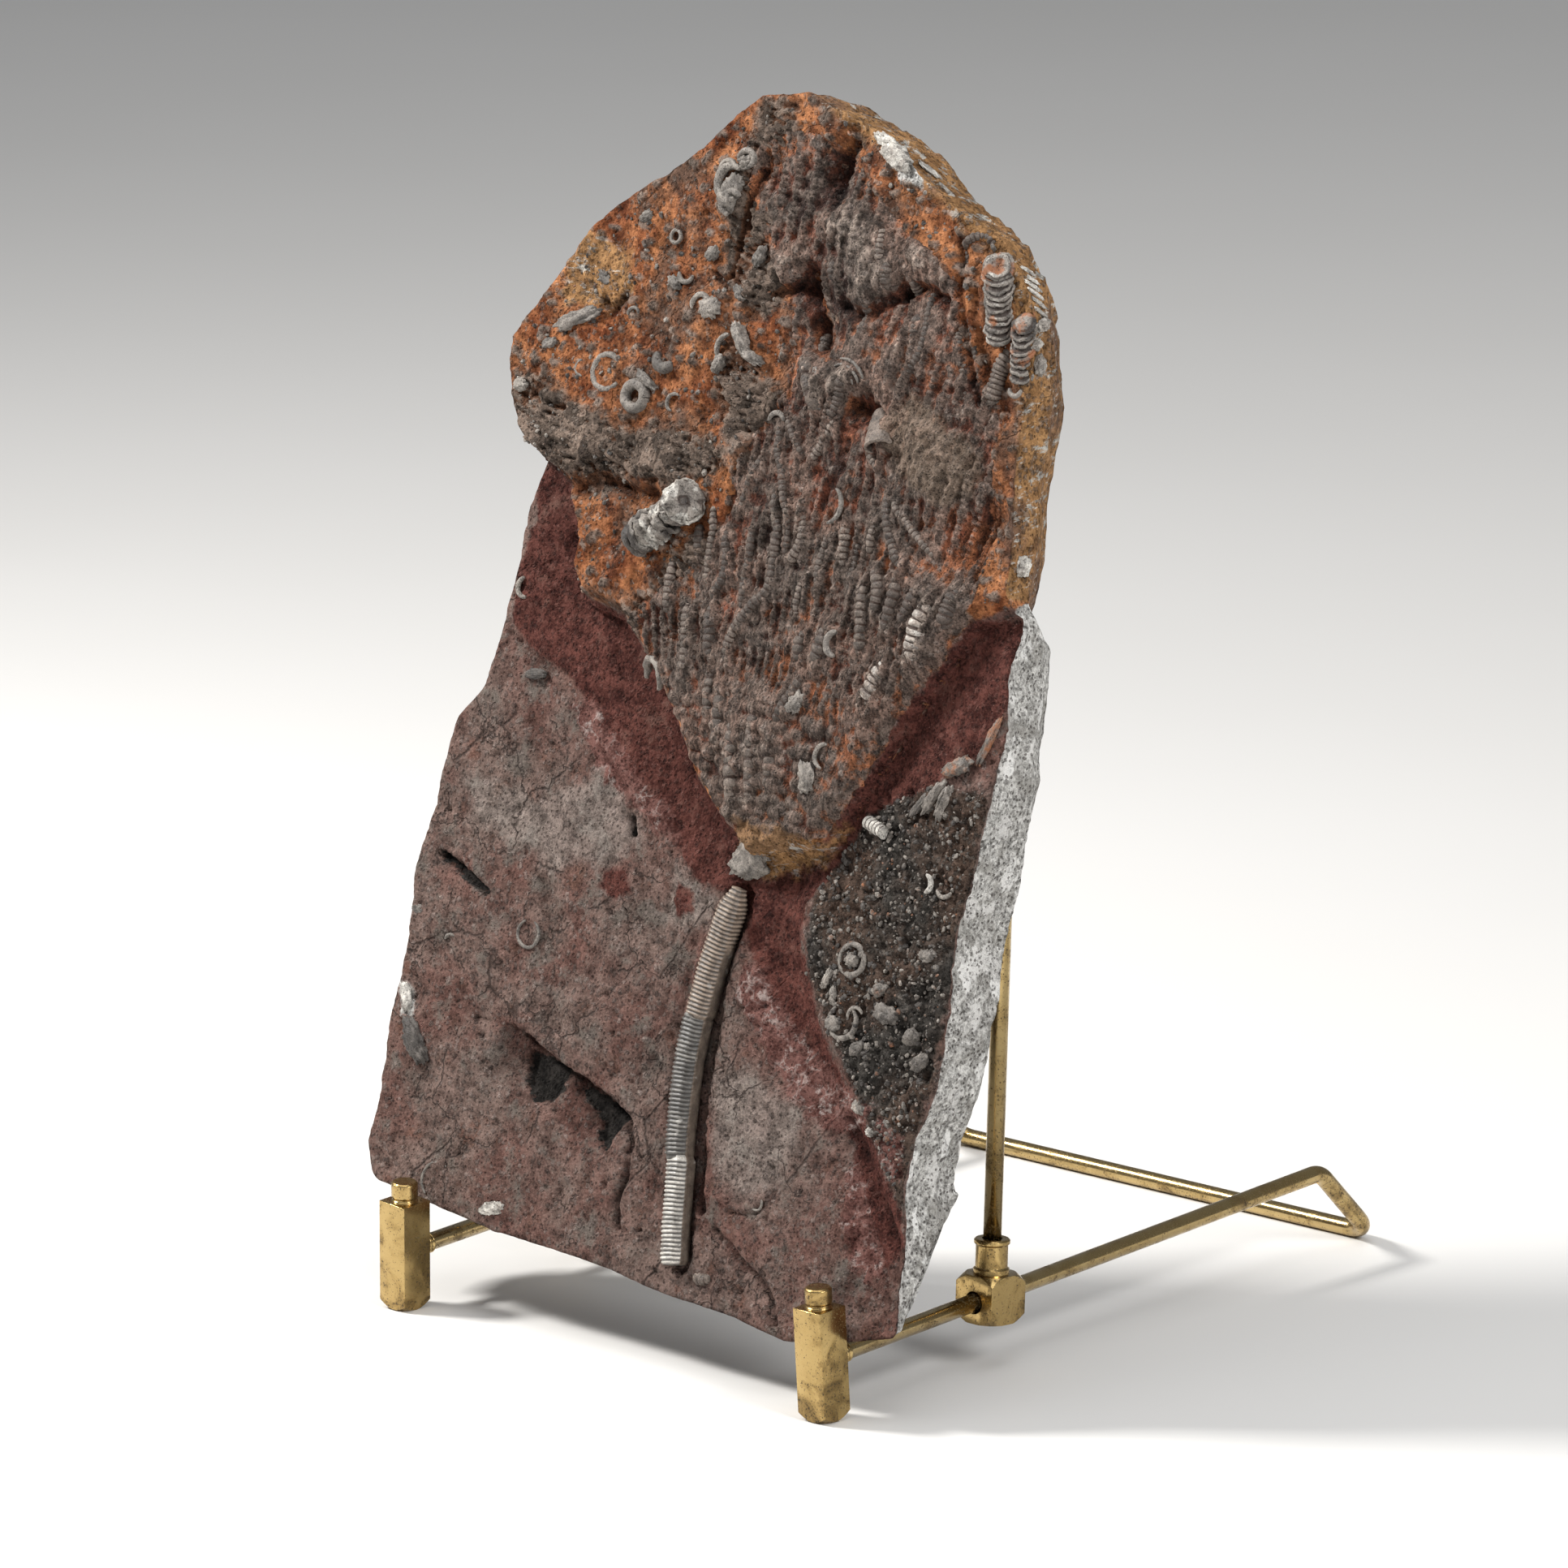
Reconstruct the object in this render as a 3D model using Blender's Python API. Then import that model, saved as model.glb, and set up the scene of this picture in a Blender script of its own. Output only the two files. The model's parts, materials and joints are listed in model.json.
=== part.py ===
"""A crinoid fossil in its limestone slab, leaning on an adjustable brass easel.

Units are metres in the scene; sizes below are in millimetres and go through MM.
Stand axes: X from the left post to the right one, Y from the posts to the rear bar, Z up.
Slab axes: u to the right, v up the leaning face, w out of the face, from the foot of the face.
"""

import math

import bmesh
import bpy
import numpy as np
from mathutils import Matrix, Vector
from mathutils.geometry import delaunay_2d_cdt

MM = 0.001
GAP = 0.3

# Brass stand
POST_SIDE = 9.5
POST_TOP = 30.2
POST_SPACING = 154.3
POST_FOOT_RADIUS = 3.6
POST_FOOT_RISE = 2.8
POST_FOOT_TRIM = 0.6
POST_PITCH = 2.3
LEFT_POST_ROLL = 4.5
PIN_RADIUS = 3.55
PIN_RISE = 5.4
PIN_CHAMFER = 0.6
POST_HOLE_DEPTH = 6.0
ROD_RADIUS = 2.38
ROD_SIDES_LEVEL = 3
ROD_START_HEIGHT = 15.9
ROD_PITCH = 2.3
SIDE_BEND_Y = 193.0
CROSS_BAR_Y = 213.5
BEND_RADIUS = 7.0
BEND_STEPS = 4
THREAD_PITCH = 1.3
THREAD_TURNS = 3
THREAD_SWELL = 1.2

# Back rest: two sliders and the bar that stands in them
SLIDER_SIDE = 12.8
SLIDER_Y = 63.2
SLIDER_NECK_RADIUS = 6.6
SLIDER_TURN_RISE = 2.2
BACK_REST_LEAN = 4.0
BORE_CLEARANCE = 0.6
COLLAR_RADIUS = 4.75
COLLAR_TOP = 15.6
COLLAR_LIP = 1.2
SOCKET_DEPTH = 7.0
REST_BAR_HEIGHT = 186.0

# Slab
SLAB_LEAN = 15.0
SLAB_FOOT_Y = 5.3
SLAB_FOOT_Z = 18.1
SLAB_THICKNESS = 21.0
FACE_STEP = 6.6
BACK_STEP = 16.0
EDGE_STEP = 8.0
EDGE_ROUGH = 0.6
FACE_ROUGH = 0.3
DEBRIS_ROUGH = 1.0
SIDE_DEPTH = 14.0
BACK_INSET = 3.5
SLAB_MIDDLE = (0.0, 150.0)
SEED = 7

# How deep the right side runs before it turns to the back, by height up the face: (v, depth).
RIGHT_SIDE_DEPTHS = [
    (0, 2), (8, 2.5), (23, 8), (31, 14), (45, 19), (55, 19), (69, 16.5), (81, 17), (95, 20), (109, 20),
    (125, 20), (140, 17.5), (150, 14.5), (160, 11.5), (176, 13.5), (187, 11.5), (196, 6), (212, 8.5),
    (234, 7.5), (255, 7), (268, 4.5), (280, 5), (286, 5), (295, 8), (309, 13),
]

# How steeply the broken foot rises towards the back, by place along the foot: (u, rise per depth).
HEEL_SLOPES = [(-98, -0.1), (-77, -0.13), (-40, 0.0), (0, 0.2), (40, 0.4), (70, 0.7), (84, 1.5), (92, 1.9)]
HEEL_SPREAD = 0.15
FOOT_CORNERS = 9

# The face's outline, anticlockwise from the lower left corner: (u, v).
FACE_OUTLINE = [
    (-98, 13), (-76, 10), (-51, 7), (-23, 6), (-8, 5), (15, 2), (38, 1), (60, -2), (81, 2), (97, 6),
    (94, 30), (91, 44), (92, 55), (96, 69), (97, 80), (96, 95), (95, 109), (97, 125), (100, 150),
    (101, 163), (98, 177), (99, 188), (96, 197), (94, 216), (92, 228), (92, 241), (92, 254),
    (90, 266), (86, 277), (75, 286), (60, 292), (47, 299), (37, 305), (27, 309), (16, 312), (4, 316),
    (-13, 314), (-21, 308), (-29, 300), (-43, 290), (-60, 280), (-69, 272), (-77, 260), (-89, 242),
    (-91, 236), (-86, 224), (-79, 213), (-80, 198), (-80, 181), (-83, 160), (-86, 147), (-94, 139),
    (-96, 124), (-97, 113), (-100, 100), (-99, 76), (-101, 54), (-100, 36), (-102, 22),
]

# The ledge where the raised fossil bed breaks down to the plain rock, from left to right.
LEDGE = [
    (-84, 213), (-67, 204), (-61, 194), (-59, 183), (-53, 175), (-38, 172), (-24, 160), (-12, 147),
    (-3, 135), (8, 126), (23, 116), (47, 123), (57, 142), (65, 158), (80, 180), (85, 187), (104, 195),
]
RAISED_BED = [(-125, 213)] + LEDGE + [(130, 197), (130, 345), (-125, 345)]
BED_RISE = 6.0
BED_RIM_RISE = 3.0
LEDGE_WIDTH = 6.0
HOLLOW_DEPTH = 2.8
HOLLOW_REACH = 17.0
HOLLOW_FADE = (104.0, 118.0)
RIM_FADE_U = (62.0, 87.0)
RIM_FADE_V = (185.0, 200.0)

# The dark rubble to the right of the stem, rougher than the plain rock.
DARK_BED = [(52, 142), (44, 118), (46, 92), (66, 68), (92, 36), (96, 80), (99, 146), (80, 146)]
DARK_BED_FADE = 5.0

# Lumps and hollows of the rock and of the crown: (u, v, radius, rise).
LUMPS = [
    (-62, 262, 12, -2.2), (-66, 249, 6, 1.0), (-72, 229, 9, 1.2), (-56, 221, 9, 1.7), (-33, 217, 8, 1.3),
    (-49, 206, 8, -2.6), (-40, 196, 5, -3.0), (-60, 190, 5, -2.0), (-36, 186, 8, 0.8), (-44, 233, 10, 0.7),
    (-16, 290, 7, 2.0), (-8, 296, 4, -2.2), (-20, 257, 6, 0.9), (-4, 246, 7, 1.1), (16, 297, 6, -4.5),
    (22, 306, 5, -2.5), (31, 291, 8, 1.4), (44, 300, 6, 1.5), (12, 267, 4, -3.5), (20, 257, 6, -3.0),
    (29, 273, 9, 1.6), (46, 267, 7, -2.0), (57, 268, 6, -1.4), (40, 238, 6, -3.2), (24, 244, 6, 1.5),
    (48, 232, 4.5, 3.2), (68, 226, 13, 1.6), (87, 212, 8, -1.6), (73, 285, 8, -1.5), (22, 150, 13, 1.2),
    (46, 150, 7, -0.8), (24, 120, 5, 0.8), (-24, 64, 16, 1.4), (-42, 48, 6, -1.0), (-18, 42, 6, -1.2),
    (-6, 28, 9, 1.2), (-90, 52, 6, 0.8), (-62, 72, 9, -0.7), (32, 80, 9, 0.7), (30, 55, 9, 0.6),
    (62, 97, 5, 1.0), (60, 82, 5, 0.8), (78, 86, 6, 1.0), (48, 98, 5, 0.8), (80, 66, 7, -0.8),
    (82, 143, 6, 1.0), (74, 118, 9, -0.6), (-76, 170, 7, 0.9), (-62, 160, 8, 0.7),
]

# The crown's outline on the bed, anticlockwise from its base.
CROWN_OUTLINE = [
    (24, 118), (48, 126), (57, 143), (66, 160), (80, 182), (88, 194), (88, 215), (86, 240), (80, 250),
    (70, 258), (67, 271), (58, 280), (44, 286), (28, 299), (12, 307), (-8, 307), (-15, 298),
    (-12, 284), (0, 269), (9, 255), (11, 241), (1, 227), (-4, 215), (-4, 203), (-13, 190), (-26, 180),
    (-34, 174), (-21, 161), (-9, 148), (0, 136), (10, 127),
]
CROWN_FLOOR = -2.6
CROWN_STEP = 5.0

# Arms that stand out of the crown, each from its lower end to its tip, and their half width.
ARM_CRESTS = [
    ([(5, 166), (7, 177), (13, 185), (16, 192), (16, 203), (12, 218), (9, 231)], 2.2),
    ([(20, 195), (19, 206), (17, 215)], 2.2),
    ([(23, 196), (26, 206), (32, 212)], 2.0),
    ([(7, 184), (6, 193), (4, 203)], 2.0),
    ([(-1, 171), (-6, 184), (-3, 193), (-3, 200)], 2.4),
    ([(-17, 176), (-16, 186)], 2.2),
    ([(-10, 160), (-9, 172), (-11, 181)], 2.2),
    ([(9, 141), (6, 152), (5, 161)], 2.8),
    ([(29, 168), (31, 181)], 2.6),
    ([(34, 169), (37, 184)], 3.0),
    ([(51, 174), (49, 185), (48, 197)], 2.2),
    ([(54, 186), (56, 192), (53, 199)], 2.2),
    ([(59, 184), (60, 197)], 2.4),
    ([(60, 201), (54, 211), (52, 219)], 2.2),
    ([(68, 203), (58, 216), (54, 222)], 2.0),
    ([(70, 177), (72, 191)], 4.0),
    ([(58, 165), (62, 174)], 3.6),
    ([(25, 153), (27, 163)], 2.6),
    ([(40, 199), (42, 208)], 2.0),
    ([(50, 244), (57, 256), (54, 272)], 2.8),
    ([(78, 244), (70, 256), (60, 268)], 2.8),
    ([(28, 232), (32, 247)], 2.6),
    ([(15, 249), (17, 262), (13, 268)], 2.2),
    ([(36, 274), (38, 284)], 2.6),
]
ARM_RISE = 2.4
ARM_RING = 0.45
ARM_POINT_STEP = 4.2
ARM_SIDE_DIP = 0.9
ARM_CLEARANCE = 1.8
CROWN_EDGE_MARGIN = 1.2
POCKET_RIM_GAP = 1.1
POCKET_FLOOR_GAP = 0.55
ON_LINE = 0.3

# Stem in its channel, from its lower end up to the tip: (u, v) along its axis.
STEM_AXIS = [(16.5, 13), (14.5, 25), (13.0, 38), (11.5, 50), (10.8, 66), (12.5, 81), (14.5, 93), (17.5, 106)]
STEM_RADIUS = 4.1
STEM_RISE = 0.6
STEM_RING_PITCH = 2.8
STEM_RING_DEPTH = 0.4
STEM_SIDES = 9
CHANNEL_LEFT_GAP = 0.5
CHANNEL_RIGHT_GAP = 1.8
CHANNEL_SLOPE = 0.6
CHANNEL_FLOOR = STEM_RISE - STEM_RADIUS - 2 * GAP

# The dark red hollow that runs down from the crown's base.
RED_VALLEY = [(32, 112), (34, 98), (41, 84), (52, 71), (66, 58), (77, 45), (86, 28)]
VALLEY_DEPTH = 3.0
VALLEY_REACH = 7.0

# Loose pieces that lie on the bed: the middle of each foot, its heading from +u, and its size.
BARREL_PLACE = (-21.5, 201.5)
BARREL_HEADING = 27.0
BARREL_LENGTH = 22.0
BARREL_RADIUS = 5.3
STACK_PLACE = (78.5, 268.5)
STACK_HEADING = 98.0
STACK_LENGTH = 18.0
STACK_RADIUS = 4.2
PAD_MARGIN = 0.9


def slab_frame():
    """Matrix from slab axes (u, v, w) to stand axes, in millimetres."""
    lean = math.radians(SLAB_LEAN)
    along = Vector((1, 0, 0))
    up_face = Vector((0, math.sin(lean), math.cos(lean)))
    out = Vector((0, -math.cos(lean), math.sin(lean)))
    frame = Matrix((along, up_face, out)).transposed().to_4x4()
    frame.translation = (0, SLAB_FOOT_Y, SLAB_FOOT_Z)
    return frame


SLAB_FRAME = slab_frame()


def material(name, color, roughness, metallic=0.0):
    made = bpy.data.materials.new(name)
    made.use_nodes = True
    shader = made.node_tree.nodes["Principled BSDF"]
    shader.inputs["Base Color"].default_value = (*color, 1.0)
    shader.inputs["Roughness"].default_value = roughness
    shader.inputs["Metallic"].default_value = metallic
    return made


def add_object(name, mesh, surface):
    made = bpy.data.objects.new(name, mesh)
    bpy.context.scene.collection.objects.link(made)
    mesh.materials.append(surface)
    return made


def mesh_from(name, points, faces):
    """A closed mesh from millimetre points in stand axes, faces turned outwards."""
    shape = bmesh.new()
    corners = [shape.verts.new(Vector(point) * MM) for point in points]
    for face in faces:
        shape.faces.new([corners[index] for index in face])
    bmesh.ops.recalc_face_normals(shape, faces=shape.faces)
    mesh = bpy.data.meshes.new(name)
    shape.to_mesh(mesh)
    shape.free()
    return mesh


def ease(value):
    """0 below 0, 1 above 1, and a smooth step between."""
    value = np.clip(value, 0.0, 1.0)
    return value * value * (3.0 - 2.0 * value)


def rising(value, span):
    """0 before a span, 1 after it, and a smooth step across it."""
    return ease((value - span[0]) / (span[1] - span[0]))


def distance_to_path(points, path, closed=False):
    """The distance from each point to a path of straight runs."""
    points = np.asarray(points, float)
    path = np.asarray(path, float)
    ends = np.roll(path, -1, axis=0) if closed else path[1:]
    starts = path if closed else path[:-1]
    nearest = np.full(len(points), np.inf)
    for start, end in zip(starts, ends):
        run = end - start
        share = np.clip((points - start) @ run / (run @ run), 0.0, 1.0)
        offset = points - start - share[:, None] * run
        nearest = np.minimum(nearest, np.hypot(offset[:, 0], offset[:, 1]))
    return nearest


def inside(points, outline):
    """Which points lie inside a closed outline."""
    points = np.asarray(points, float)
    outline = np.asarray(outline, float)
    crossed = np.zeros(len(points), bool)
    for (u0, v0), (u1, v1) in zip(outline, np.roll(outline, -1, axis=0)):
        if v0 == v1:
            continue
        spans = (points[:, 1] < v0) != (points[:, 1] < v1)
        meet = u0 + (points[:, 1] - v0) * (u1 - u0) / (v1 - v0)
        crossed ^= spans & (points[:, 0] < meet)
    return crossed


def depth_inside(points, outline):
    """The distance to an outline, positive inside it and negative outside."""
    distance = distance_to_path(points, outline, closed=True)
    return np.where(inside(points, outline), distance, -distance)


def face_height(points):
    """How far the rock face stands out at each (u, v), before its roughness."""
    points = np.asarray(points, float)
    u, v = points[:, 0], points[:, 1]
    depth = depth_inside(points, RAISED_BED)
    rim = rising(u, RIM_FADE_U) * rising(v, RIM_FADE_V)
    bed = BED_RISE * (1 - rim) + BED_RIM_RISE * rim
    height = bed * ease(depth / LEDGE_WIDTH)
    hollow = ease(1 + depth / HOLLOW_REACH) * (depth < 0) * rising(v, HOLLOW_FADE)
    height -= HOLLOW_DEPTH * hollow
    height -= VALLEY_DEPTH * np.exp(-((distance_to_path(points, RED_VALLEY) / VALLEY_REACH) ** 2))
    for lump_u, lump_v, radius, rise in LUMPS:
        height += rise * np.exp(-((u - lump_u) ** 2 + (v - lump_v) ** 2) / radius**2)
    return height


def roughness(points, generator):
    """Lumps and pits: small on the plain rock, larger on the bed and on the dark debris."""
    points = np.asarray(points, float)
    bed = ease(depth_inside(points, RAISED_BED) / LEDGE_WIDTH)
    dark = ease(depth_inside(points, DARK_BED) / DARK_BED_FADE)
    size = FACE_ROUGH + (DEBRIS_ROUGH - FACE_ROUGH) * np.maximum(bed, dark)
    return size * generator.uniform(-1.0, 1.0, len(points))


def divided(outline, step):
    """A closed outline with its long edges divided."""
    points = []
    for start, end in zip(outline, outline[1:] + outline[:1]):
        count = max(1, round(math.dist(start, end) / step))
        for index in range(count):
            share = index / count
            points.append((start[0] + (end[0] - start[0]) * share, start[1] + (end[1] - start[1]) * share))
    return points


def resampled(path, step):
    """Even points along a path, a step or a little less apart, with both ends kept."""
    path = np.asarray(path, float)
    runs = np.hypot(*np.diff(path, axis=0).T)
    reach = np.concatenate([[0.0], np.cumsum(runs)])
    count = max(2, math.ceil(reach[-1] / step) + 1)
    at = np.linspace(0.0, reach[-1], count)
    return np.stack([np.interp(at, reach, path[:, axis]) for axis in (0, 1)], axis=1)


def side_lines(path, offset):
    """The two lines at an offset from a path, right and left of its heading."""
    heading = np.gradient(path, axis=0)
    heading /= np.hypot(heading[:, 0], heading[:, 1])[:, None]
    across = np.stack([heading[:, 1], -heading[:, 0]], axis=1)
    return path + offset * across, path - offset * across


def strip_outline(path, right_offset, left_offset, end_gap):
    """A closed outline round a path, at an offset from each side and past its ends."""
    first = path[0] - path[1]
    last = path[-1] - path[-2]
    longer = np.concatenate([
        [path[0] + first / np.hypot(*first) * end_gap],
        path[1:-1],
        [path[-1] + last / np.hypot(*last) * end_gap],
    ])
    right, left = side_lines(longer, right_offset)[0], side_lines(longer, left_offset)[1]
    return [tuple(point) for point in np.concatenate([right, left[::-1]])]


def grid_points(outline, step, margin, generator):
    """Jittered points in staggered rows inside an outline, a margin clear of it."""
    low = np.min(outline, axis=0)
    high = np.max(outline, axis=0)
    rows = np.arange(low[1], high[1], step * 0.87)
    points = []
    for index, v in enumerate(rows):
        us = np.arange(low[0] + (index % 2) * step / 2, high[0], step)
        points.append(np.stack([us, np.full(len(us), v)], axis=1))
    points = np.concatenate(points)
    points += generator.uniform(-0.22, 0.22, points.shape) * step
    return points[depth_inside(points, outline) > margin]


def clear_runs(line, outline, margin):
    """The lengths of a line that keep a margin inside an outline."""
    runs = [[]]
    for point, depth in zip(line, depth_inside(line, outline)):
        if depth > margin:
            runs[-1].append(tuple(point))
        elif runs[-1]:
            runs.append([])
    return [run for run in runs if len(run) > 1]


def triangulated(outline, loops, lines, free):
    """Triangles inside an outline whose edges keep the given loops and lines.

    Returns the points, the triangles and the places of the outline's own points.
    """
    points = [Vector(point) for point in outline]
    edges = []
    for chain, closed in [(loop, True) for loop in loops] + [(line, False) for line in lines]:
        start = len(points)
        points += [Vector(point) for point in chain]
        edges += [(start + index, start + index + 1) for index in range(len(chain) - 1)]
        if closed:
            edges.append((len(points) - 1, start))
    points += [Vector(point) for point in free]
    border = list(range(len(outline)))
    found, _, triangles, sources, _, _ = delaunay_2d_cdt(points, edges, [border], 1, 1e-4)
    place = {}
    for index, source in enumerate(sources):
        for original in source:
            place[original] = index
    return np.array([tuple(point) for point in found]), triangles, [place[index] for index in border]


def slab_points(points, heights):
    """(u, v) points and their heights as millimetre points in stand axes."""
    return [tuple(SLAB_FRAME @ Vector((u, v, w))) for (u, v), w in zip(points, heights)]


def joined_plate(name, front, back, rings):
    """A closed solid from a front and a back sheet, with rings of points between their borders.

    front and back are (points in stand axes, triangles, border places); both borders match.
    """
    points = list(front[0])
    faces = [tuple(face) for face in front[1]]
    loops = [list(front[2])]
    for ring in rings:
        loops.append(list(range(len(points), len(points) + len(ring))))
        points += ring
    shift = len(points)
    points += list(back[0])
    faces += [tuple(shift + index for index in reversed(face)) for face in back[1]]
    loops.append([shift + index for index in back[2]])
    count = len(loops[0])
    for near, far in zip(loops, loops[1:]):
        for index in range(count):
            after = (index + 1) % count
            faces.append((near[index], far[index], far[after]))
            faces.append((near[index], far[after], near[after]))
    return mesh_from(name, points, faces)


def outward(outline):
    """Unit vectors out of an anticlockwise outline at its points."""
    points = np.asarray(outline, float)
    heading = np.roll(points, -1, axis=0) - np.roll(points, 1, axis=0)
    heading /= np.hypot(heading[:, 0], heading[:, 1])[:, None]
    return np.stack([heading[:, 1], -heading[:, 0]], axis=1)


def side_depths(outline):
    """How deep the slab's side runs at each outline point before it turns to the back."""
    points = np.asarray(outline, float)
    right = np.clip(1.6 * outward(outline)[:, 0], 0.0, 1.0)
    return (1 - right) * SIDE_DEPTH + right * np.interp(points[:, 1], *np.transpose(RIGHT_SIDE_DEPTHS))


def sunk(outline, depths, insets):
    """An outline carried into the rock: drawn towards the middle, and up along the broken foot."""
    points = np.asarray(outline, float)
    pull = SLAB_MIDDLE - points
    moved = points + insets[:, None] * pull / np.hypot(pull[:, 0], pull[:, 1])[:, None]
    foot = np.interp(moved[:, 0], *np.transpose(FACE_OUTLINE[:FOOT_CORNERS]))
    lift = np.interp(moved[:, 0], *np.transpose(HEEL_SLOPES)) * depths
    above = moved[:, 1] - foot
    spread = HEEL_SPREAD * np.abs(lift) + 0.3
    raised = np.where(lift > 0, spread * np.log1p(np.exp((lift - above) / spread)), 0.0)
    dropped = np.where(lift < 0, lift * ease(1 - above / 15), 0.0)
    moved[:, 1] += raised + dropped
    return moved


def pads():
    """The flat beds of the loose pieces: each bed's outline and its level."""
    made = []
    for place, heading, length, radius in (
        (BARREL_PLACE, BARREL_HEADING, BARREL_LENGTH, BARREL_RADIUS),
        (STACK_PLACE, STACK_HEADING, STACK_LENGTH, STACK_RADIUS),
    ):
        turn = math.radians(heading)
        half = np.array((math.cos(turn), math.sin(turn))) * length / 2
        path = np.array([np.array(place) - half, np.array(place) + half])
        reach = radius + PAD_MARGIN
        made.append((strip_outline(path, reach, reach, PAD_MARGIN), float(face_height([place])[0])))
    return made


def levelled(points, heights):
    """Heights brought to each bed's level where a loose piece lies."""
    for outline, level in pads():
        heights = np.where(depth_inside(points, outline) > -0.05, level, heights)
    return heights


def crown_walls():
    """The crown's outline divided, and the rim and the foot of the pocket that holds it."""
    outline = divided(CROWN_OUTLINE, EDGE_STEP * 0.8)

    facing = outward(outline)

    def grown(amount):
        return [tuple(point) for point in np.array(outline) + amount * facing]

    return outline, grown(POCKET_RIM_GAP), grown(POCKET_FLOOR_GAP)


def make_slab(surface):
    generator = np.random.default_rng(SEED)
    outline = divided(FACE_OUTLINE, EDGE_STEP)
    jitter = generator.uniform(-EDGE_ROUGH, EDGE_ROUGH, (len(outline), 2))
    foot = np.array(outline)[:, 1] < 16
    jitter[foot] = 0.0
    outline = [tuple(point) for point in np.array(outline) + jitter]
    _, rim, floor = crown_walls()
    stem = resampled(STEM_AXIS, 8.0)
    right, left = STEM_RADIUS + CHANNEL_RIGHT_GAP, STEM_RADIUS + CHANNEL_LEFT_GAP
    bed_loop = strip_outline(stem, right, left, CHANNEL_LEFT_GAP)
    bank_loop = strip_outline(stem, right + CHANNEL_SLOPE, left + CHANNEL_SLOPE, 1.2)
    free = grid_points(outline, FACE_STEP, 3.0, generator)
    loops = [rim, floor, bank_loop, bed_loop] + [pad for pad, _ in pads()]
    for loop in loops:
        free = free[distance_to_path(free, loop, closed=True) > 2.4]
    deep = inside(free, floor)
    free = np.concatenate([free[~deep], free[deep][::5]])
    free = free[~inside(free, bank_loop)]
    points, triangles, border = triangulated(outline, loops, [], free)
    rough = roughness(points, generator)
    rough[border] *= 0.3
    heights = levelled(points, face_height(points) + rough)
    heights[border] = np.minimum(heights[border], BED_RISE)
    heights[depth_inside(points, floor) > -0.05] = CROWN_FLOOR - GAP
    heights[depth_inside(points, bed_loop) > -0.05] = CHANNEL_FLOOR
    front = (slab_points(points, heights), triangles, border)

    depths = side_depths(outline)
    turn = sunk(outline, depths, np.full(len(outline), 0.4))
    middle = (np.array(outline) + turn) / 2
    thickness = np.full(len(outline), SLAB_THICKNESS)
    behind = sunk(outline, thickness, BACK_INSET + 1.2 * np.maximum(SIDE_DEPTH - depths, 0.0))
    shake = generator.uniform(-EDGE_ROUGH, EDGE_ROUGH, (2, len(outline), 2))
    shake[:, foot] = 0.0
    front_edge = heights[border]
    rings = [
        slab_points(middle + shake[0], (front_edge - depths) / 2),
        slab_points(turn + shake[1], -depths),
    ]
    behind = [tuple(point) for point in behind]
    back_free = grid_points(behind, BACK_STEP, 7.0, generator)
    back_uv, back_triangles, back_border = triangulated(behind, [], [], back_free)
    back_heights = -SLAB_THICKNESS + generator.uniform(0.0, 0.8, len(back_uv))
    back = (slab_points(back_uv, back_heights), back_triangles, back_border)
    return add_object("matrix_slab", joined_plate("matrix_slab", front, back, rings), surface)


def make_crown(surface):
    generator = np.random.default_rng(SEED + 1)
    outline, _, _ = crown_walls()
    free = grid_points(outline, CROWN_STEP, 2.2, generator)
    crests = []
    for path, half_width in ARM_CRESTS:
        crest = resampled(path, ARM_POINT_STEP)
        crests.append((crest, half_width))
        free = free[distance_to_path(free, crest) > half_width + ARM_CLEARANCE]
    lines = []
    for crest, half_width in crests:
        for line in (crest, *side_lines(crest, half_width)):
            lines += clear_runs(line, outline, CROWN_EDGE_MARGIN)
    points, triangles, border = triangulated(outline, [], lines, free)
    plain = face_height(points)
    heights = plain + roughness(points, generator)
    for number, (crest, half_width) in enumerate(crests):
        away = distance_to_path(points, crest)
        ring = ARM_RING * np.where(np.arange(len(points)) % 2 == number % 2, 1.0, -1.0)
        heights = np.where(away < ON_LINE, plain + ARM_RISE + ring, heights)
        heights = np.where(np.abs(away - half_width) < ON_LINE, plain - ARM_SIDE_DIP, heights)
    front = (slab_points(points, heights), triangles, border)
    floor_uv, floor_triangles, floor_border = triangulated(outline, [], [], [])
    floor = (slab_points(floor_uv, np.full(len(floor_uv), CROWN_FLOOR)), floor_triangles, floor_border)
    return add_object("crinoid_crown", joined_plate("crinoid_crown", front, floor, []), surface)


def turned(sections, sides):
    """A closed body through sections, each (centre, radius, across, up), with flat ends."""
    points = []
    for centre, radius, across, up in sections:
        for side in range(sides):
            angle = 2 * math.pi * side / sides
            points.append(tuple(centre + radius * (math.cos(angle) * across + math.sin(angle) * up)))
    faces = []
    for ring in range(len(sections) - 1):
        for side in range(sides):
            after = (side + 1) % sides
            low, high = ring * sides, (ring + 1) * sides
            faces.append((low + side, low + after, high + after, high + side))
    faces.append(tuple(range(sides)))
    last = (len(sections) - 1) * sides
    faces.append(tuple(reversed(range(last, last + sides))))
    return points, faces


def ringed_body(path, heights, radius_at, sides):
    """A ringed body along a path on the face; radius_at gives the radius of each section."""
    sections = []
    count = len(path)
    heading = np.gradient(path, axis=0)
    for index in range(count):
        u, v = path[index]
        centre = SLAB_FRAME @ Vector((u, v, heights[index]))
        along = Vector((heading[index][0], heading[index][1], 0.0)).normalized()
        across = SLAB_FRAME.to_3x3() @ Vector((along.y, -along.x, 0.0))
        up = SLAB_FRAME.to_3x3() @ Vector((0.0, 0.0, 1.0))
        sections.append((centre, radius_at(index), across, up))
    return turned(sections, sides)


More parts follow.
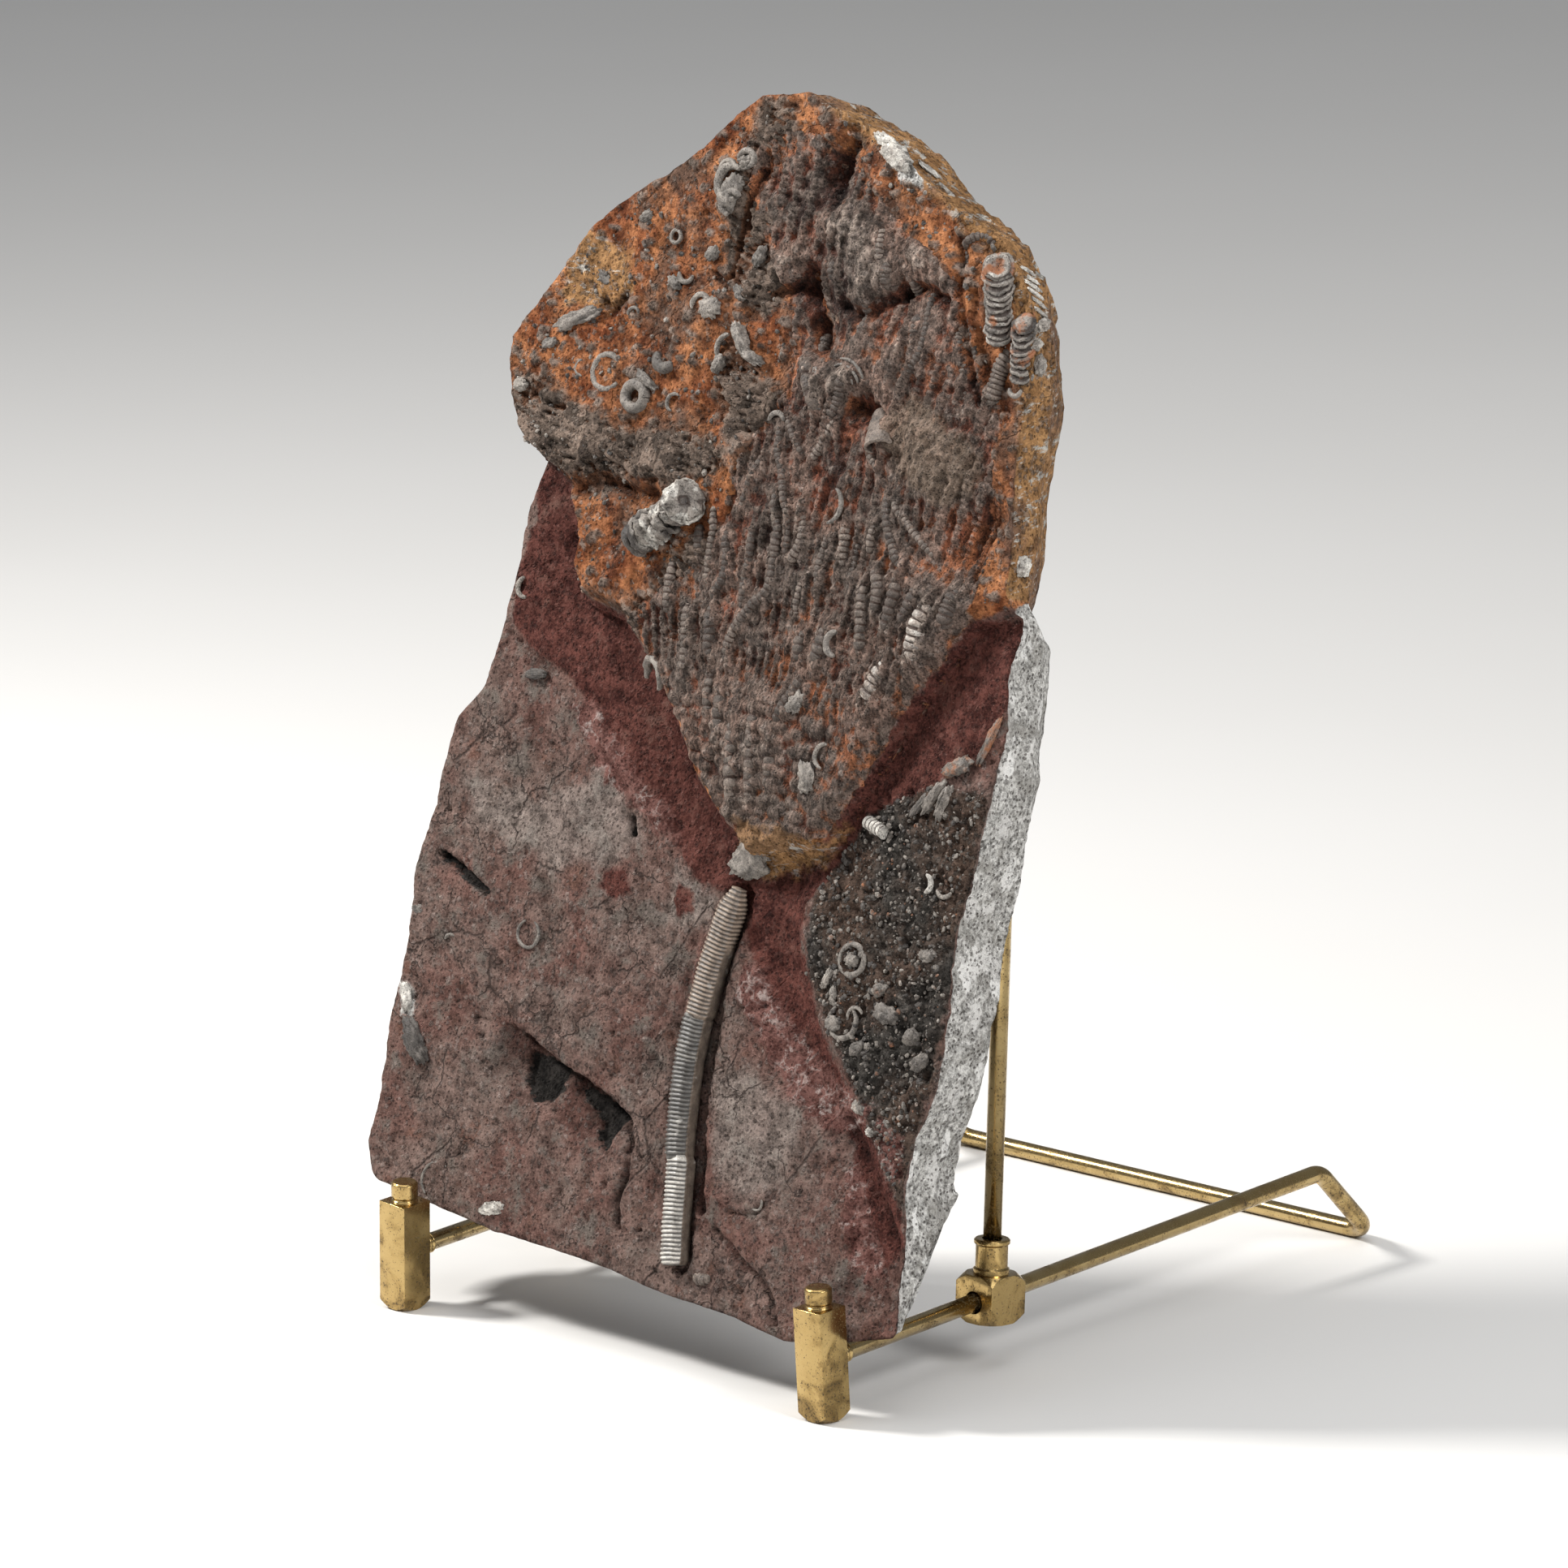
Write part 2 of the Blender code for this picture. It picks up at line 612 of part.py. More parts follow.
def make_stem(surface):
    path = resampled(STEM_AXIS, STEM_RING_PITCH / 2)
    last = len(path) - 1

    def radius_at(index):
        ring = STEM_RING_DEPTH * (index % 2)
        taper = 0.75 if index in (0, last) else 1.0
        return (STEM_RADIUS - ring) * taper

    points, faces = ringed_body(path, [STEM_RISE] * len(path), radius_at, STEM_SIDES)
    return add_object("crinoid_stem", mesh_from("crinoid_stem", points, faces), surface)


def make_loose_piece(name, place, heading, length, radius, rings, depth, surface):
    """A ringed length of stem lying on its pad, its underside flat."""
    turn = math.radians(heading)
    half = np.array((math.cos(turn), math.sin(turn))) * length / 2
    path = resampled([np.array(place) - half, np.array(place) + half], length / (2 * rings))
    level = float(face_height([place])[0]) + GAP
    rise = level + radius * 0.45

    def radius_at(index):
        return radius - depth * (index % 2)

    points, faces = ringed_body(path, [rise] * len(path), radius_at, 12)
    to_slab = SLAB_FRAME.inverted()
    flattened = []
    for point in points:
        u, v, w = to_slab @ Vector(point)
        flattened.append(tuple(SLAB_FRAME @ Vector((u, v, max(w, level)))))
    return add_object(name, mesh_from(name, flattened, faces), surface)


def rounded_path(corners, radius, steps):
    """A route through corners with each inner corner turned on an arc."""
    corners = [Vector(corner) for corner in corners]
    points = [corners[0]]
    for before, corner, after in zip(corners, corners[1:], corners[2:]):
        to_before = (before - corner).normalized()
        to_after = (after - corner).normalized()
        half = to_before.angle(to_after) / 2
        reach = radius / math.tan(half)
        centre = corner + (to_before + to_after).normalized() * radius / math.sin(half)
        start = corner + to_before * reach - centre
        end = corner + to_after * reach - centre
        whole = start.angle(end)
        for step in range(steps + 1):
            share = step / steps
            blend = start * math.sin((1 - share) * whole) + end * math.sin(share * whole)
            points.append(centre + blend / math.sin(whole))
    return points + [corners[-1]]


def rod_object(name, points, swells, surface):
    """A round rod along a route; swells gives each point's share of the rod's radius."""
    curve = bpy.data.curves.new(name, "CURVE")
    curve.dimensions = "3D"
    curve.bevel_depth = ROD_RADIUS * MM
    curve.bevel_resolution = ROD_SIDES_LEVEL
    curve.use_fill_caps = True
    spline = curve.splines.new("POLY")
    spline.points.add(len(points) - 1)
    for place, point, swell in zip(spline.points, points, swells):
        place.co = (*(Vector(point) * MM), 1.0)
        place.radius = swell
    rod = bpy.data.objects.new(name, curve)
    bpy.context.scene.collection.objects.link(rod)
    curve.materials.append(surface)
    return rod


def rod_height(y):
    return ROD_START_HEIGHT + y * math.tan(math.radians(ROD_PITCH))


def make_base_rod(surface):
    """Side rods, rear legs and cross bar in one bent rod, with a screwed collar at each post."""
    half = POST_SPACING / 2
    tip_y = POST_SIDE / 2 - POST_HOLE_DEPTH + GAP
    corners = [(half, tip_y, rod_height(tip_y)), (half, SIDE_BEND_Y, rod_height(SIDE_BEND_Y))]
    corners.append((half, CROSS_BAR_Y, ROD_RADIUS))
    route = rounded_path(corners + [(-x, y, z) for x, y, z in reversed(corners)], BEND_RADIUS, BEND_STEPS)
    face_y = POST_SIDE / 2 + 2 * GAP
    thread_ys = [face_y + THREAD_PITCH * index / 2 for index in range(2 * THREAD_TURNS + 1)]
    thread = [(half, y, rod_height(y)) for y in thread_ys]
    swells = [1.0 if index % 2 == 0 else THREAD_SWELL for index in range(len(thread_ys))]
    points = [route[0]] + thread + route[1:-1] + [(-x, y, z) for x, y, z in reversed(thread)] + [route[-1]]
    shares = [1.0] + swells + [1.0] * (len(route) - 2) + list(reversed(swells)) + [1.0]
    return rod_object("base_rod", points, shares, surface)


def lathe(name, profile, sides):
    """A turned body on Z from (radius, height) pairs, lowest first, closed at both ends."""
    sections = []
    for radius, height in profile:
        sections.append((Vector((0, 0, height)), radius, Vector((1, 0, 0)), Vector((0, 1, 0))))
    points, faces = turned(sections, sides)
    return mesh_from(name, points, faces)


def block(name, side, low, high):
    """A square bar on Z, low to high."""
    half = side / 2
    corners = [(-half, -half), (half, -half), (half, half), (-half, half)]
    points = [(x, y, low) for x, y in corners] + [(x, y, high) for x, y in corners]
    faces = [(0, 1, 2, 3), (4, 5, 6, 7)]
    faces += [(index, (index + 1) % 4, 4 + (index + 1) % 4, 4 + index) for index in range(4)]
    return mesh_from(name, points, faces)


def helper(name, mesh, matrix):
    """A shape that only cuts or joins another."""
    made = bpy.data.objects.new(name, mesh)
    bpy.context.scene.collection.objects.link(made)
    made.matrix_world = matrix
    made.hide_render = True
    made.display_type = "WIRE"
    return made


def combine(target, other, operation):
    step = target.modifiers.new(f"{operation.lower()}_{other.name}", "BOOLEAN")
    step.operation = operation
    step.object = other
    step.solver = "EXACT"


def placed(x, y, z, turn):
    return Matrix.Translation(Vector((x, y, z)) * MM) @ turn.to_4x4()


def make_post(name, x, roll, surface):
    """A square post with a turned foot, a pin on top and a hole for the rod's end."""
    turn = Matrix.Rotation(math.radians(roll), 3, "Y") @ Matrix.Rotation(math.radians(POST_PITCH), 3, "X")
    centre = (x, 0.0, ROD_START_HEIGHT)
    low = -ROD_START_HEIGHT - POST_FOOT_TRIM
    high = POST_TOP - ROD_START_HEIGHT
    corner = POST_SIDE / math.sqrt(2)
    slope = (corner - POST_FOOT_RADIUS) / POST_FOOT_RISE
    post = add_object(name, block(name, POST_SIDE, low - 1, high), surface)
    post.matrix_world = placed(*centre, turn)
    profile = [(POST_FOOT_RADIUS, low), (corner + slope * 0.2, low + POST_FOOT_RISE + 0.2)]
    profile.append((corner + slope * 0.2, high + 1))
    foot = helper(f"{name}_foot_shape", lathe(f"{name}_foot_shape", profile, 32), post.matrix_world)
    combine(post, foot, "INTERSECT")
    top = high + PIN_RISE
    pin_profile = [(PIN_RADIUS, high - 2), (PIN_RADIUS, top - PIN_CHAMFER), (PIN_RADIUS - PIN_CHAMFER, top)]
    pin = helper(f"{name}_pin_shape", lathe(f"{name}_pin_shape", pin_profile, 20), post.matrix_world)
    combine(post, pin, "UNION")
    along_rod = Matrix.Rotation(math.radians(ROD_PITCH - 90), 3, "X")
    radius = ROD_RADIUS + GAP
    hole_profile = [(radius, POST_SIDE / 2 - POST_HOLE_DEPTH), (radius, POST_SIDE)]
    hole_place = placed(*centre, along_rod)
    hole = helper(f"{name}_hole_shape", lathe(f"{name}_hole_shape", hole_profile, 16), hole_place)
    combine(post, hole, "DIFFERENCE")
    below = block(f"{name}_table_cut", 6 * POST_SIDE, -3 * POST_SIDE, 0)
    table = helper(f"{name}_table_cut", below, placed(x, 0, 0, Matrix.Identity(3)))
    combine(post, table, "DIFFERENCE")
    return post


def make_slider(name, x, surface):
    """A block with turned ends and a collar, bored for the side rod and the upright."""
    turn = Matrix.Rotation(math.radians(-BACK_REST_LEAN), 3, "X")
    place = placed(x, SLIDER_Y, rod_height(SLIDER_Y), turn)
    half = SLIDER_SIDE / 2
    corner = SLIDER_SIDE / math.sqrt(2)
    slider = add_object(name, block(name, SLIDER_SIDE, -half, half), surface)
    slider.matrix_world = place
    profile = [(SLIDER_NECK_RADIUS, -half - 0.1), (corner, -half + SLIDER_TURN_RISE)]
    profile += [(corner, half - SLIDER_TURN_RISE), (SLIDER_NECK_RADIUS, half + 0.1)]
    nut = helper(f"{name}_nut_shape", lathe(f"{name}_nut_shape", profile, 28), place)
    combine(slider, nut, "INTERSECT")
    groove = COLLAR_RADIUS - 0.5
    collar_profile = [(COLLAR_RADIUS, half - 1), (COLLAR_RADIUS, half + COLLAR_LIP)]
    collar_profile += [(groove, half + COLLAR_LIP + 0.5), (groove, COLLAR_TOP - COLLAR_LIP - 0.5)]
    collar_profile += [(COLLAR_RADIUS, COLLAR_TOP - COLLAR_LIP), (COLLAR_RADIUS, COLLAR_TOP - 0.4)]
    collar_profile.append((COLLAR_RADIUS - 0.4, COLLAR_TOP))
    collar = helper(f"{name}_collar_shape", lathe(f"{name}_collar_shape", collar_profile, 20), place)
    combine(slider, collar, "UNION")
    along_rod = Matrix.Rotation(math.radians(ROD_PITCH - 90), 3, "X")
    radius = ROD_RADIUS + BORE_CLEARANCE
    bore_place = placed(x, SLIDER_Y, rod_height(SLIDER_Y), along_rod)
    through = lathe(f"{name}_bore_shape", [(radius, -SLIDER_SIDE), (radius, SLIDER_SIDE)], 16)
    bore = helper(f"{name}_bore_shape", through, bore_place)
    combine(slider, bore, "DIFFERENCE")
    socket_profile = [(ROD_RADIUS + GAP, COLLAR_TOP - SOCKET_DEPTH), (ROD_RADIUS + GAP, COLLAR_TOP + 2)]
    socket = helper(f"{name}_socket_shape", lathe(f"{name}_socket_shape", socket_profile, 16), place)
    combine(slider, socket, "DIFFERENCE")
    return slider


def upright_point(x, height):
    """A point on an upright's axis, at a height above the table."""
    foot = rod_height(SLIDER_Y)
    return (x, SLIDER_Y + (height - foot) * math.tan(math.radians(BACK_REST_LEAN)), height)


def make_back_rest(surface):
    half = POST_SPACING / 2
    lean = math.radians(BACK_REST_LEAN)
    start = rod_height(SLIDER_Y) + (COLLAR_TOP - SOCKET_DEPTH + GAP) * math.cos(lean)
    corners = [upright_point(half, start), upright_point(half, REST_BAR_HEIGHT)]
    route = rounded_path(corners + [(-x, y, z) for x, y, z in reversed(corners)], BEND_RADIUS, BEND_STEPS)
    return rod_object("back_rest_bar", route, [1.0] * len(route), surface)


def clear_scene():
    for old in list(bpy.data.objects):
        bpy.data.objects.remove(old, do_unlink=True)


def centre_on_footprint(objects):
    """Puts the origin on the table, under the middle of the whole object's box."""
    bpy.context.view_layer.update()
    graph = bpy.context.evaluated_depsgraph_get()
    low, high = np.full(3, np.inf), np.full(3, -np.inf)
    for item in objects:
        shape = item.evaluated_get(graph)
        mesh = shape.to_mesh()
        points = np.array([tuple(item.matrix_world @ vertex.co) for vertex in mesh.vertices])
        shape.to_mesh_clear()
        low, high = np.minimum(low, points.min(axis=0)), np.maximum(high, points.max(axis=0))
    middle = (low + high) / 2
    shift = Matrix.Translation((-middle[0], -middle[1], -low[2]))
    for item in bpy.data.objects:
        item.matrix_world = shift @ item.matrix_world


def main():
    clear_scene()
    rock = material("limestone", (0.36, 0.22, 0.19), 0.85)
    arms = material("crown_calcite", (0.30, 0.25, 0.22), 0.75)
    calcite = material("stem_calcite", (0.27, 0.24, 0.21), 0.55)
    brass = material("aged_brass", (0.62, 0.47, 0.22), 0.28, 1.0)
    half = POST_SPACING / 2
    made = [
        make_slab(rock),
        make_crown(arms),
        make_stem(calcite),
        make_loose_piece(
            "loose_stem_barrel", BARREL_PLACE, BARREL_HEADING, BARREL_LENGTH, BARREL_RADIUS, 3, 0.5, calcite
        ),
        make_loose_piece(
            "loose_stem_stack", STACK_PLACE, STACK_HEADING, STACK_LENGTH, STACK_RADIUS, 8, 0.45, calcite
        ),
        make_base_rod(brass),
        make_post("left_post", -half, LEFT_POST_ROLL, brass),
        make_post("right_post", half, 0.0, brass),
        make_slider("left_slider", -half, brass),
        make_slider("right_slider", half, brass),
        make_back_rest(brass),
    ]
    centre_on_footprint(made)


main()
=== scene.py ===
"""The visible pieces of a crinoid fossil and its adjustable brass easel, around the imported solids.

Lengths are in millimetres and angles in degrees until a mesh is made; MM turns them into metres.
Stand axes: X from the left post to the right one, Y from the posts to the rear bar, Z up.
Slab axes: u to the right, v up the leaning face, w out of the face, from the foot of the face.
"""

import json
import math

import bmesh
import bpy
import numpy as np
from mathutils import Matrix, Vector
from mathutils.bvhtree import BVHTree
from mathutils.geometry import delaunay_2d_cdt

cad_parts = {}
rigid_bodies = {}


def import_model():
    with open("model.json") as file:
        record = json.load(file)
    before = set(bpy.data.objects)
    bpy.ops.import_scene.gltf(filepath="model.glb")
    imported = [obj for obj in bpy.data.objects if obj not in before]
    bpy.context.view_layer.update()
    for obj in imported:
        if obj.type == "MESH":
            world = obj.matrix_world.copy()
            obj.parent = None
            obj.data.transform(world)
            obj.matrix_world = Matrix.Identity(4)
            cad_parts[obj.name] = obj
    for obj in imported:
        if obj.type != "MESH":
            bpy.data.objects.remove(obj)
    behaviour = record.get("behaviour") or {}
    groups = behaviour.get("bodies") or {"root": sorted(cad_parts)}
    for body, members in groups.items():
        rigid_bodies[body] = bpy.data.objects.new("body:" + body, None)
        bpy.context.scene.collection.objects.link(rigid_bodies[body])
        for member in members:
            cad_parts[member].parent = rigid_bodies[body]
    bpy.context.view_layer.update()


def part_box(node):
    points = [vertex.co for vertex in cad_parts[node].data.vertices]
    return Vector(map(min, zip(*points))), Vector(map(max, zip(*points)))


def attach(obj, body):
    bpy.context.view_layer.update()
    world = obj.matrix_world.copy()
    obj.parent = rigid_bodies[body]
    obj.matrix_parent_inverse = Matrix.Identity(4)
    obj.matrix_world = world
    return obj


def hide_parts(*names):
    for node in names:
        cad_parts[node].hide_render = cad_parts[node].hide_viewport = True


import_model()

MM = 0.001

# Camera, in stand axes; the frame is FRAME_PIXELS square
FRAME_PIXELS = 1932
FOCAL_PIXELS = 11948.0
SENSOR_WIDTH = 36.0
CAMERA_AZIMUTH = 44.508
CAMERA_ELEVATION = 13.501
CAMERA_ROLL = -1.231
CAMERA_PLACE = (1736.663, -1697.457, 737.303)

# Studio: each light is (name, azimuth, elevation, distance, size, power, colour)
WORLD_STRENGTH = 0.26
LIGHTS = [
    ("key", -58.0, 42.0, 1.3, 0.24, 23.0, (1.0, 0.98, 0.95)),
    ("side", 84.0, 30.0, 1.4, 0.5, 12.0, (1.0, 1.0, 1.0)),
    ("overhead", 20.0, 82.0, 2.4, 2.2, 26.0, (1.0, 1.0, 1.0)),
]
FLOOR_REACH = 9.0

# Spacings of the meshes' points and the sides of round forms
FINE_SPACING = 0.745
PLAIN_SPACING = 0.93
HIDDEN_SPACING = 3.2
BACK_SPACING = 3.0
CROWN_SPACING = 0.47
FOSSIL_SIDES = 40
BEND_STEPS = 14
THREAD_STEPS = 12

# Brass stand, as in the solids
POST_SIDE = 9.5
POST_TOP = 30.2
POST_SPACING = 154.3
POST_FOOT_RADIUS = 3.6
POST_FOOT_RISE = 2.8
POST_FOOT_TRIM = 0.6
POST_PITCH = 2.3
LEFT_POST_ROLL = 4.5
PIN_RADIUS = 3.55
PIN_RISE = 5.4
ROD_RADIUS = 2.38
ROD_START_HEIGHT = 15.9
ROD_PITCH = 2.3
SIDE_BEND_Y = 193.0
CROSS_BAR_Y = 213.5
BEND_RADIUS = 7.0
THREAD_PITCH = 1.3
THREAD_TURNS = 3
THREAD_SWELL = 1.2
SLIDER_SIDE = 12.8
SLIDER_Y = 63.2
SLIDER_NECK_RADIUS = 6.6
SLIDER_TURN_RISE = 2.2
BACK_REST_LEAN = 4.0
BORE_CLEARANCE = 0.6
COLLAR_RADIUS = 4.75
COLLAR_TOP = 15.6
COLLAR_LIP = 1.2
SOCKET_DEPTH = 7.0
REST_BAR_HEIGHT = 186.0
ROD_SIDES = 40
BEVEL = 0.28
BEVEL_ANGLE = 28.0
SMOOTH_ANGLE = 32.0
ROD_GAP = 0.3
POST_HOLE_DEPTH = 6.0

# Slab, as in the solids
SLAB_LEAN = 15.0
SLAB_FOOT_Y = 5.3
SLAB_FOOT_Z = 18.1
SLAB_THICKNESS = 21.0
SIDE_DEPTH = 14.0
BACK_INSET = 3.5
SLAB_MIDDLE = (0.0, 150.0)
RIGHT_SIDE_DEPTHS = [
    (0, 2), (8, 2.5), (23, 8), (31, 14), (45, 19), (55, 19), (69, 16.5), (81, 17), (95, 20), (109, 20),
    (125, 20), (140, 17.5), (150, 14.5), (160, 11.5), (176, 13.5), (187, 11.5), (196, 6), (212, 8.5),
    (234, 7.5), (255, 7), (268, 4.5), (280, 5), (286, 5), (295, 8), (309, 13),
]
HEEL_SLOPES = [(-98, -0.1), (-77, -0.13), (-40, 0.0), (0, 0.2), (40, 0.4), (70, 0.7), (84, 1.5), (92, 1.9)]
HEEL_SPREAD = 0.15
FOOT_CORNERS = 9
FACE_OUTLINE = [
    (-98, 13), (-76, 10), (-51, 7), (-23, 6), (-8, 5), (15, 2), (38, 1), (60, -2), (81, 2), (97, 6),
    (94, 30), (91, 44), (92, 55), (96, 69), (97, 80), (96, 95), (95, 109), (97, 125), (100, 150),
    (101, 163), (98, 177), (99, 188), (96, 197), (94, 216), (92, 228), (92, 241), (92, 254),
    (90, 266), (86, 277), (75, 286), (60, 292), (47, 299), (37, 305), (27, 309), (16, 312), (4, 316),
    (-13, 314), (-21, 308), (-29, 300), (-43, 290), (-60, 280), (-69, 272), (-77, 260), (-89, 242),
    (-91, 236), (-86, 224), (-79, 213), (-80, 198), (-80, 181), (-83, 160), (-86, 147), (-94, 139),
    (-96, 124), (-97, 113), (-100, 100), (-99, 76), (-101, 54), (-100, 36), (-102, 22),
]
LEDGE = [
    (-84, 213), (-67, 204), (-61, 194), (-59, 183), (-53, 175), (-38, 172), (-24, 160), (-12, 147),
    (-3, 135), (8, 126), (23, 116), (47, 123), (57, 142), (65, 158), (80, 180), (85, 187), (104, 195),
]
# The part of the outline above the notch, where pebbles and plates bend round to the side
RIGHT_EDGE = FACE_OUTLINE[22:33]
RAISED_BED = [(-125, 213)] + LEDGE + [(130, 197), (130, 345), (-125, 345)]
# How far the right side falls back from the face for each millimetre seen past its edge
SIDE_SLANT = 0.93
BED_RISE = 6.0
BED_RIM_RISE = 3.0
LEDGE_WIDTH = 6.0
HOLLOW_DEPTH = 2.8
HOLLOW_REACH = 17.0
HOLLOW_FADE = (104.0, 118.0)
RIM_FADE_U = (62.0, 87.0)
RIM_FADE_V = (185.0, 200.0)
DARK_BED = [(52, 142), (44, 118), (46, 92), (66, 68), (92, 36), (96, 80), (99, 146), (80, 146)]
LUMPS = [
    (-62, 262, 12, -2.2), (-66, 249, 6, 1.0), (-72, 229, 9, 1.2), (-56, 221, 9, 1.7), (-33, 217, 8, 1.3),
    (-49, 206, 8, -2.6), (-40, 196, 5, -3.0), (-60, 190, 5, -2.0), (-36, 186, 8, 0.8), (-44, 233, 10, 0.7),
    (-16, 290, 7, 2.0), (-8, 296, 4, -2.2), (-20, 257, 6, 0.9), (-4, 246, 7, 1.1), (16, 297, 6, -4.5),
    (22, 306, 5, -2.5), (31, 291, 8, 1.4), (44, 300, 6, 1.5), (12, 267, 4, -3.5), (20, 257, 6, -3.0),
    (29, 273, 9, 1.6), (46, 267, 7, -2.0), (57, 268, 6, -1.4), (40, 238, 6, -3.2), (24, 244, 6, 1.5),
    (48, 232, 4.5, 3.2), (68, 226, 13, 1.6), (87, 212, 8, -1.6), (73, 285, 8, -1.5), (22, 150, 13, 1.2),
    (46, 150, 7, -0.8), (24, 120, 5, 0.8), (-24, 64, 16, 1.4), (-42, 48, 6, -1.0), (-18, 42, 6, -1.2),
    (-6, 28, 9, 1.2), (-90, 52, 6, 0.8), (-62, 72, 9, -0.7), (32, 80, 9, 0.7), (30, 55, 9, 0.6),
    (62, 97, 5, 1.0), (60, 82, 5, 0.8), (78, 86, 6, 1.0), (48, 98, 5, 0.8), (80, 66, 7, -0.8),
    (82, 143, 6, 1.0), (74, 118, 9, -0.6), (-76, 170, 7, 0.9), (-62, 160, 8, 0.7),
]
CROWN_OUTLINE = [
    (24, 118), (48, 126), (57, 143), (66, 160), (80, 182), (88, 194), (88, 215), (86, 240), (80, 250),
    (70, 258), (67, 271), (58, 280), (44, 286), (28, 299), (12, 307), (-8, 307), (-15, 298),
    (-12, 284), (0, 269), (9, 255), (11, 241), (1, 227), (-4, 215), (-4, 203), (-13, 190), (-26, 180),
    (-34, 174), (-21, 161), (-9, 148), (0, 136), (10, 127),
]
CROWN_FLOOR = -2.6
STEM_AXIS = [(16.5, 13), (14.5, 25), (13.0, 38), (11.5, 50), (10.8, 66), (12.5, 81), (14.5, 93), (17.5, 106)]
STEM_RADIUS = 4.1
STEM_RISE = 0.6
STEM_BREAKS = (37.6, 75.0)
STEM_RING_PITCH = 1.16
CHANNEL_LEFT_GAP = 0.5
CHANNEL_RIGHT_GAP = 1.8
CHANNEL_FLOOR = STEM_RISE - STEM_RADIUS - 0.6
RED_VALLEY = [(32, 112), (34, 98), (41, 84), (52, 71), (66, 58), (77, 45), (86, 28)]
VALLEY_DEPTH = 3.0
VALLEY_REACH = 7.0
BARREL_PLACE = (-21.5, 201.5)
BARREL_HEADING = 27.0
BARREL_RADIUS = 5.3
STACK_PLACE = (78.5, 268.5)
STACK_HEADING = 98.0
STACK_RADIUS = 4.2

# Colour zones of the rock, each a closed outline in (u, v)
MAROON_ZONES = [
    [(-81, 207), (-77, 194), (-80, 181), (-79, 166), (-70, 160), (-56, 156), (-47, 150), (-44, 143),
     (-38, 138), (-28, 131), (-19, 126), (-8, 118), (3, 109), (16, 108), (19, 104), (24, 96), (31, 87),
     (37, 79), (45, 71), (53, 64), (62, 57), (69, 52), (72, 44), (78, 36), (84, 28), (88, 22), (94, 29),
     (91, 38), (86, 43), (80, 49), (75, 56), (69, 62), (63, 67), (57, 74), (52, 80), (48, 88), (45, 95),
     (41, 101), (42, 110), (48, 120), (53, 128), (56, 134), (61, 137), (78, 145), (94, 157), (99, 168),
     (104, 192), (84, 189), (64, 160), (56, 144), (46, 125), (23, 118), (9, 128), (-3, 137), (-12, 149),
     (-24, 162), (-38, 174), (-53, 177), (-59, 185), (-61, 196), (-66, 206), (-74, 210)],
    [(-31, 107), (-24, 108), (-20, 103), (-26, 100), (-32, 102)],
    [(-4, 108), (2, 107), (3, 101), (-2, 99), (-5, 103)],
]
SLATE_ZONES = [
    [(-90, 234), (-82, 212), (-66, 206), (-50, 208), (-30, 208), (-8, 214), (-4, 222), (-20, 226), (-40, 223),
     (-58, 226), (-76, 233)],
    [(-17, 302), (-20, 284), (-16, 264), (-4, 256), (6, 260), (2, 285), (0, 314), (-12, 314)],
    [(-38, 174), (-24, 160), (0, 148), (0, 204), (-12, 198), (-24, 186)],
    [(-12, 252), (2, 244), (12, 236), (8, 226), (-4, 222), (-14, 234)],
]
CRUST_ZONES = [
    [(-52, 148), (-44, 150), (-34, 141), (-24, 133), (-12, 126), (-6, 119), (-14, 119), (-26, 126), (-40, 133)],
    [(24, 91), (30, 91), (34, 84), (42, 79), (50, 72), (60, 67), (68, 63), (76, 62), (72, 57), (64, 53),
     (55, 56), (46, 61), (38, 68), (30, 76), (24, 82)],
    [(70, 46), (76, 43), (80, 35), (86, 27), (88, 21), (83, 18), (76, 22), (73, 31)],
    [(78, 60), (88, 56), (90, 44), (84, 45), (78, 52)],
]
# Near-black sunken patches below the ledge and along cracks: dark rock with painted shade
SCAR_AND_SHADE_ZONES = [
    [(-49, 56), (-43, 55), (-35, 53), (-34, 48), (-37, 44), (-44, 43), (-48, 47)],
    [(-31, 51), (-24, 49), (-16, 47), (-11, 44), (-13, 39), (-15, 34), (-19, 37), (-20, 42), (-27, 47)],
    [(-92, 103), (-82, 99), (-72, 95), (-73, 93), (-83, 97), (-92, 101)],
    [(-25, 122), (-23, 122), (-22, 117), (-24, 117)],
]
OCHRE_ZONES = [
    [(0, 320), (30, 314), (48, 304), (62, 296), (74, 291), (86, 279), (96, 262), (104, 250), (104, 205),
     (98, 200), (94, 222), (90, 240), (88, 258), (80, 276), (70, 284), (54, 292), (40, 300), (26, 306),
     (14, 310)],
    [(-76, 262), (-70, 272), (-52, 268), (-50, 258), (-58, 252), (-72, 252)],
    [(20, 128), (47, 126), (52, 131), (44, 120), (24, 114), (14, 120)],
]
GREY_ZONES = [
    [(-88, 124), (-60, 122), (-38, 130), (-26, 126), (-20, 118), (-30, 108), (-50, 104), (-62, 110), (-84, 112)],
    [(20, 60), (28, 62), (44, 62), (52, 56), (50, 44), (46, 34), (36, 30), (26, 34), (22, 46)],
    [(-6, 112), (8, 108), (10, 98), (2, 96), (-5, 100)],
]
WHITE_ZONES = [
    [(14, 317), (28, 312), (45, 309), (44, 305), (30, 309), (15, 313)],
    [(36, 307), (48, 303), (48, 296), (40, 297), (37, 301)],
    [(98, 228), (104, 228), (104, 198), (98, 198), (99, 210)],
    [(92, 284), (104, 268), (104, 250), (96, 252), (94, 266), (88, 278)],
    [(-100, 66), (-95, 66), (-92, 58), (-97, 57)],
]

